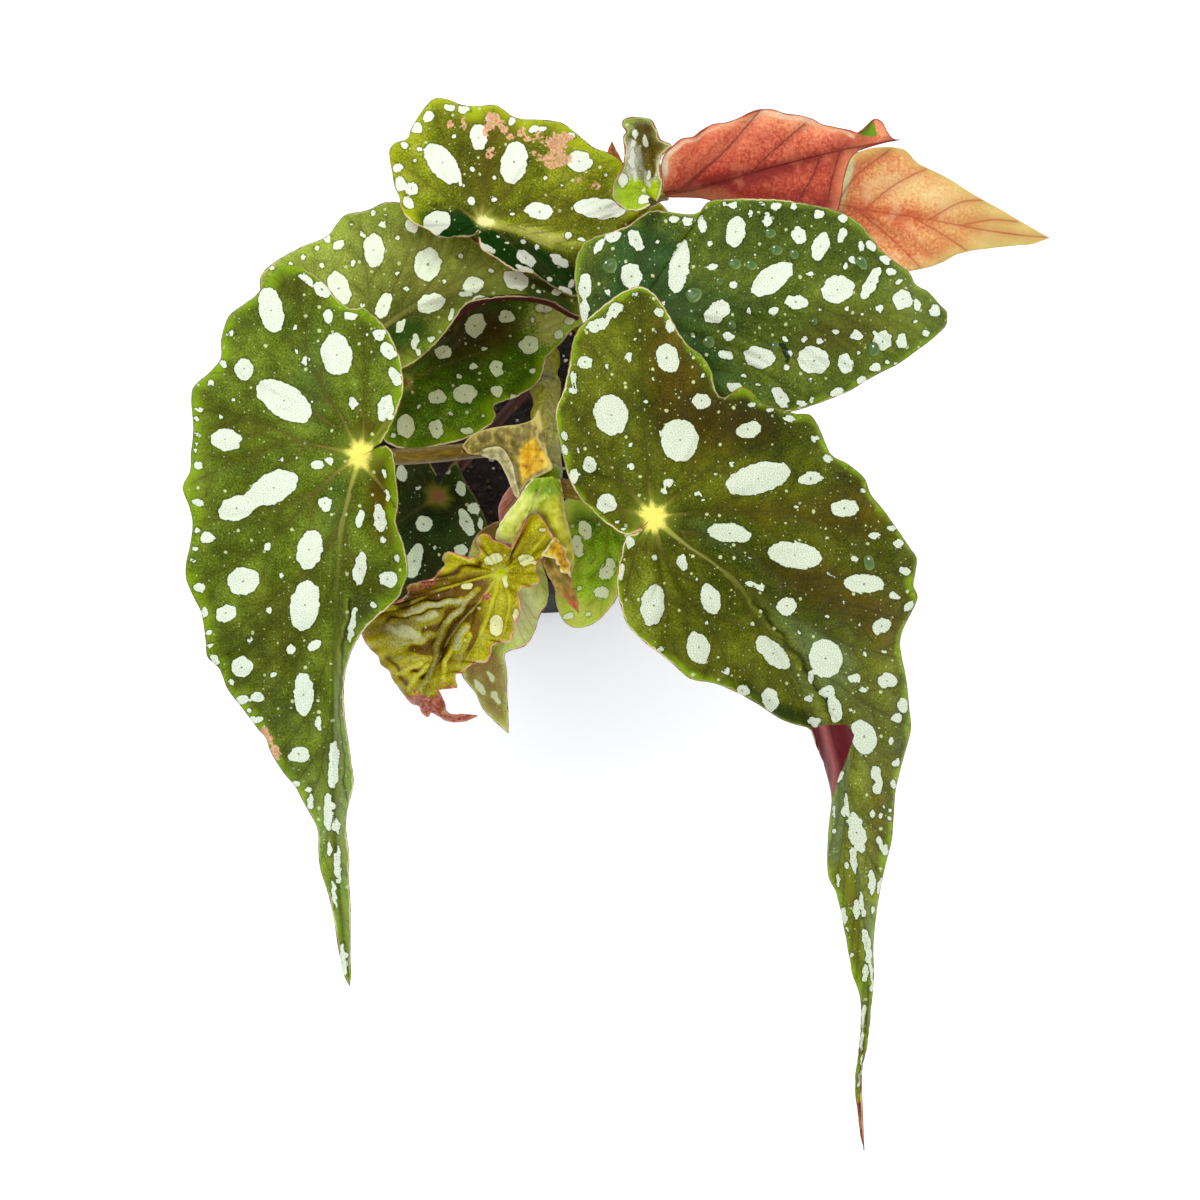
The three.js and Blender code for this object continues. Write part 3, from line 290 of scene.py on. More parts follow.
# Outlines as the photograph shows them, finer than the solids': from the notch to the tip
OUTLINES = {
    "leaf_new": {
        "left": """127.6,136.9 126.2,136 124.3,135.3 123,134.9 122.6,134.1 121.8,133.5 120.4,133.5 119.3,134.4
            119.2,135.8 119.9,137.2 120,138.2 117.6,139.5 115.2,138.9 113.4,138.2 112.2,138 111,138.5
            110.6,139.8 111.3,141.2 109.6,142.8 108.3,144.6 105,145.5 101.6,146.8 102,148 101,149.4 97.6,151.3
            94.4,153 91.6,155.2 90.4,158 91,160 92.6,162.2 94.6,164.2 95.4,166.3 97.2,167.6 98.2,169.8
            99.6,171.8 101.2,173.9 102.8,175.8 104.9,176.6 105.5,178.2 107,179.2 107.8,178.1 109.4,178.9
            111.2,180 113.6,180.5 116.6,180.2""",
        "right": """128,137 128.9,135.1 129.9,132.9 130.9,131.2 131.7,129.6 132.9,128.5 134.4,128.4
            135.9,129.9 137.3,132.2 138.6,134.8 138.3,137 135.8,139.2 134.5,140.7 134.1,142.2 134.9,144
            134.8,145.6 133,146.5 130.4,146.9 129.6,148.2 130.3,151.4 129.9,154 128.6,156 128.4,158.6
            127.4,160.3 124.6,160.8 123.1,161.4 122.8,163.4 121.8,165.3 119,165.7 117,166.7 115.6,168.2
            114.2,168.2 113.9,169.9 114.3,171.9 112.3,171.2 110.6,170.6 109.4,171.6 110.2,173.6 111.2,175.9
            111.4,177.4 112.9,178.8 115.6,178.6""",
    },
    "leaf_hanging": {
        "left": """126.8,130 123,130.8 119.6,133.2 117.8,136.4 116.6,140.4 114.6,148 112.6,156 113,163
            115.2,167.8 116,169.6 119,173.4 120.8,177.2 123.2,179.8""",
        "right": """128.6,133.6 133.5,136.5 136.4,143.6 137.2,147.6 136.6,151 134.9,154 133.4,158.4
            131.2,161.4 127.2,162.7 126.2,163.4 126.7,168.7 126.7,173 127,178""",
    },
    "leaf_cupped": {
        "left": """162.6,51.4 160.2,52.6 157,52.6 154.2,51 152.9,47.7 153.6,45 155.6,42 156.2,38 155.9,34
            156.6,33 155.6,31.3 155.8,30 158,29.2""",
        "right": "164.3,50.4 165.6,46.7 165,42 165.3,39.2 167.9,36.3 166.6,35.6 165.1,34.8 164,32 162.8,29.9",
    },
    "leaf_turned_red": {
        "left": """165.4,45.5 165.2,41.5 166,38.8 168.3,36.3 170.4,34.6 173.4,34.1 175.4,32.6 178,31.1
            181.4,30.6 184.8,29.4 188,27.9 190.4,27.3 193.4,27.4 196.2,28.3 200,28.8 203.4,29.8 205.4,31
            209,31.8 212.4,32.5 215,33.1 216.8,31.6 218.2,30 219,29.7 220.6,30.6 221.8,32.9 223.2,34.6""",
        "right": "165.8,49.1 168,49.4 176,49.6 185,53 196,56.5 205,56 209.4,52.5 211,44.7 213.2,38.8 "
                 "219.7,36",
    },
    "leaf_left": {
        "left": """95.5,110.6 97.8,106.2 99.7,101.7 100.8,97.2 100.7,94 99.7,88.8 97.8,84.4 95.2,80.5
            92.6,78.3 90.7,77 87.2,77 83.7,74.1 81.7,71.5 77.9,68.3 75.3,66.9 72.1,66.2 69.6,66.7 67,69.6
            64.4,73.5 61.2,76 57.4,78.9 56.1,81.8 55.3,85.6 55.3,89.5 52.9,92.7 48.4,96.9 47.9,99.7 48.4,107.4
            47.8,113.8 47.6,117.7 45.8,121.9 47.4,126.7 48.2,130.5 47.6,136.3 46.6,140.8 46.6,144.6 48.4,149.1
            50.3,152.9 51.5,160 51.9,164.1 54.8,167 57.1,172.4 60.6,176.9 64.4,182 66.6,184.6 67.6,187.6
            70.8,192.9 74,196.8 76,200.6 79.5,207.4 79.7,212.8 80.1,216.7 82.4,224.4 83.7,230.8 84.8,237.8
            86.2,244.2""",
        "right": """95.2,111.6 96.2,111.3 97.8,112.6 98.7,116.4 99.2,121.5 99.5,127.3 98.9,129.6 99.1,131.2
            100.7,135.6 101.6,139.5 101.9,143.3 101.3,145.3 99.7,149.1 96.5,152.3 93.3,154.9 89.8,159
            87.5,163.5 86.1,169.2 85.9,174.4 86.2,180 87.1,186 87.8,191 88.3,195.8 86.7,202.6 86.4,207
            87.2,214 87.1,219 87.6,227 87.6,233 87.5,239.7 87.7,244""",
    },
    "leaf_front": {
        "left": """160.2,132.4 156.4,133.7 152.6,131.6 148.8,128.2 144.9,124.3 142.3,119.7 140.7,113.6
            139.4,107.5 139,102.1 140.4,99.1 141.9,93.7 142.7,88.4 144.2,83 147.2,79.6 151.8,75.7
            156.4,72.7 160.2,71.7 163.3,73.4 166.4,77.3 168.7,81.5 171.7,86.1 175.5,89.1 177.8,93 179,97.9
            180.5,99.5 182.4,98.7 185.5,96.8 187.8,97.9 190.1,100.6 193.9,102.1 198.5,103.4 202.3,103.7
            204.2,106 206.2,110.6 207.7,113.6 212.3,116.3 216.1,119.7 217.6,123.6 220.7,127.4 224.5,132.7
            227.6,137.3 229.1,139.6 228.7,143.4 228.3,146.5 229.3,149.2 228,152.6 226,156.5 224.9,160.3
            225.3,164.1 226.4,169.5 227.2,177 227.6,182.3 225.7,189.7 223.9,197 223.3,204.3 222.8,210.2
            221.3,216.1 219.9,222.7 218.8,230 218.2,237.4 218.4,243.2 217.7,252 216.7,261.6 215.5,267.4
            215.1,275.5 215.5,283.6""",
        "right": """159.9,133 157.2,133.9 156,135.8 154.9,141.2 154.3,146.5 155.3,151.9 157.2,156.5
            161.8,161 167.9,165.6 172.5,169.5 179.4,171 184.7,173.3 190.1,176.4 196.2,180.2 202.6,182.4
            204.2,186.5 206.3,191.9 208,199.2 207.4,205.8 207,211.7 207.2,219 209.2,223.4 210.3,227.8
            211.8,235.9 213.3,244 215.1,249.1 215.3,255.7 214.7,263 213.8,271.1 214.4,277.7 215,282.9""",
    },
    "leaf_right": {
        "left": """151,86.5 147,84.5 145.4,79.8 144.4,74.5 143.7,70.4 144,65.1 145.7,61.1 148.4,59.4
            157.1,56.4 161.8,53 165.1,52.7 169.8,53.4 173.2,53.6 175.2,52.7 177.2,50.4 181.9,49.8 188.6,49.7
            195.3,50 202,51 208,52.4 212,54 215.4,56.4 218,59.7 220.7,63.1 224.1,65.8 227.4,68.4 228.8,71.1
            232.1,73.1 234.8,76.1 236.6,78""",
        "right": """152.5,88.5 158,95 168,100.5 180,103.8 188,104.6 195.3,103.4 199.3,102.6 205.3,100.6
            212,97.9 218.7,93.9 224.1,91.2 228.8,87.9 234.1,83.8 236.5,81.2""",
    },
    "leaf_back": {
        "left": """119.6,57.9 117.6,59.2 114.1,59.4 109.9,59.4 108.4,58.5 105.8,56.9 103.3,55.9 101.2,53.8
            100.1,51.8 99.9,49.2 98.7,46.7 98.1,43.1 97.4,39.5 97.4,37.7 98.7,35.9 102,34.6 102.5,32.8
            104.3,29.7 106.4,26.7 108.4,24.8 109.9,24.6 112.5,25.1 115.1,26.2 118.7,26.6 121.7,26.4
            123.8,26.3 125.8,27.4 127.9,29 130.2,29.8 135.6,30 138.2,30.3 140.7,30.9 143.3,32.8
            146.4,35.4 148.9,37.2 152,38.2 154.1,39.5 155.6,40.8 155.9,43 155.9,48.5 157.8,52.3
            161.2,51.9 162.8,51.5 164.8,50.8 169,55.5 175,60""",
        "right": """119.8,59 120,61.8 121.2,63.1 124.8,65.1 127.9,67.4 129.9,67.9 132.5,68.2 135.6,70
            139.2,72.3 142.3,73.8 143.8,74.1 150,72.3 158,69.4 168,67.2""",
    },
}

# Spots as x, y, half sizes and the turn of the first from the x axis towards y, in degrees
SPOTS = {
    "leaf_left": """67.8,77.6,5.8,2.9,78 84.3,88.8,5.4,3.8,80 61.2,92.4,2.4,2.7 71.2,100.4,7.8,4.1,33
        88.3,101,1.7,1.1,75 56.7,110,3.9,2.7,6 79.4,116.4,1.4,1.2 82.5,115.4,1.1,0.9 68.6,121.9,6.5,3.8,-25
        59.4,127,4.7,3.2,-20 64,124.6,2.6,2.6 81.4,125.9,2,1.6,70 89.9,129.6,2.3,1,100
        94.7,129.6,3.7,1.6,85 49.7,125.6,1.6,1.1,30 52.1,134.4,2,1.4 67.1,136.6,1.1,1.1
        77.6,137.4,4.9,3.2,103 89.8,142.1,4.3,1.5,97 97,144.6,2.4,2 61,145.3,4,3.5,-10 50,146.9,1.5,1.2
        76.4,151.3,6.3,3.6,100 56.7,153.3,2.6,2.2,-30 87.8,156.2,4.6,0.9,100 60.6,166.7,2.7,2.5
        60.6,174.7,1.8,1.2 64.6,174.2,1.6,1.2 64.1,179.8,1.8,1 76.1,173.4,5.4,2.5,88 73,162.3,1,1.2
        78.9,161.2,2,1.2,-35 62.6,159.7,0.8,0.8 79.8,180.4,1.7,0.9,90 75,188.6,2.6,2 74,196,1.2,1
        77.4,197.2,1,0.8 77.8,200.3,2,0.9,90 83.3,191,6,1,92 82.3,202.9,4.9,1.1,88 84,206.4,2,0.6,90
        82.7,212.2,2,0.6,88 84.3,216,4.5,0.6,88 83.8,223.4,3.4,0.6,85 85.9,240.4,4.5,0.8,88
        80.5,72.7,2.6,1.6,45 77.3,70.6,1.5,1,45 75.6,69,1,0.6,20 94.9,84,1.6,1.6 97,88,2.4,1.7,60
        98.7,94.3,2.5,1.3,65 96.2,102,3.3,1.7,108 97.6,103.4,1.9,0.8,100 82,79.2,1.6,1.3,80
        87.7,79.2,1.7,1.2,30 57.7,83.6,1,0.9 56.2,91.1,1.4,1,60 53,96.1,0.9,0.9 50,102.5,1.2,0.6,20
        49.3,105,0.9,0.8 49.2,108.4,0.6,0.6 49.2,111,0.6,0.5 48.9,112.9,0.8,0.5,90 50,116.5,1.3,0.9,20
        49.6,132.5,0.9,0.7 49,137.5,0.9,0.6 48.6,140,0.7,0.5 51.2,153,1.5,0.9,80 52.4,158,0.9,0.7
        52.7,161.5,0.8,0.6 53.8,165,1.5,0.9,60 58,170.4,0.8,0.7 62.5,177.6,0.8,0.6 95.8,118,1.3,0.6,80
        96.6,124,1.6,0.6,86 95.4,135,0.9,0.7 99,139.8,1.2,0.7,80 93,151,0.9,0.8 68.4,168.6,0.8,0.6
        67.4,152.6,0.7,0.7 70.6,143.8,0.6,0.7 86.4,105.5,0.6,0.5 91.6,83.6,0.6,0.5 76,91,0.6,0.7
        74,88.2,0.7,0.6 73.8,82.2,0.6,0.5 58,100.2,0.6,0.5 55.4,104.4,0.7,0.5 70.4,114.9,0.6,0.6
        74,114.7,0.5,0.5 78,100.6,0.6,0.5 76.6,89.9,0.6,0.9,110""",
    # The long, narrow spots on the tail of leaf_front, below y 190, are pale streaks that paint the highlight
    # along its folded midrib.
    "leaf_front": """152.8,103.9,5.1,4.1,75 169.8,110.3,5.3,4.7,80 166.8,89.7,3.7,2.8,70
        189.3,119.7,8.3,3.6,-15 186.9,107.7,3.4,1.9,-12 175.3,100.5,2.4,1.9,10 202.5,119.6,3.1,1.6,-8
        211,127.2,3.7,2.1,-5 182.2,133.4,5.6,2.4,8 198.5,138.9,6.8,3.3,8 215.7,146,5.1,2.4,3
        196.4,151.6,2.5,2.3 163.3,151,5.2,2.9,98 177.7,149.6,4.1,2.3,70 174.6,161.8,4.1,3,70
        193.3,163,5.4,2.6,45 206.2,164.7,4.9,4.1,80 192.6,174.8,3,2,80 185.7,172.5,1.7,1.5 203.7,180.2,2,1.2
        215.6,184.2,4.4,3.1,75 220.1,156.5,2.5,1.8,-30 221.5,170.1,2.4,1.8 225.9,142.7,1.7,1,15
        147.5,116.3,1.8,2 151.7,125.9,2.4,2.4 146.3,90.8,1.9,1.6,10 149.5,81.5,3.1,1.6,-20
        153.7,77.7,2.3,1.7,-35 164.7,78.3,1.2,1.2 167.5,81.7,1.6,1.1,65 158.9,74.1,1.2,0.8
        143.6,94.3,1.5,0.9,80 143.4,97.8,1.3,0.9 143.6,119,1.9,1.3,110 141.3,109,1.3,0.7,85
        141.5,112.5,1.4,0.8,80 170.7,140.5,2,1.1,68 187.3,146,1.1,1.1 189.9,146.7,1,1 167,120.7,1.7,0.9
        165.8,122.8,0.9,0.7 157.8,116.9,0.9,0.9 157.2,89.4,1,1 152,92,0.8,0.8 213.2,169.8,1.4,1.2
        215.5,172.4,1,0.8 225.5,176.4,1.8,1.3,80 224,179.4,1.5,1.1 181.4,167.6,1.1,0.8 165.1,162.2,1,0.8
        202.2,174.3,0.8,0.8 222.8,132,1.3,1.2 224.5,135.8,1.5,1.2 218.4,133.9,1.6,0.9,-15 215.6,122.8,1,0.8
        206.9,114.8,1.3,0.9,20 203.6,109.8,1,1 197.1,104.8,1.5,0.8,10 187.8,101.4,1,0.6 192.4,102.6,1,0.6
        206.8,172.8,1.7,1.5 208.5,177.1,3.5,1.5,75 202.7,169.1,1.5,0.8,80 218.8,193.3,2,1.3,70
        219.3,196.3,1.9,1.3,100 214,208.1,5.3,1.9,76 213.3,214.8,3.4,0.8,82 217.7,220.5,3,1.1,88
        214.2,227.1,2.4,1.1,88 211.5,201.2,3.6,0.36,81 210.1,194.1,1.6,0.5,105 208.6,202.6,1.7,0.45,96
        215.3,225.8,3.2,0.32,79 219.9,221.2,2.3,0.55,104 217.6,243,5,0.45,88 215.6,257,6,0.5,94
        215.2,267.4,4.4,0.42,97 222.3,202.6,0.5,0.5 222.3,204.6,0.5,0.5 220.7,201.8,0.5,0.4
        208.7,207.8,0.7,0.4,90 211.8,216.1,0.9,0.5,80 212.2,232.3,0.7,0.5,60 213,238.6,0.6,0.5
        216.1,244.5,0.7,0.4,80 211.1,228.6,2.1,0.9,80 209.6,219.9,1.6,0.6,80 217.8,227.5,1.1,0.6,90
        216.7,236.6,4.8,0.75,82 219.7,210.6,1.8,0.6,66 221.1,212.5,1.6,0.9,105 223.9,190.6,1.2,1
        223,196.1,1.4,0.7,90 157.6,135.6,1.5,1,100 155.4,143,2.2,0.7,95 223.5,149,1.5,0.8,15
        227,151.5,1.7,0.8,-50 161.2,100.7,0.6,0.6 159,85.2,0.6,0.6 165,108.6,0.5,0.6 180.8,106,0.5,0.4
        178.6,114.2,0.6,0.4 182.9,116.1,0.7,0.6 178.4,118.4,0.7,0.5,30 174.4,123.6,0.9,0.6,25
        175.6,125,0.8,0.5 189.6,125.6,0.5,0.5 189.5,126.7,0.7,0.5 198.9,127,0.9,0.5,-10 195.8,134,0.5,0.5
        187.4,139.6,0.6,0.5 206.6,143.4,0.6,0.4 208.4,144.4,0.7,0.5 213.4,139.8,1,0.9 206.4,154.4,0.7,0.5,-40
        199.4,158.4,0.7,0.5 171.7,152.6,0.6,0.6 174.6,144.5,0.5,0.5 163.6,139.4,0.8,0.7 214.8,156,0.6,0.5
        211,150.6,0.9,0.5,-20 188,155.8,0.6,0.8 176.8,155.6,0.6,0.5 168.8,98.4,0.5,0.5 162.8,93.8,0.5,0.5
        163.6,95,0.5,0.5 163.6,83,0.5,0.6 170.4,84.6,0.5,0.5 217.6,118.4,0.6,0.5 209.4,119,0.7,0.6
        172.2,88.7,0.6,0.6 175.6,94,0.7,0.6 205.4,107,0.5,0.5 144.6,104.8,0.5,0.4 147.6,108.4,0.5,0.4
        144.9,112.6,0.5,0.6 157.6,111.4,0.7,0.5,-50 159,121.4,0.5,0.4 144.4,123.2,0.5,0.5 154.4,130.6,0.6,0.4
        156.2,132,0.7,0.4 216,163.6,0.8,0.6 212.6,177.4,0.6,0.8 220.6,163,0.7,0.5 222.4,185,0.7,0.9
        217.8,203.4,0.6,1 220,203.6,0.5,0.8 211,203,0.5,1.2 216.4,242.6,0.5,1.8""",
    "leaf_right": """157.9,69.1,3.2,2.7,80 169.8,66.8,6.8,2.5,100 183.9,58.1,3.9,2.4,100 192.9,69.9,6,3.1,-36
        179.2,78,3.6,2.3,-38 199.7,59.1,2.3,1.7,80 205,61.7,3.6,1.9,108 209.3,72.5,4.1,3.3,-15
        199,75.6,2.9,1.7,5 189.8,89.3,3.9,2.6,8 203.3,90.1,4.1,3.4,10 211.2,90.9,2.5,1.8,75
        181.4,88.7,1.8,1.3,10 214,83.7,1.4,1.4 220.4,85.2,2.4,2.4 225.2,85.2,1.8,1.3,90
        225.4,75,2.4,2.3 229.1,76.5,1.3,0.9,80 217.7,70.8,4.6,1.5,118 219.7,77.2,1,1
        222.7,68.1,1.3,1,50 221.1,65.1,1.7,1.2,50 210.4,59.1,2,1.1,110 204.7,53.6,1.5,1.1,10
        210.6,54.9,1.3,1,20 217.7,61.7,1.7,1,55 215,61.7,1.3,0.8,80 213,65.2,0.9,0.9
        191.9,55,1.8,1.1,100 193.9,51.7,1.5,1 187.6,53.7,0.8,0.8 183.2,51.5,1.2,0.9 181.2,51.2,0.8,0.6
        198.3,51.9,1,0.8 190.6,51,0.7,0.6 175.5,56.1,2.2,1,80 171.8,55.4,1.5,1.1,20 168.5,54.9,1.3,1
        159,60.1,3,1.6,65 153.4,59.2,2,1.5,-25 149.7,61.7,2.1,1,-60 146.3,71.8,3.4,1.6,95
        146,78.2,3,1.4,98 178.2,66.8,1.6,1 183.4,71.3,1,1 193.3,77.7,1.3,0.8,-20 195.1,99.5,3,1.7,60
        183.9,97.1,2.2,1.2,15 200.3,101,1.4,0.9,15 202.9,100.1,0.8,0.8 209.2,98.2,2,1.1,-25
        215.2,95.1,1.4,0.9,-30 218.7,91.9,1.4,1.1 233.5,77.7,1.4,1.4 231.3,83.4,1,1
        187.2,77.6,0.8,0.5,-45 196.4,85,0.8,0.6 205,77.4,0.7,0.6 211.6,77.4,0.6,0.5 200.9,84.8,0.6,0.9
        204.8,85.3,0.8,0.9 208.9,82.8,0.8,0.6 196.6,91.9,0.7,0.7 202.4,95,0.7,0.5 185.8,94,0.6,0.5
        221.4,90.4,0.7,0.6 223.9,90.9,0.6,0.4 218.4,83,0.6,0.6 228.6,80.4,0.7,0.6 214.4,88,0.6,0.5
        166,76,0.7,0.6 161,76.6,0.8,0.6 173.4,84.4,0.7,0.6 152,73,0.6,0.6 164.4,60.6,0.7,0.7
        177.4,61,0.7,0.8 188.6,63.6,0.7,0.5 197.4,66.4,0.6,0.5 202.4,68.6,0.8,0.6 211.4,66.6,0.5,0.6
        224.6,70.6,0.7,0.8 215.4,78.6,0.5,0.5 173.4,95.6,2.2,1.5,20 163,90.6,2,1.6""",
    "leaf_back": """110.7,41.1,6.1,3.2,50 119.7,34.5,3.3,2.1,80 128.5,40.8,5.3,3.3,100 144.9,40.6,3.1,2.6,10
        107.3,29.3,1.4,1.4 112.3,27,1.5,1 116.1,27.6,1.6,1 127.9,30.6,1.1,0.9 133.6,32.5,1.1,1
        135.7,32.3,1,0.8 142.8,34,1.1,0.9 104.3,32.2,1.5,1.3 101.3,36.4,1,1 99.4,42,1.3,1.1
        100,45.9,2,1.4,80 102.9,47.3,1.7,1.7 102.2,50.7,1.8,1.2,60 109.2,55.7,3.5,2.8,-20
        117.9,50.3,0.9,0.9 123.7,50.1,0.9,0.7 134.7,52.9,3.6,2.2,5 149.9,52.3,6.8,2.5,4 142,59.1,1,0.8
        145.3,60,0.9,0.7 128.2,53.7,0.6,0.6 121.9,61.9,2.4,1,25 131.6,64.4,2.9,1.5,40 139.9,65,2.6,1.2,35
        131,67.1,2.3,0.7,15 141.6,72.4,1.7,0.8,30 142.8,70.8,0.8,1 134.5,61.5,0.7,0.7 131,60.3,0.6,0.6
        105,37.4,0.7,0.6 103.8,40.6,0.6,0.6 118,42.4,0.7,0.7 123.6,44.6,0.7,0.6 115.6,46.4,0.7,0.6
        136.4,44.6,0.7,0.5 140.6,46.8,0.7,0.6 113.4,34.4,0.6,0.7 121.8,30,0.7,0.6 151,43.6,0.7,0.6
        126.6,60.6,0.6,0.4 124.6,58.8,0.6,0.4 137.6,69.6,0.9,0.5,30""",
    "leaf_pale": """93.6,62.7,4.2,2.7,85 106.9,66.3,4.1,3.4,100 84.8,72.3,4.4,2.8,75 96,76.6,3.4,1.8,112
        107.6,75.9,3.5,2.2,-22 118.3,71.2,2.5,1.8,-8 128.9,70,3.3,2.2,12 100.1,81.5,1.9,0.9,115
        103.7,85.2,2,1,95 107.7,84.8,1.1,1.1 104.4,88.3,0.8,0.8 112.8,78.5,1.7,0.6,105 95.8,56.3,1,1
        84.7,61.4,1.6,1.1,-40 79.5,62.2,0.8,0.8 81.9,59.9,1.1,1.1 102.9,56.7,1.9,1.4,60 93.4,53.3,0.8,0.8
        116.2,73.4,2,0.6,5 119.7,74.3,1.8,0.7 114.8,64.2,0.7,0.7 99.4,59.6,0.7,0.5 90.6,58.6,0.7,0.6
        88.4,66,0.8,0.6 99.6,68.6,0.7,0.6 101.6,72.4,0.7,0.6 96.8,54,0.6,0.5 88,56,0.7,0.6
        76,64.4,0.9,0.7 72.6,66.4,1,0.7 68,67.2,0.9,0.6 80.6,66.6,0.7,0.6 90.6,76.4,0.7,0.6
        111,70.4,0.6,0.6 122.8,67.8,0.6,0.6 134.6,72.4,0.9,0.6 88.6,84.6,2.4,1.6 76.6,76.6,3,2
        71,72,1.6,1.2 82,82,1.4,1 125,64.6,1,0.8 139,73,1.2,0.8""",
    "leaf_inner": """118.8,81.5,3.1,2.5,110 110.9,88.2,2.1,1.7 132.2,86.2,2.4,2.4 124.1,91.9,2,1.7,80
        118.4,91.6,1.2,0.9 139.5,83.6,1.1,1.1 116.1,98.6,3,2.3,-8 109.4,99.3,2.3,1.7,-10
        124.2,97.8,1.6,1.3 101.5,106.5,2.8,2.3,80 109.1,107.2,2.4,1.8,85 116.7,107.8,1.5,1
        128.4,98.9,1.2,0.6 126.6,79.4,2,1.6 136,77,2.2,1.5 111,79.6,2.2,1.6 103.6,84.6,1.6,1.2
        114.6,94,0.6,0.5 121,87.4,0.7,0.5 127.6,84.2,0.6,0.6 104.6,101.6,0.7,0.6 112.6,103.4,0.6,0.6
        120.6,104,0.8,0.6 98.4,108.6,0.7,0.7 133,92.8,0.9,0.7""",
    "leaf_low": """111.4,117.6,1.3,1 115.1,122.1,2,1.2,75 116.5,130.6,3.8,1.6,65 118.4,127.1,1.7,1.4
        120.1,130.9,1.6,0.8,80 105.9,131,2.2,2 115.2,137.5,1.8,1.4 103.5,140.3,4.5,2,105
        100.5,118.5,2,1.4,80 96,127,3,2,-40 88,122,2.6,1.8,-30 92,138,2.8,1.8,-50 80,132,3,2,-40
        82,145,2.4,1.6,-45 73,140,2.2,1.5,-45 104.6,122,0.8,0.6 108.6,136.6,0.7,0.7 98,146,1.2,1
        68,152,1.4,1 112,144,1.6,1.1""",
    "leaf_tucked": """146.5,132.7,2.4,1.6,65 144.4,136.6,2.8,1.5,80 151.6,143.2,1.9,1.5 150.1,148.1,2.1,1.3,10
        152.5,140.6,1.7,0.8,20 142.2,153.9,1.5,0.8,-20 148,140.4,0.7,0.6 145,147,0.6,0.6
        141.6,145.6,0.8,0.6 147,153.6,0.8,0.6 158,133,2.4,1.6,20 164,144,2.6,1.8,40 172,140,2.2,1.6,35
        176,152,2.2,1.6,45 160,128,1.4,1""",
    "leaf_new": """124.1,156.3,2.6,1.7,85 131.8,140,2.1,1.6 123.3,139.7,2.3,1.3,-15 135.6,132.4,1.2,0.8
        116.8,146.6,1.5,1 126.5,145.7,1.6,0.7,90 129,153.6,1.6,0.8,80""",
    "leaf_hanging": """120,171.8,2.2,0.75,58 122.9,169,1.6,0.5,60 123.9,174.2,2,0.7,62""",
    "leaf_cupped": """155.6,45.1,1.8,1,100 161,49.9,1.6,1 161.2,35.1,1.7,0.7,85 157.9,39.5,2.5,0.8,95
        162.4,44,1.4,0.6,85 158.6,33.6,1.2,0.6,95""",
}

# Leaf veins that show clearly, from the stalk outward
VEINS = {
    "leaf_left": ["90.1,113.8 86.5,106.5 81.8,98.5 77.8,90.5 75.5,80 74.5,69",
                  "90.1,113.8 91,104 91.4,94 90.6,82", "90.1,113.8 82,112 74,110.6 66,112.6 56,117 48,121",
                  "90.1,113.8 94,110 97.5,104", "90.1,113.8 84,118.5 78,124.5 70,133 60,140 49,146",
                  "83.5,106.6 74,101 62,95.6 55.5,90", "76,110.6 66,106 54,103 48.6,102",
                  "80,122.4 66,128 54,130 48,130.6", "87.6,124 84,134 74,148 62,160 53.6,165",
                  "91,116.6 95,121.4 98.8,127"],
    "leaf_front": ["163.3,129.3 162,118 161,105 160.6,90 160,73",
                   "163.3,129.3 156,121 149,112 142.6,101 140.6,98",
                   "163.3,129.3 157,127.6 150,126.8 146,125",
                   "163.3,129.3 169,124 177,117.6 187,111.6 197,104",
                   "163.3,129.3 170,128.6 182,128 195,127.6 205,123.6 216,120", "195,127.6 208,131.6 222,134",
                   "170.6,133 182,135 197,145.4 212,151 227,155", "197,145.4 212,144 228,143",
                   "163.3,129.3 165.5,138 170,147 178,157 184,172", "163.3,129.3 164,139 167,152 166,163",
                   "163.3,129.3 159,138 156,150", "161,104 153,95 147,85", "161.3,110 170,101 178,96"],
    "leaf_right": ["155,83 151,73 148,61", "155,83 158,71 162,62 163,54", "155,83 166,72 174,62 182,51",
                   "168,79 180,68 196,58 208,53", "155,83 166,88 176,96 184,103", "155,83 158,90 162,97",
                   "182,76.5 196,86 210,92 218,93", "196,76 208,68 218,64 224,66"],
    "leaf_back": ["120,55.7 112,50 104,44 98,40", "120,55.7 116,46 111,35 108,26",
                  "120,55.7 121.6,45 123,35 123.4,27", "120,55.7 128,47 134,38 139,31",
                  "122,56 134,50 146,43 154,40", "131,56.9 138,56.4 146,56.8 154,56.2",
                  "124,57 130,63 136,69", "138,61.5 146,67 152,71"],
    "leaf_pale": ["93,84 104.1,59.9", "94.3,81.5 108,74 122.6,65.4", "93,84 92,70 90,54", "93,84 82,74 74,64",
                  "93,84 80,82 70,80", "93,84 100,88 104,89.6", "105,76 112,80"],
    "leaf_turned_red": ["171,47 176,42.4 181,38 189.3,28.3", "188,42.6 194,37 201,31",
                        "205,39.4 203,44 200.5,48.5", "210,37.6 208.4,43 207,49"],
    "leaf_new": ["125,144.5 124,148 120.5,158 116,166", "125.3,143.3 118,145 110,147.6 103,150.6",
                 "125.3,143.3 131,139.6 136.4,134", "125.6,144 127.4,150 126,158"],
    "leaf_turned_pale": ["209,51.2 214,44 222,37.6", "216,52.5 224,46 232,42", "232,55 240,50.6 246,50",
                         "214,52 222,59 230,67", "228,54.4 236,59 242,63", "240,56.4 248,55 254,55.4",
                         "209,51.2 210,60 212,67"],
}


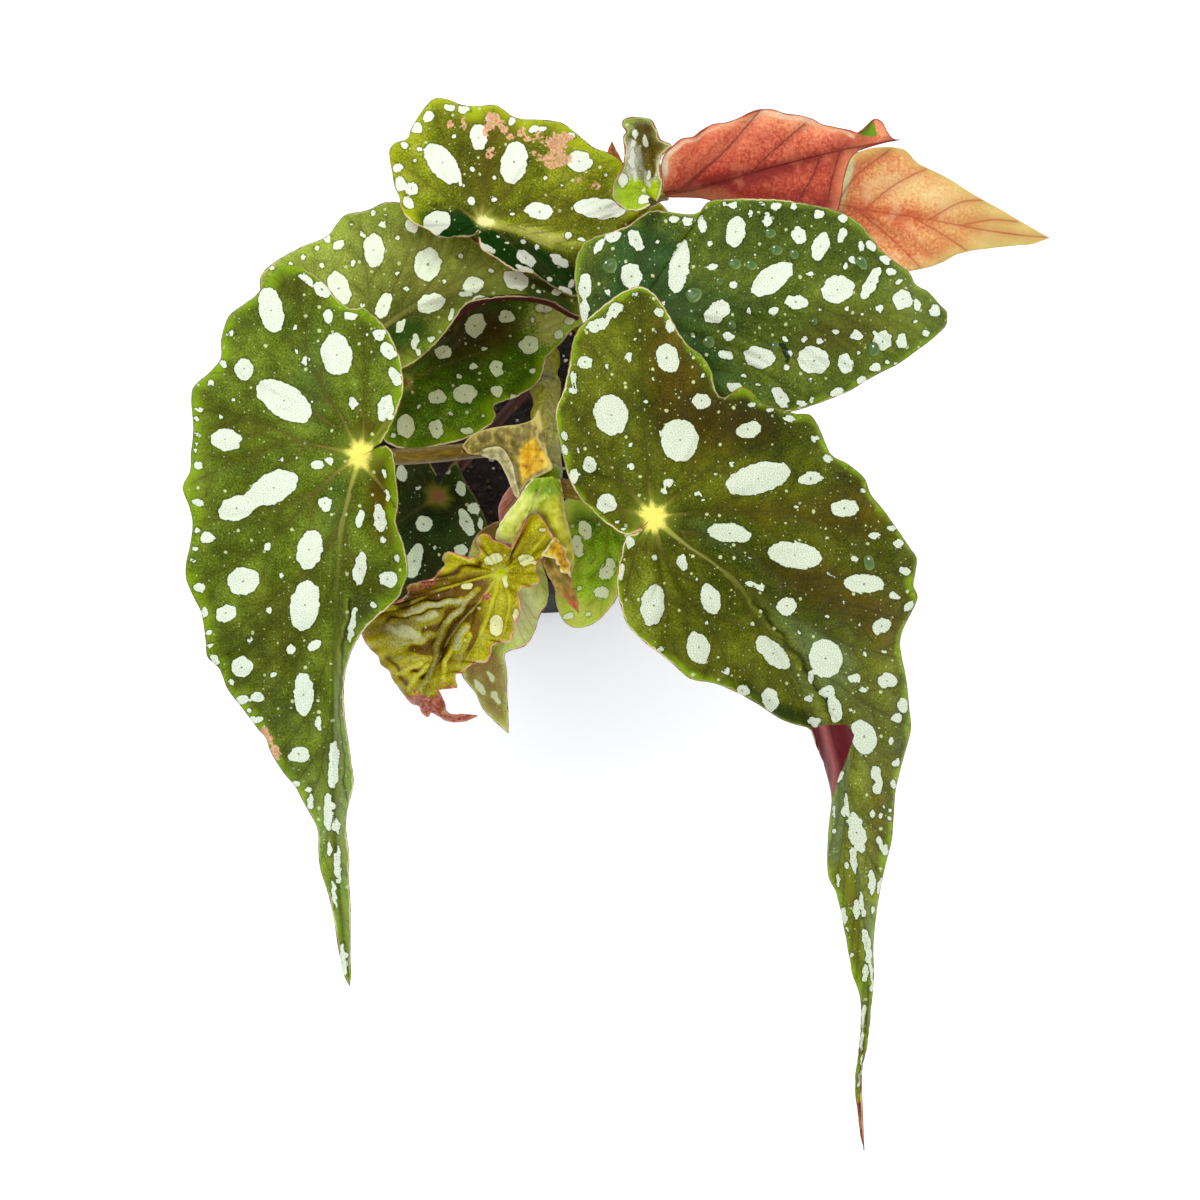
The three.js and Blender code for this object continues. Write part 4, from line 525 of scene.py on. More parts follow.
# Curves
def spline(points, steps=14):
    """A smooth centripetal curve through the points, the kind that the solids are drawn with."""
    p = np.asarray(points, float)
    p = np.vstack([2 * p[0] - p[1], p, 2 * p[-1] - p[-2]])
    u = np.linspace(0, 1, steps, endpoint=False)[:, None]
    pieces = []
    for a, b, c, d in zip(p[:-3], p[1:-2], p[2:-1], p[3:]):
        t1 = max(np.linalg.norm(b - a) ** 0.5, 1e-4)
        t2 = t1 + max(np.linalg.norm(c - b) ** 0.5, 1e-4)
        t3 = t2 + max(np.linalg.norm(d - c) ** 0.5, 1e-4)
        t = t1 + (t2 - t1) * u
        ab = a + (b - a) * (t / t1)
        bc = b + (c - b) * ((t - t1) / (t2 - t1))
        cd = c + (d - c) * ((t - t2) / (t3 - t2))
        abc = ab + (bc - ab) * (t / t2)
        bcd = bc + (cd - bc) * ((t - t1) / (t3 - t1))
        pieces.append(abc + (bcd - abc) * ((t - t1) / (t2 - t1)))
    return np.vstack(pieces + [p[-2:-1]])


def arcs(line):
    return np.concatenate([[0], np.cumsum(np.linalg.norm(np.diff(line, axis=0), axis=1))])


def resample(line, count):
    """Points an even way apart along a line, both ends included."""
    arc = arcs(line)
    at = np.linspace(0, arc[-1], count)
    return np.column_stack([np.interp(at, arc, line[:, k]) for k in range(line.shape[1])])


def to_line(points, line, start=None, end=None):
    """Distance of 2-D points to a line of segments, and on which side of it they lie."""
    a, b = (line[:-1], line[1:]) if start is None else (start, end)
    best = np.full(len(points), 1e9)
    side = np.ones(len(points))
    for (ax, ay), (bx, by) in zip(a, b):
        dx, dy = bx - ax, by - ay
        px, py = points[:, 0] - ax, points[:, 1] - ay
        t = np.clip((px * dx + py * dy) / max(dx * dx + dy * dy, 1e-12), 0, 1)
        far = np.hypot(px - t * dx, py - t * dy)
        near = far < best
        best[near] = far[near]
        side[near] = np.sign(dx * py - dy * px)[near]
    return best, side


def smooth_step(value, low, high):
    t = np.clip((value - low) / (high - low), 0, 1)
    return t * t * (3 - 2 * t)


RIPPLE_WAVES = 7


def ripple(x, y, size, seed):
    """A smooth random-looking field between about -1 and 1, with bumps about size across."""
    draw = np.random.default_rng(seed)
    total = np.zeros_like(x)
    for _ in range(RIPPLE_WAVES):
        angle, phase = draw.uniform(0, 2 * math.pi, 2)
        pitch = 2 * math.pi / (size * draw.uniform(0.8, 1.6))
        total += np.sin(pitch * (x * math.cos(angle) + y * math.sin(angle)) + phase)
    return total / (RIPPLE_WAVES / 2)


# Meshes
def make_mesh(name, vertices, tris, quads, slots=None, fields=None, vectors=None, uv=None):
    """A smooth shaded object from triangles and quads; vertices in millimetres."""
    mesh = bpy.data.meshes.new(name)
    tris = np.asarray(tris, np.int32).reshape(-1, 3)
    quads = np.asarray(quads, np.int32).reshape(-1, 4)
    loops = np.concatenate([tris.ravel(), quads.ravel()])
    totals = np.concatenate([np.full(len(tris), 3), np.full(len(quads), 4)]).astype(np.int32)
    starts = np.concatenate([[0], np.cumsum(totals)[:-1]]).astype(np.int32)
    mesh.vertices.add(len(vertices))
    mesh.vertices.foreach_set("co", (np.asarray(vertices) * MM).astype(np.float32).ravel())
    mesh.loops.add(len(loops))
    mesh.loops.foreach_set("vertex_index", loops)
    mesh.polygons.add(len(totals))
    mesh.polygons.foreach_set("loop_start", starts)
    mesh.polygons.foreach_set("use_smooth", np.ones(len(totals), bool))
    if slots is not None:
        mesh.polygons.foreach_set("material_index", np.asarray(slots, np.int32))
    mesh.update(calc_edges=True)
    for key, values in (fields or {}).items():
        mesh.attributes.new(key, "FLOAT", "POINT").data.foreach_set("value", values.astype(np.float32))
    for key, values in (vectors or {}).items():
        data = mesh.attributes.new(key, "FLOAT_VECTOR", "POINT").data
        data.foreach_set("vector", values.astype(np.float32).ravel())
    if uv is not None:
        layer = mesh.uv_layers.new(name="OFBake")
        layer.data.foreach_set("uv", uv.astype(np.float32).ravel())
    mesh.validate()
    thing = bpy.data.objects.new(name, mesh)
    bpy.context.scene.collection.objects.link(thing)
    return thing


def corner_normals(places, tris, quads):
    normals = np.zeros_like(places)
    for faces in (tris, quads):
        if not len(faces):
            continue
        a, b, c = places[faces[:, 0]], places[faces[:, 1]], places[faces[:, -1]]
        cross = np.cross(b - a, c - a)
        for k in range(faces.shape[1]):
            np.add.at(normals, faces[:, k], cross)
    return normals / np.maximum(np.linalg.norm(normals, axis=1, keepdims=True), 1e-12)


# Leaf blades: the same rib, margins, arch and waves as the solids', with finer outlines and relief
STILL = 3
WEB = 0.6  # how far the two lobes are joined beside the notch
WHOLE = ("leaf_new", "stipule_old", "stipule_curl")  # sheets without a notch


def waved(spec, side):
    wave = spec.get("wave", 0)
    points = np.array(spec[side] + [spec["rib"][-1]], float)
    for i in range(STILL, len(points) - 1):
        points[i, 2] += wave if i % 2 else -wave
    return points


def heights_on(coarse, points):
    a, b = coarse[:-1], coarse[1:]
    d = b[:, :2] - a[:, :2]
    result = []
    for p in points:
        t = np.clip(((p - a[:, :2]) * d).sum(1) / np.maximum((d * d).sum(1), 1e-9), 0, 1)
        far = np.linalg.norm(a[:, :2] + t[:, None] * d - p, axis=1)
        k = far.argmin()
        result.append(a[k, 2] + t[k] * (b[k, 2] - a[k, 2]))
    return np.array(result)


def margin(name, spec, side, stations, spacing):
    """The margin as points of its lobe, up to the turn, and of its flank, down to the tip."""
    coarse = waved(spec, side)
    turn = coarse[spec[side + "Turn"], :2]
    if name in OUTLINES:
        fine = pairs(OUTLINES[name][side])
        coarse = np.vstack([np.column_stack([fine, heights_on(coarse, fine)]), coarse[-1:]])
    line = spline(coarse)
    k = np.linalg.norm(line[:, :2] - turn, axis=1).argmin()
    lobe_count = max(3, int(arcs(line[:k + 1])[-1] / spacing))
    return resample(line[:k + 1], lobe_count + 1), resample(line[k:], stations + 1)


class Blade:
    """The sheet of a leaf: its points on the plan sheet, and the faces and rim that join them."""

    def __init__(self, name, spec, stations, columns, spacing):
        self.name = name
        rib = resample(spline(spec["rib"]), stations + 1)
        self.rib = rib
        points, arcs_along = [rib], [np.zeros(len(rib))]
        self.tris, self.quads, edges = [], [], []
        self.outline = []
        tip = stations
        count = len(rib)
        for which, side in enumerate(("left", "right")):
            lobe, flank = margin(name, spec, side, stations, spacing)
            edge = np.vstack([lobe, flank[1:-1]])
            self.outline.append(np.vstack([edge, flank[-1:]]))
            station = np.maximum(0, np.arange(len(edge)) - (len(lobe) - 1))
            start = rib[station]
            reach = np.hypot(*(edge - start)[:, :2].T)
            t = (np.arange(1, columns + 1) / columns)[None, :, None]
            ray = start[:, None, :] + (edge - start)[:, None, :] * t
            ray[:, :, 2] += spec.get("arch", 0) * reach[:, None] * (4 * t * (1 - t))[:, :, 0]
            index = count + np.arange(len(edge) * columns).reshape(len(edge), columns)
            points.append(ray.reshape(-1, 3))
            arcs_along.append(np.repeat(arcs(edge), columns))
            count += index.size
            grid = np.column_stack([station, index])
            self._join(grid, station, tip, which)
            edges.append(index[:, -1])
            if which == 0:
                first = grid[0]
            else:
                last = grid[0]
        self.points = np.vstack(points)
        self.along = np.concatenate(arcs_along)
        web = columns if name in WHOLE else int(WEB * columns)
        self.tris.append(np.array([[first[0], first[1], last[1]]]))
        self.quads.append(np.column_stack([first[1:web], first[2:web + 1], last[2:web + 1], last[1:web]]))
        self.tris = np.vstack(self.tris)
        self.quads = np.vstack(self.quads)
        self.rim = np.concatenate([first[web:], edges[0][1:], [tip], edges[1][1:][::-1], last[web:][::-1]])

    def _join(self, grid, station, tip, which):
        here, following = grid[:-1], grid[1:]
        fan = station[:-1] == station[1:]
        tris = [np.column_stack([here[fan, 0], following[fan, 1], here[fan, 1]])]
        quads = [np.column_stack([here[~fan, 0], following[~fan, 0], following[~fan, 1], here[~fan, 1]])]
        for j in range(1, grid.shape[1] - 1):
            quads.append(np.column_stack([here[:, j], following[:, j], following[:, j + 1], here[:, j + 1]]))
        end = grid[-1]
        tris.append(np.column_stack([end[:-1], np.full(len(end) - 1, tip), end[1:]]))
        for faces, kept in ((tris, self.tris), (quads, self.quads)):
            faces = np.vstack(faces)
            kept.append(faces[:, ::-1] if which else faces)


FEW_VEINS = ("leaf_turned_red", "leaf_turned_pale", "leaf_new", "leaf_cupped")


def auto_veins(blade):
    """Veins where none are listed: they run from the stalk to each lobe, and off the rib in pairs."""
    rib = blade.rib[:, :2]
    lines = []
    if blade.name in FEW_VEINS:
        return lines
    for edge in blade.outline:
        stations = len(rib) - 1
        lobe = len(edge) - stations
        if blade.name not in VEINS:
            for share in (0.25, 0.5, 0.75, 0.97):
                if lobe > 25:
                    lines.append(np.array([rib[0], edge[int(share * lobe), :2]]))
        for share in (0.1, 0.2, 0.31, 0.43, 0.56, 0.69, 0.81):
            k = int(share * stations)
            end = edge[min(lobe + int((share + 0.13) * stations), len(edge) - 1), :2]
            root = rib[k]
            bend = (root + end) / 2 + (rib[min(k + stations // 20, stations)] - root) * 0.8
            lines.append(spline([root, bend, end], 5))
            fork = rib[min(k + stations // 30, stations)] * 0.35 + end * 0.65
            side_end = edge[min(lobe + int((share + 0.06) * stations), len(edge) - 1), :2]
            lines.append(np.array([(root + bend) / 2, fork * 0.4 + side_end * 0.6, side_end]))
    return lines


def forks(line, draw, forked=True):
    """Side veins of one vein."""
    made = []
    line = resample(line, 8)
    total = arcs(line)[-1]
    if total < 14 or not forked:
        return made
    for k in range(2, 7):
        ahead = line[k + 1] - line[k]
        ahead = ahead / max(np.linalg.norm(ahead), 1e-6)
        turn = math.radians(38) * (1 if k % 2 else -1) * draw.uniform(0.8, 1.2)
        way = np.array([ahead[0] * math.cos(turn) - ahead[1] * math.sin(turn),
                        ahead[0] * math.sin(turn) + ahead[1] * math.cos(turn)])
        length = total * draw.uniform(0.14, 0.24)
        made.append(np.array([line[k], line[k] + way * length]))
    return made


def spot_field(points, spots, seed):
    """Signed distance to the nearest spot's edge, negative inside, and the offset from its middle."""
    x = points[:, 0] + 0.28 * ripple(points[:, 0], points[:, 1], 2.6, seed)
    y = points[:, 1] + 0.28 * ripple(points[:, 0], points[:, 1], 2.6, seed + 1)
    best = np.full(len(points), NO_SPOT)
    core = np.full((len(points), 3), FAR_OFF)
    for cx, cy, rx, ry, turn in spots:
        c, s = math.cos(math.radians(turn)), math.sin(math.radians(turn))
        u = ((x - cx) * c + (y - cy) * s) / rx
        v = (-(x - cx) * s + (y - cy) * c) / ry
        k = np.hypot(u, v)
        slope = np.maximum(np.hypot(u / rx, v / ry), 1e-6)
        far = k * (k - 1) / slope
        near = far < best
        best[near] = far[near]
        if min(rx, ry) > 1.4:
            core[near] = np.column_stack([x - cx, y - cy, np.zeros(len(x))])[near]
        else:
            core[near] = FAR_OFF
    return np.clip(best, -10, NO_SPOT), core


def blobs(points, rows):
    """Sum of soft blobs: x, y, half sizes, turn and strength."""
    total = np.zeros(len(points))
    for cx, cy, rx, ry, turn, strength in rows:
        c, s = math.cos(math.radians(turn)), math.sin(math.radians(turn))
        u = ((points[:, 0] - cx) * c + (points[:, 1] - cy) * s) / rx
        v = (-(points[:, 0] - cx) * s + (points[:, 1] - cy) * c) / ry
        total += strength * np.exp(-(u * u + v * v))
    return total


def inside(points, polygon):
    """True for the points inside a polygon."""
    result = np.zeros(len(points), bool)
    x, y = points[:, 0], points[:, 1]
    for (ax, ay), (bx, by) in zip(polygon, np.roll(polygon, -1, axis=0)):
        crosses = ((ay > y) != (by > y)) & (x < (bx - ax) * (y - ay) / ((by - ay) or 1e-9) + ax)
        result ^= crosses
    return result


# Zones of brown (positive) and blue-green (negative) in the blades. Some blue-green zones are painted sheen,
# as in the middle of leaf_left, and some are painted shade, as on the turned-down lobe of leaf_back
TONES = {
    "leaf_left": [(76, 100, 20, 8, 100, -0.45), (80, 90, 16, 6, 80, -0.2), (84, 130, 16, 6, 100, -0.55),
                  (95, 124, 12, 5, 90, 0.9), (60, 108, 12, 8, 0, 0.35), (70, 160, 12, 20, 0, 0.3),
                  (75, 72, 8, 5, 0, 0.4), (92, 108, 6, 5, 0, 0.6), (79, 190, 5, 16, 0, -0.3)],
    "leaf_front": [(168, 96, 8, 20, -10, 1.0), (185, 106, 12, 8, 10, 0.8), (200, 146, 26, 8, 22, 0.9),
                   (214, 128, 10, 10, 0, 0.6), (180, 132.6, 14, 4.4, 20, -0.8), (193, 150, 26, 6, 42, -0.75),
                   (158, 104, 5, 24, 0, -0.35), (205, 168, 10, 10, 0, -0.5), (219, 204, 4, 20, 0, 0.5),
                   (209.4, 203, 1.9, 13, 3, -1.5), (213.6, 228, 2.2, 14, -8, 0.5),
                   (218, 238, 1.6, 14, 0, -1.4), (215.6, 260, 3, 12, 0, -1.2), (148, 126, 8, 6, 40, 0.5),
                   (178, 166, 12, 8, 30, 0.25), (220, 160, 6, 14, 0, 0.4), (190, 128, 22, 5, 0, 0.5)],
    "leaf_right": [(160, 78, 14, 14, 0, -1.0), (176, 92, 16, 8, 20, -0.7), (160, 62, 10, 8, 0, -0.7),
                   (186, 76, 14, 7, 0, -0.5), (200, 68, 20, 7, 20, 0.25), (212, 82, 16, 6, 0, 0.45),
                   (204, 86, 12, 6, 0, 0.35), (196, 98, 12, 5, 0, -0.3)],
    "leaf_back": [(132, 66.5, 14, 5, 24, -1.9), (124, 62.6, 8, 3, 24, -1.0), (140, 72, 8, 3.6, 34, -1.2),
                  (112, 57, 8, 4, 8, -1.6), (124, 34, 12, 8, 0, 0.45), (140, 52, 12, 5, 0, 0.4),
                  (121, 46, 8, 10, 0, 0.4)],
    "leaf_pale": [(118, 72, 16, 5, 0, 0.5), (100, 66, 12, 10, 0, 0.25), (100, 84, 8, 5, 0, -0.7)],
    "leaf_inner": [(120, 82, 13, 7, 0, 0.9), (112, 90, 8, 5, 0, 0.4), (139, 83, 7, 6, 0, -0.3)],
    "leaf_cupped": [(159, 49.4, 9, 4.0, 0, -2.6), (162.4, 38, 1.3, 7, 8, 1.5), (156.2, 31, 0.9, 3, 0, -0.9),
                    (161, 31.5, 4.0, 4.5, 0, 1.7), (157.4, 41, 0.7, 5, 8, 0.5)],
    "leaf_turned_red": [(184, 45.5, 18, 3, -12, 0.8), (202, 40, 14, 1.4, -14, 0.5), (206, 51, 4, 1.4, 0, 1.0),
                        (166, 41, 1.3, 5.5, 4, -1.9), (202, 29.8, 17, 1.5, 8, -1.3)],
    "leaf_turned_pale": [(211.6, 45, 1.0, 8, 12, -1.6), (228, 46, 7, 3, 24, -0.7), (218, 60, 5, 2, 0, -0.6),
                         (216, 51.5, 5, 7, 0, 0.25)],
    "stipule_new_left": [(135.5, 121.4, 4.5, 2.4, 0, 1.3)],
    "stipule_new_right": [(137.5, 121.4, 4.0, 2.4, 0, 1.3), (135.5, 125, 2, 3, 0, 0.4)],
    "stipule_tongue": [(144.6, 153, 2.6, 5.5, -40, 1.1)],
    # The zone of leaf_hanging at y 134 is a painted shadow in the gap beside its stalk.
    "leaf_hanging": [(122.4, 170, 4.6, 8.5, -22, 2.2), (122.6, 134, 3.2, 3.4, 0, 1.8)],
    "leaf_low": [(110, 126, 6, 6, 0, 0.6), (116, 132, 10, 12, 0, -0.6)],
    "leaf_tucked": [(146, 130, 8, 6, 0, -0.6), (145, 150, 8, 6, 0, -0.1)],
    "leaf_new": [(110, 149, 10, 2.6, -16, 1.3), (115.5, 155, 4, 8, 25, 0.9), (107, 162.6, 5, 2.6, -10, 1.1),
                 (105, 168, 2, 2, 0, 0.9), (104.5, 156.6, 7, 3.6, -14, -1.0), (119, 147, 3, 2, -20, 0.5),
                 (128, 138, 5, 2.2, 0, 0.4), (112, 143, 6, 1.5, -20, 0.3)],
}

# Flecks and marks: peach scars, brown edges, and a black mark on leaf_right
SCARS = {
    "leaf_back": [(123.6, 30.4, 2.6, 1.9, 30, 1.15), (121.8, 33, 1.6, 1.4, 0, 0.9),
                  (126, 32.6, 1.1, 0.9, 0, 0.8), (139.4, 37.4, 2.3, 4.6, 8, 1.15),
                  (136.4, 40.4, 2.6, 1.1, 20, 1.0), (136, 35, 1.6, 1.2, 30, 0.9),
                  (141.6, 34.6, 1.6, 1.1, 0, 0.9), (142, 40, 1.6, 1.2, 30, 0.8), (112.5, 31.3, 1, 1, 0, 1),
                  (116, 31, 0.9, 1.8, 0, 1), (122.8, 38.5, 1.5, 1.5, 0, 0.95), (127.6, 34.5, 1.2, 0.9, 0, 1),
                  (130.4, 33.2, 1.0, 1.3, 30, 1), (132.2, 35, 1.6, 0.8, 20, 1), (134.6, 33.6, 0.8, 0.7, 0, 1),
                  (144.2, 45.4, 1.1, 1, 0, 1), (148.8, 46.9, 1.2, 1.3, 0, 1), (133.4, 38.4, 0.7, 0.7, 0, 1)],
    "leaf_left": [(68, 186.4, 1.6, 4.2, -30, 1.1), (66.4, 183.4, 1.4, 1.6, 0, 0.9)],
    "leaf_right": [(196.4, 88.4, 0.8, 2.4, -8, 1.3), (194.6, 86.2, 0.7, 0.5, 0, 1.0)],
    "leaf_front": [(215.2, 281, 3, 7, 0, 1.4)],
    "leaf_new": [(121.4, 149.2, 2.0, 1.3, -20, 0.66), (105, 146.2, 5, 1.4, -22, 1.0),
                 (112, 178.4, 9, 2.6, 8, 1.6), (104, 175, 3, 3, 0, 0.7), (107, 176.6, 3, 2.6, 0, 1.0),
                 (110.4, 174, 1.6, 2.6, 0, 0.9)],
}

# Parts that turn their under side up: the outline of each and the light line along it
FLAPS = {
    "leaf_turned_red": ("214.6,33.6 216.6,31.4 218.2,29.6 219.2,34 217,34.2", "214,36 222,36"),
    "stipule_old": ("130,112.4 132,110.4 133.9,109.2 134.7,111 136.4,113.4 137.2,116 136.4,117.2 133.6,118.4"
                    " 131.4,120 130.6,121 129.9,116.6", "130,110 130,120"),
    "stipule_curl": ("138.4,134 140.4,136 142.2,137.6 143,141 143.2,144.6 140.6,142.4 139.6,140.8 139,139.2 "
                     "138,138",
                     "138,134 142,143"),
    "leaf_front": ("202.4,182.2 205.6,181 211.4,181 213.4,183.6 211.6,189.2 208.9,197.7 207.9,200 205,193 "
                   "203,187",
                   "206,181.5 207.6,187 208.8,192 209,198"),
    "leaf_inner": ("113,80.4 117,76.6 122,74.4 126,73.6 130,73.6 134,74 138,75 142,77 144.8,79.2 144.4,80.2"
                   " 142,79.4 138,77.1 134,75.9 130,75.3 126,75.3 122,75.8 118,77.6 114.4,80.6",
                   "114,79.4 118,76.8 123,75 130,74.6 138,76.2 144,79.4"),
    "leaf_pale": ("115.2,78.4 116,76.2 119,74.4 124,73.6 130,73.3 136,74.2 141,76.4 146,80.2 144,81 138,78 "
                  "133,76"
                  " 128,75.2 122,75.6 118,76.8 116,79.4", "118,76.6 126,75.1 134,76 142,79.4"),
}

# Painted light (positive) and painted shade (negative) on the blades, mostly for how light falls on each
# part: lobes turned down into shade, lit edges, the shadow gap on leaf_hanging, the highlight on the spike of
# stipule_old
PAINTED_LIGHT_AND_SHADE = {
    "leaf_cupped": [(158, 40, 1.4, 4.5, 4, 2.0), (164, 42, 0.8, 4, 0, 1.0), (158, 32, 5, 4, 0, -0.5)],
    "leaf_left": [(86, 168, 3, 14, 0, 0.8), (84, 215, 6, 26, 0, 1.1), (50, 125, 4, 22, 0, 0.8),
                  (96, 118, 5, 12, 0, -0.4), (90, 88, 10, 10, 0, 0.1), (77, 95, 7, 11, 0, 0.45),
                  (70, 77, 8, 8, 0, -0.4), (76, 158, 8, 12, 0, -0.25), (60, 108, 10, 5, -10, -0.3)],
    "leaf_front": [(184, 104, 20, 9, 10, -1.0), (187, 138, 20, 7, 25, -0.9), (150, 92, 8, 14, 0, 0.4),
                   (158, 152, 8, 12, 0, 0.9), (214, 222, 6, 26, 0, 1.4), (217.6, 240, 1.6, 16, 0, 1.6),
                   (215.4, 264, 2, 12, 0, 2.0), (222, 168, 4, 12, 0, 0.4), (212, 122, 12, 10, 20, -0.4),
                   (205, 174, 10, 10, 0, 0.7), (217, 195, 5, 10, 0, 0.5)],
    "leaf_right": [(156, 78, 10, 16, 0, -0.6), (176, 92, 16, 6, 20, -0.5), (226, 78, 8, 8, 0, 0.7),
                   (182, 60, 24, 8, 0, -0.35), (190, 53, 14, 4, 0, -0.45), (195, 94, 16, 6, 10, 0.3),
                   (215, 82, 12, 8, 0, 0.3)],
    "leaf_back": [(104, 38, 6, 12, 0, 0.9), (146, 44, 8, 8, 0, 0.7), (113, 56.6, 7, 3.6, 8, -3.2),
                  (131, 65.4, 14, 5.0, 23, -3.0), (124, 62.6, 6, 2.6, 24, -1.8),
                  (141, 70.6, 6, 3.4, 34, -1.0), (134, 58.4, 10, 1.2, 15, 2.4), (116, 44, 8, 10, 0, -0.4),
                  (140, 55, 10, 4, 0, 0.3)],
    "leaf_pale": [(74, 66, 14, 12, 0, 1.0), (92, 54, 12, 5, 0, 0.6), (100, 84, 10, 6, -20, -1.3),
                  (118, 66, 14, 6, 8, 1.6), (138, 75.4, 7, 2.6, 28, -2.6), (134.6, 71.6, 5, 2.6, 28, -1.8),
                  (92, 72, 10, 8, 0, 0.1)],
    "leaf_inner": [(122, 84, 12, 6, 0, -0.6), (104, 107, 10, 5, 0, 0.7), (140, 82, 9, 7, 0, 3.0),
                   (122, 102, 8, 5, 0, 0.3)],
    "leaf_low": [(110, 134, 14, 14, 0, -0.8)],
    "stipule_old": [(134.9, 104.6, 0.9, 2.4, 0, 3.5), (137, 115.6, 0.7, 2.6, -20, 2.4),
                    (122, 110.6, 6, 2.4, 0, -0.5)],
    "leaf_tucked": [(146, 154, 9, 4, 0, 1.2), (152, 130, 10, 6, 0, -0.9), (150, 143, 8, 5, 0, 0.5)],
    "leaf_new": [(126, 142, 8, 5, 0, 0.3), (125, 154, 4, 6, 0, 0.4), (97, 163, 4, 5, 0, 0.3),
                 (120, 161, 2.5, 4, 20, 0.7), (113, 141, 6, 2, -15, 0.7), (99, 166, 3, 5, -35, 0.5),
                 (134, 134, 3, 5, 0, 0.4)],
    "leaf_hanging": [(131, 154, 4, 10, 0, 1.6), (120, 169, 1, 3, -30, 0.8), (122.8, 134, 3.2, 3.4, 0, -5.0)],
    "leaf_turned_red": [(196, 30, 22, 3, 6, 1.6), (166, 40, 2.4, 6, 0, 2.2), (180, 35, 14, 6, -10, 0.8),
                        (182, 45.5, 20, 3.4, -12, -1.4), (207, 46, 5, 5, 0, 0.1), (188, 49, 22, 1.8, 0, -1.2),
                        (220, 33, 2.2, 3, 0, 1.6)],
    "leaf_turned_pale": [(230, 48, 12, 5, 24, 0.9), (214, 52, 6, 12, 0, -0.6), (222, 62, 10, 4, 0, 0.5),
                         (218, 46, 5, 4, 0, 0.5), (240, 54, 12, 1.6, 8, -0.7), (225, 54, 8, 1.8, 6, -1.0)],
}
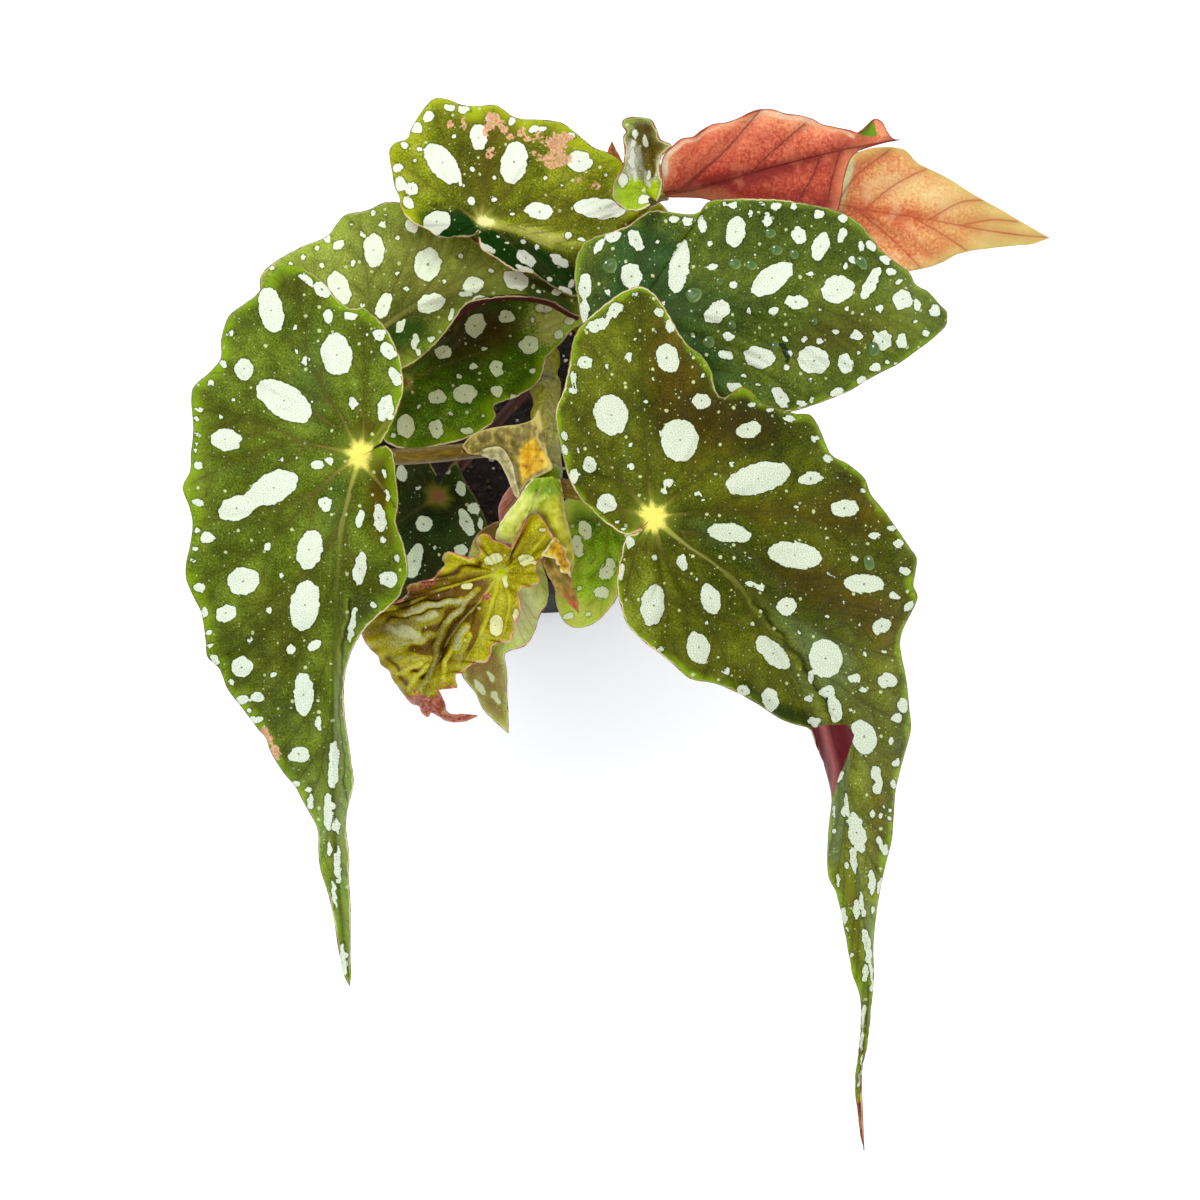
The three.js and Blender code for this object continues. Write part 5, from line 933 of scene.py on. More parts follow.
# Folds and bands: course, half width, height, brown or pale, and painted light. Pale tones with high light
# are painted highlights on fold crests; dark values are painted shade in the hollows
FOLDS = {
    "leaf_new": [
        ("94,161 98,165 101,170", 2.6, 0.0, 0.15, 0.2),
        ("92,161.4 96,166.6 99,170.6 102,174.4", 0.8, 0.2, 0.6, -0.2),
        ("97,164 99.6,167 101.6,171", 0.7, -0.3, 0.8, -0.5),
        ("111,167 112.6,163 114,157", 0.9, -0.3, 0.9, -0.5),
        ("102,150.2 108,148.2 114,147 119,145.4", 1.9, -0.4, 1.1, -0.3),
        ("98,157.4 104,156 110,153.8 114,151.8", 2.4, 0.5, -0.45, -0.5),
        ("113.4,153.4 117,153 118.6,156.6 117,161", 2.4, -0.2, 1.0, -0.1),
        ("112.4,158 112,164.6", 1.3, -0.3, 0.9, -0.4),
        ("106.4,157.6 110,156 112.6,153.8", 1.3, -0.5, 1.2, -0.5),
        ("103,162 106,162 109.4,160.6", 1.5, -0.6, 1.2, -0.3),
        ("99.4,150.9 108,149.9 114,150", 0.6, -0.7, 1.3, -1.2),
        ("97,155 104,153.4 111,151.6", 0.45, -0.6, 1.0, -1.4),
        ("101,153.2 106,151.7 111,150.8 115,150.1", 0.62, 0.8, -1.3, 1.0),
        ("97.4,156.6 101,158 106,159.6", 0.7, 0.9, -1.1, 0.7), ("100.6,157 104.6,158.2", 0.4, 1.0, -1.3, 2.2),
        ("105,154.8 109,153.6", 0.55, 0.8, -1.1, 1.0),
        ("98,161.2 103,160.2 107.6,158.8", 0.6, 0.4, -0.6, 0.3),
        ("99,164.4 103.4,164.4 107.4,164.4", 0.7, 0.4, -0.5, 0.2),
        ("104,167.6 105.6,169", 0.9, -0.8, 1.2, -1.2), ("99.6,168 102.6,167 105,165.6", 0.6, 0.5, 0.0, 1.0),
        ("102,171.8 104,168.8 106.6,166.4", 0.5, 0.5, 0.0, 0.9),
        ("117.6,151.6 113.4,156.2 111.3,160 110.4,165", 0.55, -0.8, 1.3, -1.2),
        ("119.4,147.6 116,150.6 112.2,154.8 109.9,158 109,162 108.4,166.4 105.6,172", 0.48, 1.0, -0.62, -0.1),
        ("118.6,148.6 115.4,151.4 111.8,155.4", 0.3, 1.1, -1.2, 0.8),
        ("110.6,171 111.4,166 113.2,162", 0.5, 0.6, 0.0, 1.0),
        ("114.2,161.8 115,158.8 116.4,157.2", 1.15, 0.5, -0.9, 0.7),
        ("113.8,167.4 115,163.4 117.6,159", 0.5, 0.7, -0.4, 0.3),
        ("116.6,166.4 119.4,162.4 120.8,158", 0.6, 0.5, -0.1, 1.0),
        ("119.6,163 121,156.6 123,150", 0.45, 0.5, 0.0, 0.9),
        ("117.4,157.6 119,153 119.4,150.6", 0.4, -0.5, 1.0, -0.8),
        ("110,144.2 115,142.6 119.6,141", 0.7, -0.5, 1.0, -0.8),
        ("111,141.8 115,140.8 118,140", 0.7, 0.4, -0.1, 0.7), ("104,148 109,147 112,146", 0.5, 0.5, 0.7, 0.5),
        ("129,137.6 128,139.6 126.6,141.4", 0.4, -0.5, 0.9, -0.8),
        ("103.6,175.2 106.4,177 109.4,178.4 113,179.9 117,180", 0.5, -0.5, 1.2, -2.2),
        ("107,174.6 108.6,176.6 111.6,178.2", 0.4, 0.6, 0.0, 2.0),
        ("105.6,174.4 106.6,177.8", 0.35, -0.5, 1.2, -2.0),
        ("109.6,172.4 110.4,175.4", 0.35, -0.5, 1.2, -2.0)],
    "leaf_front": [("186,172 194,177.4 202,180", 2.2, 0.0, -0.3, -1.3),
                   ("188,150 196,160 201,167 206,174 209,180", 0.5, -0.5, 0.1, -1.3),
                   ("187.4,150.4 195.2,160.2 200,167", 0.35, 0.3, 0.0, 1.0),
                   ("212,187 210.8,196.7 211.3,202 212.7,211 213.9,217 214.9,223.4 216.1,230.5 217.2,238",
                    0.35, 0.4, -0.9, 2.6),
                   ("211.6,190 209.6,197 209,205 209.6,214", 1.0, 0.0, -1.2, 1.3)],
    "leaf_left": [("87.2,150 85.4,162 84.6,176 85.6,190 86.4,206", 0.45, -0.3, 0.2, -1.3),
                  ("86.4,150 84.6,163 83.8,178 84.8,194", 0.4, 0.2, 0.0, 1.2)],
    "leaf_back": [("122,55.8 127,56.6 132,58.6 138,61.2", 0.95, 0.0, -0.1, 1.5),
                  ("123,59 129,61.4 136,64.8 146,71.6", 1.1, 0.0, -1.6, -2.6)],
    "leaf_turned_red": [("165.8,43 166.2,39.4 168.8,36.8", 1.1, 0.0, -1.6, 1.6),
                        ("168.8,36.6 173,34.9 178,32.1 186,29.7 191,28.3 200,29.8 206,32.2 213,33.8", 0.8,
                         0.0, -1.0, 1.2)],
    "leaf_cupped": [("158,31 161,32 163,36", 3.2, 0.0, 1.3, -0.1),
                    ("158.2,35 157.6,38 158.2,41 158.8,45", 0.45, 0.0, -0.2, 2.4),
                    ("159.6,37 160.6,42 162.4,46", 0.5, 0.0, 0.2, 1.3),
                    ("162.6,35 163.2,39 163.2,44", 0.6, 0.0, 1.5, -0.9)],
}
# Where the glow at the stalk reaches farther (negative) or less far
HUB_SHIFTS = {"leaf_back": [(123.4, 55.8, 4, 1.1, 14, -2.0), (116, 56, 5, 5, 0, 3.0),
                            (124, 62, 6, 3, 0, 6.0)]}

# How the pale margin line comes in: along x (0) or y (1), from none to full, in sheet millimetres
PALE_RIMS = {"leaf_left": (0, 72, 88), "leaf_front": (0, 188, 168), "leaf_right": (0, 226, 196),
             "leaf_back": (1, 46, 58), "leaf_pale": (1, 40, 66)}

# Regions hidden in the photograph that get spots of their own, as x, y corners
HIDDEN = {
    "leaf_right": [(150, 84, 200, 102)], "leaf_back": [(150, 54, 172, 68)], "leaf_pale": [(66, 68, 90, 86)],
    "leaf_inner": [(100, 74, 148, 82)], "leaf_low": [(64, 116, 100, 156)],
    "leaf_tucked": [(156, 126, 186, 160)],
}


# Materials
LIGHT = 1.3  # how much light falls on the plant; leaf colours are written as they look in that light


def srgb(red, green, blue):
    channels = [c / 255 for c in (red, green, blue)]
    return tuple(c / 12.92 if c <= 0.04045 else ((c + 0.055) / 1.055) ** 2.4 for c in channels) + (1.0,)


def seen(color):
    """The surface colour that looks like this one under the scene's light."""
    return tuple(c / LIGHT for c in srgb(*color)[:3]) + (1.0,)


class Shader:
    """A node material with short calls; each call returns an output socket."""

    def __init__(self, name):
        self.material = bpy.data.materials.new(name)
        self.material.use_nodes = True
        self.tree = self.material.node_tree
        self.surface = self.tree.nodes["Principled BSDF"]

    def node(self, kind, **settings):
        node = self.tree.nodes.new(kind)
        for key, value in settings.items():
            setattr(node, key, value)
        return node

    def put(self, socket, value):
        if isinstance(value, bpy.types.NodeSocket):
            self.tree.links.new(value, socket)
        elif isinstance(value, tuple) and len(value) == 3 and socket.type == "RGBA":
            socket.default_value = seen(value)
        else:
            socket.default_value = value

    def attribute(self, name, vector=False):
        node = self.node("ShaderNodeAttribute", attribute_name=name)
        return node.outputs["Vector" if vector else "Fac"]

    def math(self, operation, a, b=0.0, clamp=False):
        node = self.node("ShaderNodeMath", operation=operation, use_clamp=clamp)
        self.put(node.inputs[0], a)
        self.put(node.inputs[1], b)
        return node.outputs[0]

    def times(self, a, b):
        return self.math("MULTIPLY", a, b)

    def plus(self, a, b):
        return self.math("ADD", a, b)

    def length(self, vector):
        node = self.node("ShaderNodeVectorMath", operation="LENGTH")
        self.put(node.inputs[0], vector)
        return node.outputs["Value"]

    def rising(self, value, low, high):
        node = self.node("ShaderNodeMapRange", interpolation_type="SMOOTHSTEP")
        self.put(node.inputs["Value"], value)
        node.inputs["From Min"].default_value, node.inputs["From Max"].default_value = low, high
        return node.outputs["Result"]

    def falling(self, value, low, high):
        return self.math("SUBTRACT", 1.0, self.rising(value, low, high))

    def ramp(self, value, stops):
        node = self.node("ShaderNodeValToRGB")
        ramp = node.color_ramp
        while len(ramp.elements) < len(stops):
            ramp.elements.new(0.5)
        for element, (place, color) in zip(ramp.elements, stops):
            element.position, element.color = place, seen(color)
        self.put(node.inputs["Fac"], value)
        return node.outputs["Color"]

    def mix(self, share, a, b):
        node = self.node("ShaderNodeMix", data_type="RGBA")
        self.put(node.inputs["Factor"], share)
        self.put(node.inputs[6], a)
        self.put(node.inputs[7], b)
        return node.outputs[2]

    def noise(self, vector, scale, detail=3.0, roughness=0.55, flat=False):
        node = self.node("ShaderNodeTexNoise", noise_dimensions="2D" if flat else "3D")
        self.put(node.inputs["Vector"], vector)
        node.inputs["Scale"].default_value = scale
        node.inputs["Detail"].default_value = detail
        node.inputs["Roughness"].default_value = roughness
        return node.outputs["Fac"]

    def swing(self, vector, scale, size, detail=3.0):
        """Noise on the sheet, between about minus and plus a third of size."""
        return self.times(self.math("SUBTRACT", self.noise(vector, scale, detail, flat=True), 0.5), size)

    def cells(self, vector, scale, feature="F1", flat=False):
        node = self.node("ShaderNodeTexVoronoi", feature=feature, voronoi_dimensions="2D" if flat else "3D")
        self.put(node.inputs["Vector"], vector)
        node.inputs["Scale"].default_value = scale
        return node

    def dots(self, vector, scale, share, radius, rough=0.0):
        """Dots in a share of the cells of a pattern, up to radius in size, both measured in cells."""
        cell = self.cells(vector, scale, flat=True)
        pick = self.node("ShaderNodeSeparateColor")
        self.put(pick.inputs[0], cell.outputs["Color"])
        size = self.times(self.rising(pick.outputs[0], 1.0 - share, 1.0), radius)
        gap = self.math("SUBTRACT", size, cell.outputs["Distance"])
        if rough:
            gap = self.plus(gap, self.swing(vector, scale * 6, rough))
        return self.rising(gap, -0.02, 0.035)

    def place(self):
        return self.node("ShaderNodeTexCoord").outputs["Object"]

    def bump(self, height, distance, strength=1.0):
        node = self.node("ShaderNodeBump")
        node.inputs["Strength"].default_value = strength
        node.inputs["Distance"].default_value = distance
        self.put(node.inputs["Height"], height)
        return node.outputs["Normal"]

    def finish(self, color, roughness, normal=None, **constants):
        self.put(self.surface.inputs["Base Color"], color)
        self.put(self.surface.inputs["Roughness"], roughness)
        if normal is not None:
            self.put(self.surface.inputs["Normal"], normal)
        for key, value in constants.items():
            self.surface.inputs[key.replace("_", " ")].default_value = value
        return self.material


# Spot colours past 255, here and in the looks below, make the white spots brighter than their own white:
# painted light for spots in the shade of the leaves above.
LEAF_LOOK = {
    "deep": (34, 48, 0), "mid": (88, 104, 14), "bright": (124, 144, 40), "brown": (58, 48, 0),
    "brown_bright": (112, 94, 4), "teal": (50, 76, 20), "teal_bright": (104, 128, 52), "lit": (150, 166, 50),
    "edge": (140, 176, 0), "edge_width": 3.8, "edge_share": 0.9, "line": (238, 226, 170),
    "outline": (120, 52, 22), "spot": (256, 262, 244), "spot_net": (158, 180, 130), "spot_share": 1.0,
    "speck": (216, 226, 164), "specks": 0.34,
    "vein": [(0, (190, 172, 80)), (0.08, (110, 98, 38)), (0.2, (74, 66, 20)), (1, (46, 46, 4))],
    "rib_vein": [(0, (214, 200, 96)), (0.15, (156, 154, 74)), (0.5, (124, 128, 54)), (0.75, (64, 72, 20)),
                 (1, (44, 48, 4))],
    "vein_share": 0.8, "glow": (250, 238, 112), "glow_size": 2.9, "gloss": 0.45, "sheen": 0.05,
    "scar": ((206, 144, 100), (240, 190, 150)), "flap": ((164, 86, 82), (96, 24, 30)),
}
# leaf_tucked's greens are painted lighter, as painted light; leaf_low's dark greens are partly its own colour
# and partly painted shade from the leaves above it.
LOOKS = {
    "leaf_left": {"vein": [(0, (206, 190, 96)), (0.1, (140, 122, 58)), (0.26, (92, 80, 28)),
                           (1, (48, 50, 6))]},
    "leaf_front": {"mid": (85, 92, 4), "bright": (116, 124, 24), "edge_width": 1.9, "outline": (134, 48, 30),
                   "spot": (243, 250, 228), "spot_net": (146, 162, 112), "teal_bright": (128, 148, 84),
                   "scar": ((132, 52, 48), (184, 110, 92))},
    "leaf_right": {"deep": (28, 48, 0), "mid": (90, 110, 24), "bright": (126, 142, 44), "teal": (26, 64, 16),
                   "teal_bright": (76, 110, 46), "brown": (58, 54, 6), "brown_bright": (112, 106, 30),
                   "glow_size": 0.4, "sheen": 0.08, "gloss": 0.36, "edge_width": 1.5, "edge_share": 0.6,
                   "vein_share": 0.3,
                   "vein": [(0, (50, 84, 40)), (0.2, (40, 62, 20)), (1, (36, 54, 10))],
                   "rib_vein": [(0, (60, 96, 50)), (0.4, (50, 76, 24)), (1, (36, 54, 10))],
                   "scar": ((6, 10, 8), (26, 38, 28))},
    "leaf_back": {"mid": (112, 120, 12), "bright": (158, 168, 26), "deep": (44, 56, 0),
                  "edge": (182, 196, 14), "teal": (16, 54, 0), "teal_bright": (76, 122, 4),
                  "lit": (198, 200, 90), "brown": (62, 50, 4), "edge_width": 4.5, "edge_share": 0.9,
                  "glow_size": 1.8, "glow": (246, 240, 160), "vein_share": 0.5, "spot": (252, 255, 240),
                  "spot_net": (206, 220, 184)},
    "leaf_pale": {"spot": (262, 274, 244), "spot_net": (204, 222, 176),
                  "deep": (58, 76, 10), "mid": (120, 134, 44), "bright": (154, 168, 66),
                  "lit": (186, 206, 84), "edge": (160, 190, 50), "brown": (76, 70, 14),
                  "brown_bright": (128, 120, 52), "teal": (42, 80, 8), "teal_bright": (84, 116, 30),
                  "edge_width": 5.0, "edge_share": 0.5, "vein_share": 0.4,
                  "flap": ((96, 44, 34), (58, 18, 20)), "glow_size": 0.5},
    "leaf_inner": {"deep": (28, 52, 0), "mid": (70, 110, 4), "bright": (110, 156, 18), "brown": (40, 38, 0),
                   "brown_bright": (96, 84, 10), "lit": (226, 240, 116), "spot": (236, 250, 200),
                   "flap": ((104, 46, 40), (58, 20, 20)),
                   "spot_net": (176, 204, 136), "glow": (150, 116, 50), "glow_size": 1.0, "specks": 0.2,
                   "vein_share": 0.12},
    "leaf_low": {"deep": (12, 26, 4), "mid": (42, 62, 18), "bright": (68, 94, 36), "edge": (70, 104, 30),
                 "spot": (244, 262, 226), "spot_net": (176, 198, 150), "glow": (150, 104, 62), "specks": 0.2,
                 "line": (150, 156, 90), "glow_size": 1.5, "vein_share": 0.06, "edge_share": 0.4},
    "leaf_tucked": {"deep": (64, 124, 0), "mid": (164, 222, 36), "bright": (216, 244, 76),
                    "lit": (236, 246, 120), "edge": (214, 228, 90), "edge_width": 5.0,
                    "spot": (258, 276, 222), "spot_net": (212, 234, 168), "glow_size": 0.5,
                    "vein_share": 0.25, "specks": 0.2},
    # leaf_new's blue-green pair is grey, for the painted highlights on its fold crests.
    "leaf_new": {"deep": (108, 88, 0), "mid": (164, 152, 0), "bright": (204, 198, 6), "brown": (66, 42, 0),
                 "brown_bright": (148, 110, 8), "edge": (214, 206, 10), "lit": (232, 228, 110),
                 "teal": (112, 108, 66), "teal_bright": (204, 204, 142), "edge_width": 1.8, "edge_share": 0.5,
                 "line": (236, 172, 146), "outline": (198, 106, 86), "spot": (248, 248, 194),
                 "spot_net": (226, 228, 130), "spot_share": 0.95, "speck": (230, 230, 150), "specks": 0.15,
                 "gloss": 0.25, "sheen": 0.14, "vein_share": 0.7, "glow_size": 1.1, "glow": (206, 216, 10),
                 "vein": [(0, (214, 214, 20)), (0.3, (214, 210, 40)), (0.6, (200, 196, 60)),
                          (1, (170, 160, 60))],
                 "rib_vein": [(0, (206, 204, 60)), (0.3, (190, 180, 100)), (1, (160, 150, 90))],
                 "scar": ((132, 50, 44), (202, 112, 94))},
    "leaf_hanging": {"deep": (144, 166, 50), "mid": (208, 236, 94), "bright": (238, 252, 144),
                     "lit": (240, 248, 180), "edge": (176, 196, 96), "spot": (218, 224, 180),
                     "spot_net": (200, 208, 150), "line": (222, 206, 160), "brown": (122, 102, 44),
                     "brown_bright": (192, 170, 98), "specks": 0.15, "vein_share": 0.25, "glow_size": 0.5,
                     "edge_width": 1.3, "edge_share": 0.6},
    # leaf_cupped's greys and near-whites paint the sheen of light in its glossy hollow.
    "leaf_cupped": {"deep": (96, 98, 50), "mid": (158, 160, 112), "bright": (206, 208, 176),
                    "lit": (244, 246, 232), "edge": (150, 184, 20), "edge_width": 1.4,
                    "spot": (250, 252, 232), "spot_net": (220, 226, 190), "gloss": 0.25, "sheen": 0.2,
                    "outline": (150, 76, 50), "specks": 0.2, "glow_size": 0.2, "vein_share": 0.2,
                    "teal": (128, 166, 0), "teal_bright": (200, 226, 0), "brown": (74, 58, 6),
                    "brown_bright": (150, 128, 44)},
}
TURNED_LOOK = {
    "leaf_turned_red": {"deep": (160, 44, 26), "mid": (204, 84, 56), "bright": (238, 122, 84),
                        "lit": (252, 168, 118), "edge": (236, 150, 100), "vein_dark": (104, 20, 12),
                        "streak": (228, 124, 90), "line": (132, 26, 14), "vein_share": 0.62,
                        "brown": (136, 30, 22), "shade": 0.22, "cream": (255, 236, 200),
                        "corner": (110, 150, 6)},
    "leaf_turned_pale": {"deep": (206, 82, 40), "mid": (228, 132, 76), "bright": (246, 184, 116),
                         "cream": (226, 232, 170),
                         "lit": (250, 220, 150), "edge": (222, 206, 116), "vein_dark": (182, 72, 40),
                         "streak": (250, 206, 150), "line": (214, 186, 100), "tip": (214, 190, 106),
                         "vein_share": 0.6, "brown": (196, 78, 48), "shade": 0.2},
}
UNDER_LOOK = {"cream": (220, 150, 120), "deep": (122, 36, 26), "mid": (170, 66, 52), "bright": (204, 102, 80),
              "lit": (220, 130, 100),
              "edge": (176, 120, 60), "vein_dark": (96, 22, 18), "streak": (200, 108, 84),
              "line": (222, 180, 130), "vein_share": 0.6, "brown": (120, 30, 24), "shade": 0.4}


def mottle(shader, sheet, fine=2.0):
    """The blade's uneven colour: grain the size of its cells, on slower clouds."""
    grain = shader.noise(sheet, fine, 5, 0.75, flat=True)
    patch = shader.noise(sheet, 0.3, 3, 0.5, flat=True)
    cloud = shader.noise(sheet, 0.07, 2, 0.5, flat=True)
    both = shader.plus(shader.times(patch, 0.17), shader.times(cloud, 0.24))
    return shader.plus(shader.times(grain, 0.59), both)


UPPER_FIELDS = ("rim", "hub", "tone", "lit", "vein", "vein_far", "spot")


def upper_skin(name, look):
    """The spotted upper side of a blade."""
    look = {**LEAF_LOOK, **look}
    s = Shader(name)
    sheet = s.attribute("sheet", vector=True)
    field = {key: s.attribute(key) for key in UPPER_FIELDS}
    cloud = mottle(s, sheet)
    field["cloud"] = cloud
    field["loose"] = s.math("SUBTRACT", cloud, 0.5)
    color = with_margin_band(s, sheet, field, look, ground_color(s, sheet, field, look))
    color = with_specks(s, sheet, look, color)
    field["far"] = s.plus(field["vein_far"], s.swing(sheet, 1.2, 0.5))
    color = with_veins(s, field, look, color)
    color = with_spots(s, sheet, field, look, color)
    color = with_glow(s, field, look, color)
    color = with_scars(s, sheet, look, color)
    color = with_rim(s, sheet, field, look, color)
    grain = s.times(s.noise(sheet, 1.3, 5, 0.65, flat=True), 0.6)
    height = s.plus(grain, s.times(s.rising(field["vein_far"], 0.0, 1.4), 0.6))
    rough = s.plus(look["gloss"] - 0.06, s.times(cloud, 0.16))
    return s.finish(color, rough, s.bump(height, 0.0003, 0.75), Specular_IOR_Level=look["sheen"])


def ground_color(s, sheet, field, look):
    """Green, with brown and blue-green zones and a network of fine veins."""
    # The painted light and shade of the lit field move the greens lighter or darker.
    shade = s.plus(field["cloud"], s.times(field["lit"], 0.13))
    green = s.ramp(shade, [(0.34, look["deep"]), (0.49, look["mid"]), (0.6, look["bright"]),
                           (0.72, look["lit"])])
    brown = s.ramp(shade, [(0.36, look["brown"]), (0.62, look["brown_bright"])])
    teal = s.ramp(shade, [(0.36, look["teal"]), (0.64, look["teal_bright"])])
    zone = s.plus(field["tone"], field["loose"])
    color = s.mix(s.rising(zone, 0.1, 0.9), green, brown)
    color = s.mix(s.falling(zone, -0.85, -0.15), color, teal)
    net = s.cells(sheet, 0.42, feature="DISTANCE_TO_EDGE", flat=True).outputs["Distance"]
    return s.mix(s.times(s.falling(net, 0.0, 0.07), 0.22), color, look["deep"])


def with_margin_band(s, sheet, field, look, color):
    """The shade along the big veins, and the brighter band inside the margin."""
    in_light = s.rising(field["lit"], -1.8, 0.0)
    near_vein = s.times(s.falling(field["vein_far"], 0.0, 3.0), in_light)
    color = s.mix(s.times(near_vein, 0.3), color, look["brown"])
    ragged = s.plus(s.plus(field["rim"], s.times(field["loose"], 8.0)), s.swing(sheet, 0.12, 5.0))
    band = s.times(s.falling(ragged, 0.3, look["edge_width"]), look["edge_share"])
    band_color = s.mix(s.rising(field["cloud"], 0.35, 0.54), look["mid"], look["edge"])
    return s.mix(s.times(band, in_light), color, band_color)


def with_specks(s, sheet, look, color):
    """Specks in two sizes."""
    big = s.dots(sheet, 0.3, look["specks"], 0.14, 0.12)
    small = s.dots(sheet, 0.8, look["specks"] * 0.7, 0.16)
    return s.mix(s.times(s.math("MAXIMUM", s.times(small, 0.7), big), 0.85), color, look["speck"])


def with_veins(s, field, look, color):
    """Veins, light and soft at the stalk and dark farther out."""
    hub = field["hub"]
    width = s.math("SUBTRACT", s.math("ABSOLUTE", field["vein"]), s.times(s.falling(hub, 1.0, 14.0), 0.22))
    line = s.times(s.falling(width, 0.05, 0.5), s.falling(field["far"], 0.8, 1.4))
    line = s.times(line, s.math("SUBTRACT", 1.0, s.times(s.rising(hub, 8.0, 34.0), 0.55)))
    reach = s.math("DIVIDE", hub, 60.0)
    on_rib = s.falling(s.math("ABSOLUTE", s.attribute("rib")), 0.4, 0.7)
    line_color = s.mix(on_rib, s.ramp(reach, look["vein"]), s.ramp(reach, look["rib_vein"]))
    return s.mix(s.times(line, look["vein_share"]), color, line_color)


def with_spots(s, sheet, field, look, color):
    """Spots with a thin dark edge, a pale net and a dark point in the middle."""
    edge = s.plus(field["spot"], s.plus(s.swing(sheet, 1.9, 0.36, 3), s.swing(sheet, 0.6, 0.7, 2)))
    color = s.mix(s.times(s.falling(edge, 0.0, 0.5), 0.6), color, look["deep"])
    net = s.cells(sheet, 1.5, feature="DISTANCE_TO_EDGE", flat=True).outputs["Distance"]
    streak = s.rising(s.noise(sheet, 3.4, 5, 0.85, flat=True), 0.42, 0.7)
    pale = s.mix(s.times(s.falling(net, 0.0, 0.12), 0.55), look["spot"], look["spot_net"])
    pale = s.mix(s.times(streak, 0.85), pale, look["spot_net"])
    core = s.length(s.attribute("core", vector=True))
    pale = s.mix(s.times(s.falling(core, 0.14, 0.34), 0.7), pale, look["deep"])
    # Spots in painted shade are dulled toward the mid green.
    pale = s.mix(s.times(s.falling(field["lit"], -1.4, -0.1), 0.14), pale, look["mid"])
    return s.mix(s.times(s.falling(edge, -0.1, 0.06), look["spot_share"]), color, pale)


def with_glow(s, field, look, color):
    """Glow where the stalk joins, running a little way out along the veins."""
    size = look["glow_size"]
    out = s.math("SUBTRACT", field["hub"], s.times(s.falling(field["far"], 0.0, 1.5), 0.5 * size))
    out = s.plus(out, s.plus(s.times(field["loose"], 5.0), s.attribute("hub_shift")))
    halo = s.times(s.falling(out, 0.5 * size, 2.6 * size), 0.5)
    color = s.mix(halo, color, look["lit"])
    return s.mix(s.falling(out, 0.3 * size, 1.2 * size), color, look["glow"])


def with_scars(s, sheet, look, color):
    """Scars, and the parts that are turned over."""
    torn = s.plus(1.0, s.plus(s.swing(sheet, 1.1, 2.6, 3), s.swing(sheet, 0.4, 2.4, 2)))
    scar = s.times(s.attribute("scar"), torn)
    low, high = look["scar"]
    scar_color = s.ramp(s.noise(sheet, 1.6, 5, flat=True), [(0.35, low), (0.6, high)])
    color = s.mix(s.times(s.rising(scar, 0.45, 0.62), 0.9), color, scar_color)
    near, away = look["flap"]
    stripe = s.ramp(s.math("ABSOLUTE", s.attribute("flap_line")), [(0.0, near), (0.6, away)])
    return s.mix(s.falling(s.attribute("flap"), -0.15, 0.1), color, stripe)


def with_rim(s, sheet, field, look, color):
    """The pale margin line and its dark outer edge."""
    wavy = s.plus(field["rim"], s.swing(sheet, 0.5, 0.8, 2))
    worn = s.rising(s.noise(sheet, 0.06, 2, flat=True), 0.4, 0.6)
    pale_rim = s.times(s.attribute("pale_rim"), s.plus(0.3, s.times(worn, 0.7)))
    color = s.mix(s.times(s.falling(wavy, 0.28, 0.55), pale_rim), color, look["line"])
    return s.mix(s.times(s.falling(wavy, 0.02, 0.22), 0.85), color, look["outline"])


def under_skin(name, look):
    """The red under side of a blade, with darker veins."""
    s = Shader(name)
    sheet = s.attribute("sheet", vector=True)
    rim, hub, vein, vein_far, lit, tone = (
        s.attribute(key) for key in ("rim", "hub", "vein", "vein_far", "lit", "tone"))
    # The painted light and shade of the lit field move the reds lighter or darker.
    cloud = s.plus(mottle(s, sheet, 1.2), s.times(lit, 0.13))
    loose = s.math("SUBTRACT", cloud, 0.5)
    color = s.ramp(cloud, [(0.34, look["deep"]), (0.49, look["mid"]), (0.6, look["bright"]),
                           (0.74, look["lit"])])
    color = s.mix(s.times(s.rising(tone, 0.1, 0.9), 0.85), color, look["brown"])
    color = s.mix(s.falling(s.plus(tone, s.times(loose, 2.0)), -1.0, -0.3), color, look["cream"])
    streaks = s.cells(sheet, 0.7, feature="DISTANCE_TO_EDGE", flat=True).outputs["Distance"]
    color = s.mix(s.times(s.falling(streaks, 0.02, 0.16), 0.6 * look["shade"]), color, look["vein_dark"])
    pale = s.rising(s.noise(sheet, 0.16, 4, 0.6, flat=True), 0.5, 0.7)
    color = s.mix(s.times(pale, 0.45), color, look["streak"])
    if "tip" in look:
        color = s.mix(s.times(s.rising(hub, 48.0, 78.0), 0.75), color, look["tip"])
    ragged = s.plus(rim, s.times(loose, 7.0))
    color = s.mix(s.times(s.falling(ragged, 0.2, 3.4), 0.5), color, look["edge"])
    color = s.mix(s.times(s.falling(vein_far, 0.2, 2.4), look["shade"]), color, look["vein_dark"])
    width = s.math("SUBTRACT", s.math("ABSOLUTE", vein), s.times(s.falling(hub, 2.0, 26.0), 0.35))
    line = s.times(s.falling(width, 0.1, 0.45), s.falling(vein_far, 0.9, 1.5))
    color = s.mix(s.times(line, look["vein_share"]), color, look["vein_dark"])
    if "corner" in look:
        color = s.mix(s.falling(s.attribute("flap"), -0.1, 0.15), color, look["corner"])
    color = s.mix(s.times(s.falling(rim, 0.12, 0.4), 0.8), color, look["line"])
    height = s.math("SUBTRACT", s.noise(sheet, 1.0, 5, 0.6, flat=True), s.rising(vein_far, 0.0, 1.2))
    return s.finish(color, 0.5, s.bump(height, 0.0004, 0.7), Specular_IOR_Level=0.2)


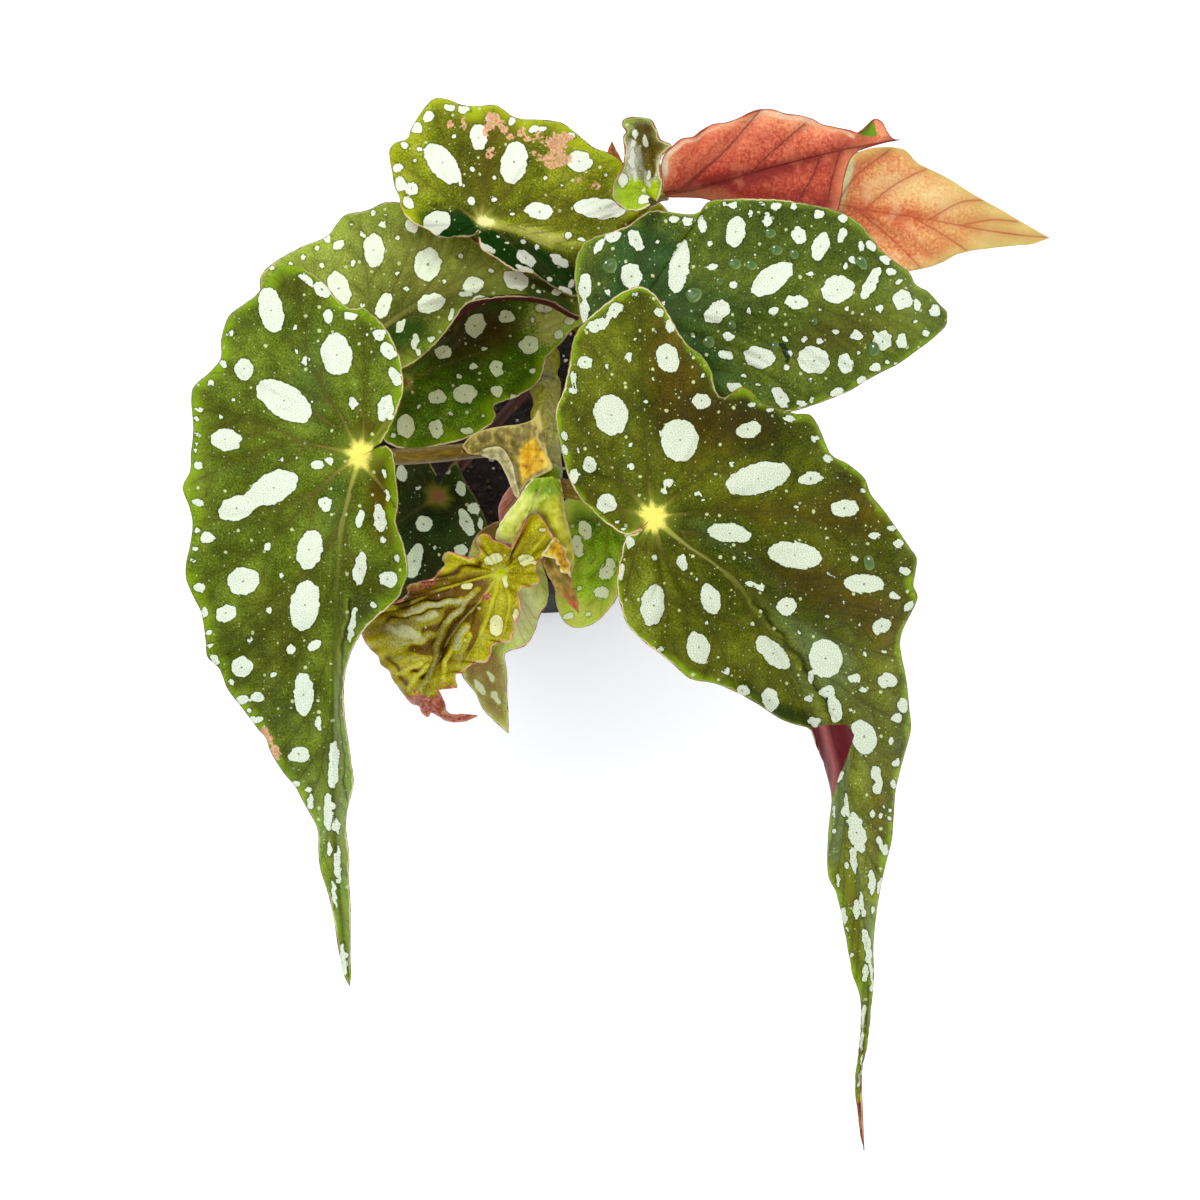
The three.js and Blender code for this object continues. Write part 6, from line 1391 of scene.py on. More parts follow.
def stem_skin(name, deep, mid, bright, fleck, gloss=0.42):
    """Stalks and canes: fine lengthwise streaks and pale flecks."""
    s = Shader(name)
    along = s.attribute("along", vector=True)
    streak = s.noise(along, 1.0, 6, 0.65)
    color = s.ramp(streak, [(0.3, deep), (0.5, mid), (0.7, bright)])
    cell = s.cells(s.place(), 620.0)
    pick = s.node("ShaderNodeSeparateColor")
    s.put(pick.inputs[0], cell.outputs["Color"])
    size = s.times(s.rising(pick.outputs[0], 0.3, 1.0), 0.34)
    dot = s.rising(s.math("SUBTRACT", size, cell.outputs["Distance"]), 0.0, 0.08)
    color = s.mix(s.times(dot, 0.6), color, fleck)
    color = s.mix(s.times(s.rising(s.attribute("node"), 0.2, 1.0), 0.55), color, deep)
    color = s.mix(s.attribute("green"), color, s.ramp(streak, [(0.3, (96, 136, 0)), (0.7, (168, 200, 10))]))
    return s.finish(color, gloss, s.bump(streak, 0.0004, 0.6), Specular_IOR_Level=0.25)


def paper_skin(name, deep, mid, bright, rim_color, tip=(134, 168, 0),
               hollow=((150, 96, 2), (222, 168, 14), (250, 214, 66)), gloss=0.45):
    """Stipules: thin and papery, with lengthwise fibres and a coloured edge."""
    s = Shader(name)
    sheet, rim = s.attribute("sheet", vector=True), s.attribute("rim")
    fibre = s.noise(s.attribute("along", vector=True), 0.7, 7, 0.7)
    patch = s.noise(sheet, 0.5, 3, flat=True)
    # The lit field adds painted light and shade, such as the highlight on the spike of stipule_old.
    shade = s.plus(s.plus(s.times(fibre, 0.45), s.times(patch, 0.55)), s.times(s.attribute("lit"), 0.13))
    color = s.ramp(shade, [(0.34, deep), (0.5, mid), (0.66, bright)])
    inner = s.ramp(shade, list(zip((0.36, 0.5, 0.64), hollow)))
    color = s.mix(s.falling(s.attribute("flap"), -0.5, 0.4), color, inner)
    color = s.mix(s.rising(s.plus(s.attribute("tone"), s.swing(sheet, 0.5, 0.8)), 0.0, 1.0), color, tip)
    ragged = s.plus(rim, s.swing(sheet, 0.9, 1.0))
    color = s.mix(s.times(s.falling(ragged, 0.1, 0.6), 0.8), color, rim_color)
    return s.finish(color, gloss, s.bump(fibre, 0.0003, 0.7), Specular_IOR_Level=0.2)


# Relief and fields of one blade
BLADE = 0.7
EDGE_THICKNESS = 0.36
FIBRE_STRETCH = [1.0, 0.12, 0.1]  # how a sheath's fibres are drawn out along the sheet
SIZES = {  # stations along the rib, columns across, spacing along the margin
    "leaf_left": (250, 35, 0.62), "leaf_front": (310, 36, 0.64), "leaf_right": (166, 39, 0.66),
    "leaf_back": (134, 36, 0.62), "leaf_pale": (112, 31, 0.74), "leaf_inner": (96, 27, 0.74),
    "leaf_low": (94, 26, 0.85), "leaf_tucked": (80, 24, 0.74), "leaf_new": (124, 42, 0.4),
    "leaf_hanging": (92, 20, 0.6), "leaf_cupped": (60, 22, 0.5), "leaf_turned_red": (110, 31, 0.74),
    "leaf_turned_pale": (122, 27, 0.74),
}
RELIEF = {  # depth of the vein grooves, height of the pads between them, edge ruffle and its length
    "leaf_new": (0.6, 0.5, 1.2, 5.5), "leaf_cupped": (0.2, 0.2, 0.2, 5.0),
    "leaf_hanging": (0.3, 0.4, 0.3, 7.0),
}
USUAL_RELIEF = (0.35, 0.75, 0.35, 8.0)
PAD_REACH, GROOVE_REACH, RUFFLE_REACH = 3.2, 1.0, 2.6  # how far each goes, from a vein or from the margin
FLAT_MARGIN = 5.0  # the relief fades out this near the margin
HUB_DIP, HUB_REACH = 0.6, 2.6  # depth and reach of the dip where the stalk joins
BUCKLE, BUCKLE_LENGTH = 0.35, 9.0  # slow waves of every blade
CRUMPLE, CRUMPLE_LENGTH = 0.12, 2.4  # finer ones on the new leaf
FOLD_HEIGHT = 1.2
FLAP_HALF_WIDTH = 2.6
HIDDEN_TRIES = 60  # places tried for hidden spots in each region
NO_SPOT, FAR_OFF = 30.0, 9.0  # distances that stand for none near


def relief(blade, fields, seed):
    """How far each point of a blade is raised from its smooth sheet."""
    if blade.name.startswith("stipule"):
        return sheath_relief(blade, fields, seed)
    groove, pad, ruffle, length = RELIEF.get(blade.name, USUAL_RELIEF)
    x, y = blade.points[:, 0], blade.points[:, 1]
    inner = smooth_step(fields["rim"], 0.0, FLAT_MARGIN)
    far = fields["vein_far"]
    lift_by = pad * (1 - np.exp(-(far / PAD_REACH) ** 2)) - groove * np.exp(-(far / GROOVE_REACH) ** 2)
    lift_by = lift_by * inner * smooth_step(fields["hub"], 1.0, 12.0)
    lift_by -= HUB_DIP * np.exp(-(fields["hub"] / HUB_REACH) ** 2)
    lift_by += BUCKLE * inner * ripple(x, y, BUCKLE_LENGTH, seed)
    wave = np.sin(2 * math.pi * blade.along / length + seed)
    lift_by += ruffle * np.exp(-fields["rim"] / RUFFLE_REACH) * wave
    if blade.name == "leaf_cupped":
        trough = np.exp(-((x - 162 + 0.12 * (y - 40)) / 2.2) ** 2) * smooth_step(-y, -46, -38)
        lift_by += 1.2 - 3.0 * trough
    if blade.name == "leaf_new":
        lift_by += CRUMPLE * inner * ripple(x, y, CRUMPLE_LENGTH, seed + 9)
    if blade.name in FOLDS:
        lift_by += FOLD_HEIGHT * inner * folds(blade.name, x, y, fields)
    return lift_by


def folds(name, x, y, fields):
    """Heights of a blade's folds; each also sets how brown or pale the blade is there and how much painted
    light or shade it has.
    """
    points = np.column_stack([x + 0.5 * ripple(x, y, 5.0, 3), y + 0.5 * ripple(x, y, 5.0, 5)])
    height = np.zeros(len(x))
    for text, width, high, tone, light in FOLDS[name]:
        far, _ = to_line(points, pairs(text))
        near = np.exp(-(far / width) ** 2)
        height += near * (high - height)
        fields["tone"] = fields["tone"] + near * (tone - fields["tone"])
        fields["lit"] = fields["lit"] + near * (light - fields["lit"])
    return height


def blade_fields(blade, seed):
    flat = blade.points[:, :2]
    outline = np.vstack([blade.outline[0][::2, :2], blade.outline[1][::-2, :2]])
    rim, _ = to_line(flat, outline)
    lines = [spline(pairs(text), 6) for text in VEINS.get(blade.name, [])] + auto_veins(blade)
    draw = np.random.default_rng(seed)
    forked = blade.name not in FEW_VEINS
    side_lines = [branch for line in lines for branch in forks(line[:, :2], draw, forked)]
    rib = resample(blade.rib[:, :2], 30)
    starts, ends = [], []
    for line in [rib] + [np.asarray(line)[:, :2] for line in lines]:
        starts.append(line[:-1])
        ends.append(line[1:])
    far, side = to_line(flat, None, np.vstack(starts), np.vstack(ends))
    thin, thin_side = to_line(flat, None, np.vstack([b[:1] for b in side_lines] or [rib[:1]]),
                              np.vstack([b[1:] for b in side_lines] or [rib[1:2]]))
    thin = thin + 0.22
    closer = thin < far
    rib_far, rib_side = to_line(flat, rib)
    far_all = np.where(closer, thin, far)
    signed = np.where(closer, thin * thin_side, far * side)
    hub = np.hypot(flat[:, 0] - blade.rib[0, 0], flat[:, 1] - blade.rib[0, 1])
    spots = [list(row) for row in pairs(SPOTS[blade.name])] if blade.name in SPOTS else []
    spots += hidden_spots(blade, spots, draw)
    spot, core = spot_field(flat, spots, seed)
    flap, flap_line = flap_fields(blade.name, flat)
    axis, none, full = PALE_RIMS.get(blade.name, (0, 0, 1))
    pale_rim = 0.12 + 0.88 * smooth_step(flat[:, axis], none, full)
    fields = {
        "rim": rim, "hub": hub, "vein": signed, "vein_far": far_all, "rib": rib_far * rib_side,
        "tone": blobs(flat, TONES.get(blade.name, [])), "scar": blobs(flat, SCARS.get(blade.name, [])),
        "lit": blobs(flat, PAINTED_LIGHT_AND_SHADE.get(blade.name, [])), "hub_shift": blobs(flat, HUB_SHIFTS.get(blade.name, [])),
        "spot": spot, "flap": flap, "flap_line": flap_line, "pale_rim": pale_rim,
    }
    return fields, core


def flap_fields(name, flat):
    """Signed distance to a turned part's outline, negative inside, and distance to its middle line."""
    if name not in FLAPS:
        return np.full(len(flat), FAR_OFF), np.full(len(flat), FAR_OFF)
    around, middle = (pairs(text) for text in FLAPS[name])
    far, _ = to_line(flat, np.vstack([around, around[:1]]))
    return np.where(inside(flat, around), -far, far), to_line(flat, middle)[0] / FLAP_HALF_WIDTH


def hidden_spots(blade, spots, draw):
    """Spots for the parts of a blade that the photograph doesn't show."""
    made = []
    outline = np.vstack([blade.outline[0][:, :2], blade.outline[1][::-1, :2]])
    for x0, y0, x1, y1 in HIDDEN.get(blade.name, []):
        for _ in range(HIDDEN_TRIES):
            x, y = draw.uniform(x0, x1), draw.uniform(y0, y1)
            size = draw.choice([0.7, 1.2, 2.6])
            if not inside(np.array([[x, y]]), outline)[0]:
                continue
            if all(math.hypot(x - s[0], y - s[1]) > size + max(s[2], s[3]) + 1.2 for s in spots + made):
                made.append([x, y, size * draw.uniform(1.0, 1.5), size * 0.9, draw.uniform(-40, 60)])
    return made


def baking_map(blade, tris, quads, walls):
    """The upper side on one half of the map and the under side on the other."""
    low, high = blade.points[:, :2].min(0), blade.points[:, :2].max(0)
    size = high - low
    flat = (blade.points[:, :2] - low) / size
    flat[:, 1] = 1 - flat[:, 1]
    tall = size[1] > size[0]
    margin_share = 0.01
    flat = margin_share + flat * (1 - 2 * margin_share)

    def half(points, which):
        points = points.copy()
        if tall:
            points[:, 0] = 0.5 * points[:, 0] + 0.5 * which
        else:
            points[:, 1] = 0.5 * points[:, 1] + 0.5 * which
        return points

    both = np.vstack([half(flat, 0), half(flat, 1)])
    wall_flat = np.vstack([half(flat, 0)] * 2)
    loops = [both[tris.ravel()], both[quads.ravel()], wall_flat[walls.ravel()]]
    return np.vstack(loops)


BLADE_PLACES = {}  # where each blade's points came to lie, for the stalk under it


def dress_blade(name, spec, materials, seed, sizes=None, node=None):
    """A blade's two skins, raised by its relief, and the wall that joins them at the margin."""
    stations, columns, spacing = sizes or SIZES[name]
    blade = Blade(name, spec, stations, columns, spacing)
    fields, core = blade_fields(blade, seed)
    sheet_points = blade.points.copy()
    sheet_points[:, 2] += relief(blade, fields, seed)
    places = lift(sheet_points)
    tris, quads = blade.tris, blade.quads
    normals = corner_normals(places, tris, quads)
    if (normals * (EYE - places)).sum() < 0:
        tris, quads, normals = tris[:, ::-1], quads[:, ::-1], -normals
    half = 0.5 * (EDGE_THICKNESS + (BLADE - EDGE_THICKNESS) * smooth_step(fields["rim"], 0, 2.5))
    count = len(places)
    BLADE_PLACES[name] = places
    vertices = np.vstack([places + normals * half[:, None], places - normals * half[:, None]])
    rim, following = blade.rim, np.roll(blade.rim, -1)
    walls = np.column_stack([following, rim, rim + count, following + count])
    edges = {(a, b) for face in tris for a, b in zip(face, np.roll(face, -1))}
    edges |= {(face[3], face[0]) for face in quads}
    edges |= {(face[i], face[i + 1]) for face in quads for i in range(3)}
    if (rim[5], following[5]) not in edges:
        walls = walls[:, ::-1]
    all_tris = np.vstack([tris, tris[:, ::-1] + count])
    all_quads = np.vstack([quads, quads[:, ::-1] + count, walls])
    slots = np.concatenate([np.zeros(len(tris)), np.ones(len(tris)), np.zeros(len(quads)),
                            np.ones(len(quads)), np.zeros(len(walls))])
    along = blade.points * FIBRE_STRETCH
    uv = baking_map(blade, all_tris, all_quads[:-len(walls)], walls)
    thing = make_mesh(
        name.replace("leaf", "blade"), vertices, all_tris, all_quads, slots,
        {key: np.tile(values, 2) for key, values in fields.items()},
        {"sheet": np.tile(blade.points * [1, 1, 0], (2, 1)), "core": np.tile(core, (2, 1)),
         "along": np.tile(along, (2, 1))}, uv)
    for material in materials:
        thing.data.materials.append(material)
    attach(thing, "root")
    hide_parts(node or name)
    return thing


UNDER_REACH, UNDER_GAP = 2.0, 0.3  # how near a blade's points count, and how far a stalk keeps off them


def under_blade(places, radii, blade):
    """Stalk places pushed away from the eye where the stalk would come through its blade."""
    ahead = np.gradient(places, axis=0)
    ahead /= np.linalg.norm(ahead, axis=1, keepdims=True)
    push = np.zeros(len(places))
    for i, place in enumerate(places):
        sight = (place - EYE) / np.linalg.norm(place - EYE)
        offset = blade - EYE
        depth = offset @ sight
        off = np.linalg.norm(offset - depth[:, None] * sight, axis=1)
        close = off < UNDER_REACH
        if close.any():
            across = np.linalg.norm(np.cross(ahead[i], sight))
            needed = depth[close].max() + radii[i] * across + UNDER_GAP
            push[i] = max(0.0, needed - (place - EYE) @ sight)
    push = np.convolve(np.pad(push, 2, "edge"), np.ones(5) / 5, "valid")
    sights = (places - EYE) / np.linalg.norm(places - EYE, axis=1, keepdims=True)
    return places + sights * push[:, None]


# Round stems
FLUTES, FLUTE_DEPTH = 5, 0.035
STREAK_ACROSS, STREAK_ALONG = 3.0, 0.22  # how the streaks of a stem are stretched


def tube(name, places, radii, sides, fields):
    """A closed tube along places, with the given radius at each ring."""
    ahead = np.gradient(places, axis=0)
    ahead /= np.linalg.norm(ahead, axis=1, keepdims=True)
    side = np.cross(ahead, [0.3, 1.0, 0.2])
    side /= np.linalg.norm(side, axis=1, keepdims=True)
    other = np.cross(ahead, side)
    turn = np.linspace(0, 2 * math.pi, sides, endpoint=False)
    ring = (side[:, None, :] * np.cos(turn)[None, :, None] + other[:, None, :] * np.sin(turn)[None, :, None])
    shape = 1 + FLUTE_DEPTH * np.sin(FLUTES * turn)[None, :]
    vertices = (places[:, None, :] + ring * (np.asarray(radii)[:, None] * shape)[:, :, None]).reshape(-1, 3)
    count = len(places)
    grid = np.arange(count * sides).reshape(count, sides)
    near = np.roll(grid, -1, axis=1)
    quads = np.stack([grid[:-1], near[:-1], near[1:], grid[1:]], axis=-1).reshape(-1, 4)
    ends = len(vertices)
    vertices = np.vstack([vertices, places[:1], places[-1:]])
    foot = np.column_stack([np.full(sides, ends), near[0], grid[0]])
    top = np.column_stack([np.full(sides, ends + 1), grid[-1], near[-1]])
    arc = np.repeat(arcs(places), sides)
    angle = np.tile(turn, count)
    along = np.column_stack([np.cos(angle) * STREAK_ACROSS, np.sin(angle) * STREAK_ACROSS,
                             arc * STREAK_ALONG])
    along = np.vstack([along, along[:1], along[-1:]])
    extra = {key: np.concatenate([np.repeat(values, sides), values[:1], values[-1:]])
             for key, values in fields.items()}
    return make_mesh(name, vertices, np.vstack([foot, top]), quads, None, extra, {"along": along})


STALK_RINGS, STALK_SIDES = 60, 24
STALK_FOOT = (0.22, 0.06)  # how much wider a stalk is at its foot, and over what share of its length
STALK_HEAD = (0.15, 0.05)


def dress_stalk(name, spec, material):
    """A leaf's stalk, a little wider at both ends."""
    thick, thin = spec["stalkRadius"]
    places = resample(spline(lift(spec["stalk"])), STALK_RINGS)
    t = np.linspace(0, 1, len(places))
    radii = thick + (thin - thick) * np.minimum(1, 3 * t)
    foot = STALK_FOOT[0] * np.exp(-(t / STALK_FOOT[1]) ** 2)
    head = STALK_HEAD[0] * np.exp(-((1 - t) / STALK_HEAD[1]) ** 2)
    radii = radii * (1 + foot + head)
    places = under_blade(places, radii, BLADE_PLACES[name])
    thing = tube(name.replace("leaf", "stalk"), places, radii, STALK_SIDES, {"node": 0 * t, "green": 0 * t})
    thing.data.materials.append(material)
    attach(thing, "root")
    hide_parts(name)


CANE_RINGS, CANE_SIDES = 260, 36
NODE_SWELL, TOP_SWELL, NODE_LENGTH = 0.9, 0.3, 0.035  # lengths along a cane are shares of it
TOP_NODES = 0.9  # nodes past this share of the cane swell less
RING_SHIFT, RING_DEPTH, RING_WIDTH, RING_MARK = 0.012, 0.35, 0.005, 0.008


def dress_cane(name, spec, material):
    """A cane with swollen nodes, each with a scar ring."""
    places = resample(spline(np.array(spec["path"], float)), CANE_RINGS)
    t = np.linspace(0, 1, CANE_RINGS)
    start, end = spec["radius"]
    radii = start + (end - start) * t
    node = np.zeros(CANE_RINGS)
    for at in spec["nodes"]:
        swell = NODE_SWELL if at < TOP_NODES else TOP_SWELL
        dent = RING_DEPTH * np.exp(-((t - at - RING_SHIFT) / RING_WIDTH) ** 2)
        radii += swell * np.exp(-((t - at) / NODE_LENGTH) ** 2) - dent
        node = np.maximum(node, np.exp(-((t - at - RING_SHIFT) / RING_MARK) ** 2))
    green = smooth_step(t, 0.972, 0.985) if name == "cane_front" else 0 * t
    radii *= np.sqrt(np.maximum(1 - smooth_step(t, 0.975, 1.0) ** 2, 0.04))
    thing = tube(name + "_stem", places, radii, CANE_SIDES, {"node": node * (1 - green), "green": green})
    thing.data.materials.append(material)
    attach(thing, "root")
    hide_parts(name)


# Pot and soil, in the sizes of the solids
POT = {"height": 100, "rim": 60, "rim_wall": 1.7, "step": 83, "neck": 56.4, "base": 43, "wall": 1.8,
       "floor": 2.5}
POT_SIDES, SOIL_SIDES, SOIL_RINGS = 144, 180, 80
ROUNDING = 0.7
DRAIN = {"count": 6, "radius": 0.003, "depth": 0.012, "ring": 0.03, "sides": 40}  # in metres
SOIL_TOP = 88
CRUMBS = {"count": 1500, "sizes": (0.5, 1.9), "detail": 1, "lump": 0.45}
GRIT = {"count": 190, "sizes": (0.7, 1.9), "detail": 2, "lump": 0.22}
LOOSE_SEED, LOOSE_REACH = 11, 56.0  # the draw of the crumbs and grit, and how far out they lie


def rounded(profile, radius, steps=4):
    """A profile with its inner corners rounded."""
    points = [np.array(profile[0], float)]
    for before, corner, after in zip(profile[:-2], profile[1:-1], profile[2:]):
        before, corner, after = (np.array(p, float) for p in (before, corner, after))
        back, on = before - corner, after - corner
        cut = min(radius, np.linalg.norm(back) / 2.2, np.linalg.norm(on) / 2.2)
        start, end = corner + back / np.linalg.norm(back) * cut, corner + on / np.linalg.norm(on) * cut
        for u in np.linspace(0, 1, steps + 1):
            points.append((1 - u) ** 2 * start + 2 * u * (1 - u) * corner + u * u * end)
    points.append(np.array(profile[-1], float))
    return np.array(points)


def lathe(name, profile, sides, shift=None):
    """A turned body whose profile starts and ends on the axis."""
    turn = np.linspace(0, 2 * math.pi, sides, endpoint=False)
    middle = profile[1:-1]
    vertices = np.column_stack([np.outer(middle[:, 0], np.cos(turn)).ravel(),
                                np.outer(middle[:, 0], np.sin(turn)).ravel(), np.repeat(middle[:, 1], sides)])
    count = len(vertices)
    vertices = np.vstack([vertices, [0, 0, profile[0, 1]], [0, 0, profile[-1, 1]]])
    if shift is not None:
        vertices = shift(vertices)
    grid = np.arange(count).reshape(len(middle), sides)
    near = np.roll(grid, -1, axis=1)
    quads = np.stack([grid[:-1], near[:-1], near[1:], grid[1:]], axis=-1).reshape(-1, 4)
    first = np.column_stack([np.full(sides, count), near[0], grid[0]])
    last = np.column_stack([np.full(sides, count + 1), grid[-1], near[-1]])
    return make_mesh(name, vertices, np.vstack([first, last]), quads)


def wall_at(z):
    """The pot's inner radius at a height."""
    low, high = POT["base"] - POT["wall"], POT["neck"] - POT["wall"]
    return low + (high - low) * (z - POT["floor"]) / (POT["step"] - POT["floor"])


def dress_pot():
    """The pot, with its stepped rim, rounded edges and drain holes."""
    inside_rim = POT["rim"] - POT["rim_wall"]
    profile = [(0, 0.8), (30, 0.8), (38, 0.8), (39, 0), (POT["base"], 0), (POT["neck"], POT["step"] - 1),
               (POT["rim"] - 0.4, POT["step"]), (POT["rim"] - 0.2, 97.6), (POT["rim"], 98),
               (POT["rim"], POT["height"]), (inside_rim, POT["height"]),
               (inside_rim - 0.3, POT["step"] + POT["wall"]), (wall_at(POT["step"]), POT["step"]),
               (POT["base"] - POT["wall"], POT["floor"]), (0, POT["floor"])]
    pot = lathe("pot_shell", rounded(profile, ROUNDING), POT_SIDES)
    drill(pot)
    pot.data.materials.clear()
    pot.data.materials.append(pot_material())
    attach(pot, "root")
    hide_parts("pot")


def drill(pot):
    """The drain holes in the floor."""
    cutters = []
    for k in range(DRAIN["count"]):
        turn = 2 * math.pi * k / DRAIN["count"]
        place = (DRAIN["ring"] * math.cos(turn), DRAIN["ring"] * math.sin(turn), 0)
        bpy.ops.mesh.primitive_cylinder_add(vertices=DRAIN["sides"], radius=DRAIN["radius"],
                                            depth=DRAIN["depth"], location=place)
        cutters.append(bpy.context.object)
    for cutter in cutters:
        cut = pot.modifiers.new("hole", "BOOLEAN")
        cut.object, cut.operation, cut.solver = cutter, "DIFFERENCE", "EXACT"
    mesh = bpy.data.meshes.new_from_object(pot.evaluated_get(bpy.context.evaluated_depsgraph_get()))
    pot.modifiers.clear()
    pot.data = mesh
    for cutter in cutters:
        bpy.data.objects.remove(cutter)


def pot_material():
    s = Shader("black_plastic")
    place = s.place()
    dust = s.noise(place, 60.0, 6, 0.6)
    scuff = s.noise(place, 900.0, 3, 0.6)
    color = s.ramp(dust, [(0.35, (6, 6, 6)), (0.6, (13, 12, 12)), (0.8, (28, 26, 24))])
    color = s.mix(s.times(s.rising(scuff, 0.62, 0.75), 0.25), color, (50, 47, 43))
    rough = s.plus(0.42, s.times(dust, 0.22))
    return s.finish(color, rough, s.bump(scuff, 0.0002, 0.5), Specular_IOR_Level=0.025)


def soil_height(x, y):
    radius = np.hypot(x, y)
    base = np.interp(radius, [0, 25, 38, 50, 57.6], [90, 90, 89, 88, 87])
    return base - 0.6 + 0.8 * ripple(x, y, 16, 3) + 0.5 * ripple(x, y, 5, 4) + 0.3 * ripple(x, y, 2.2, 5)


def dress_soil():
    """The uneven bed of soil, with crumbs and pale grit on it."""
    edge = POT["rim"] - POT["rim_wall"] - 0.9
    rings = [(r, SOIL_TOP) for r in np.linspace(edge, 1, SOIL_RINGS)]
    floor = POT["floor"] + GAP
    profile = np.array([(0, floor), (POT["base"] - POT["wall"] - GAP, floor),
                        (wall_at(POT["step"]) - GAP, POT["step"]), (edge - 0.2, POT["step"] + 2.4),
                        *rings, (0, SOIL_TOP)])

    def shift(vertices):
        top = vertices[:, 2] > SOIL_TOP - 1
        vertices[top, 2] = soil_height(vertices[top, 0], vertices[top, 1])
        return vertices

    soil = lathe("soil_bed", profile, SOIL_SIDES, shift)
    draw = np.random.default_rng(LOOSE_SEED)
    crumbs = scatter("soil_crumbs", draw, **CRUMBS)
    grit = scatter("soil_grit", draw, **GRIT)
    for thing, material in ((soil, soil_material()), (crumbs, crumb_material()), (grit, grit_material())):
        thing.data.materials.append(material)
        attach(thing, "root")
    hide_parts("soil")


def scatter(name, draw, count, sizes, detail, lump):
    """Small uneven lumps that lie on the soil."""
    ball = bmesh.new()
    bmesh.ops.create_icosphere(ball, subdivisions=detail, radius=1.0)
    corners = np.array([v.co for v in ball.verts])
    faces = np.array([[v.index for v in f.verts] for f in ball.faces])
    ball.free()
    vertices, tris = [], []
    for _ in range(count):
        radius = LOOSE_REACH * math.sqrt(draw.uniform(0, 1))
        turn = draw.uniform(0, 2 * math.pi)
        x, y = radius * math.cos(turn), radius * math.sin(turn)
        size = draw.uniform(*sizes)
        squash = draw.uniform(0.55, 1.25, 3)
        shape = corners * (1 + lump * draw.uniform(-1, 1, (len(corners), 1))) * squash * size / 2
        spin = np.linalg.qr(draw.normal(size=(3, 3)))[0]
        shape = shape @ (spin * np.sign(np.linalg.det(spin)))
        z = float(soil_height(np.array([x]), np.array([y]))[0]) + 0.22 * size
        tris.append(faces + len(vertices) * len(corners))
        vertices.append(shape + [x, y, z])
    return make_mesh(name, np.vstack(vertices), np.vstack(tris), [])


def soil_material():
    s = Shader("potting_mix")
    place = s.place()
    grain = s.noise(place, 700.0, 8, 0.75)
    damp = s.noise(place, 70.0, 3)
    color = s.ramp(grain, [(0.36, (13, 9, 6)), (0.52, (34, 24, 17)), (0.68, (68, 51, 38))])
    color = s.mix(s.times(s.rising(damp, 0.4, 0.7), 0.5), color, (16, 11, 8))
    return s.finish(color, 0.92, s.bump(grain, 0.0012, 0.9))


def crumb_material():
    s = Shader("bark_crumbs")
    place = s.place()
    grain = s.noise(place, 260.0, 5, 0.7)
    color = s.ramp(grain, [(0.34, (18, 12, 8)), (0.5, (50, 34, 22)), (0.66, (96, 70, 47))])
    return s.finish(color, 0.85, s.bump(s.noise(place, 1800.0, 4), 0.0004, 0.7))


def grit_material():
    s = Shader("pale_grit")
    place = s.place()
    pores = s.cells(place, 1900.0).outputs["Distance"]
    color = s.ramp(s.noise(place, 400.0, 4), [(0.35, (176, 168, 152)), (0.6, (222, 218, 206))])
    return s.finish(color, 0.8, s.bump(pores, 0.0003, 0.7))


# Water drops on the blue-green leaf: x, y and radius on the plan sheet
DROPS = pairs("""152.3,66.3,2.1 193.9,62.5,1.6 183.6,66.3,1.7 187.9,66.1,1.5 173.2,73.8,2.2 215.4,65.8,2
    177,85.6,1.6 182.6,81,1.2 193.6,86.4,1.1 203.4,80.6,0.9 218.4,87.4,1.8 170.6,86.6,1.3 180,70.6,1
    192.6,58.2,1.5 198.6,63.8,1.4""")
FRONT_DROP = (216.5, 140.5, 2.0)
# A bright rim of light is painted on this side of each drop.
RIM_SIDE = -135  # the side of a drop, in degrees, that shows a bright rim
DROP_RINGS, DROP_SIDES = 9, 28
DROP_HEIGHT, DROP_LIFT = 0.42, 0.06  # a drop's height as a share of its radius, and its foot over the blade
SETTLE = 0.5  # how closely a drop follows the blade under it
# Each drop's highlight is painted, at this place:
HIGHLIGHT = (0.42, -0.36, 0.04)  # the highlight's place on the drop, and its size


def drop_skin():
    """Painted to look like water: green like the blade under it, with a painted bright rim and a painted
    highlight.
    """
    s = Shader("water_drop")
    painted_rim_light, painted_highlight = s.attribute("painted_rim_light"), s.attribute("painted_highlight")
    depth = s.plus(painted_rim_light, s.swing(s.place(), 900.0, 0.3))
    body = s.ramp(depth, [(0.0, (74, 102, 46)), (0.35, (88, 116, 50)), (0.62, (124, 152, 76)),
                          (0.95, (206, 224, 152))])
    color = s.mix(s.rising(painted_highlight, 0.45, 0.6), body, (252, 255, 238))
    return s.finish(color, 0.12, Specular_IOR_Level=0.25)


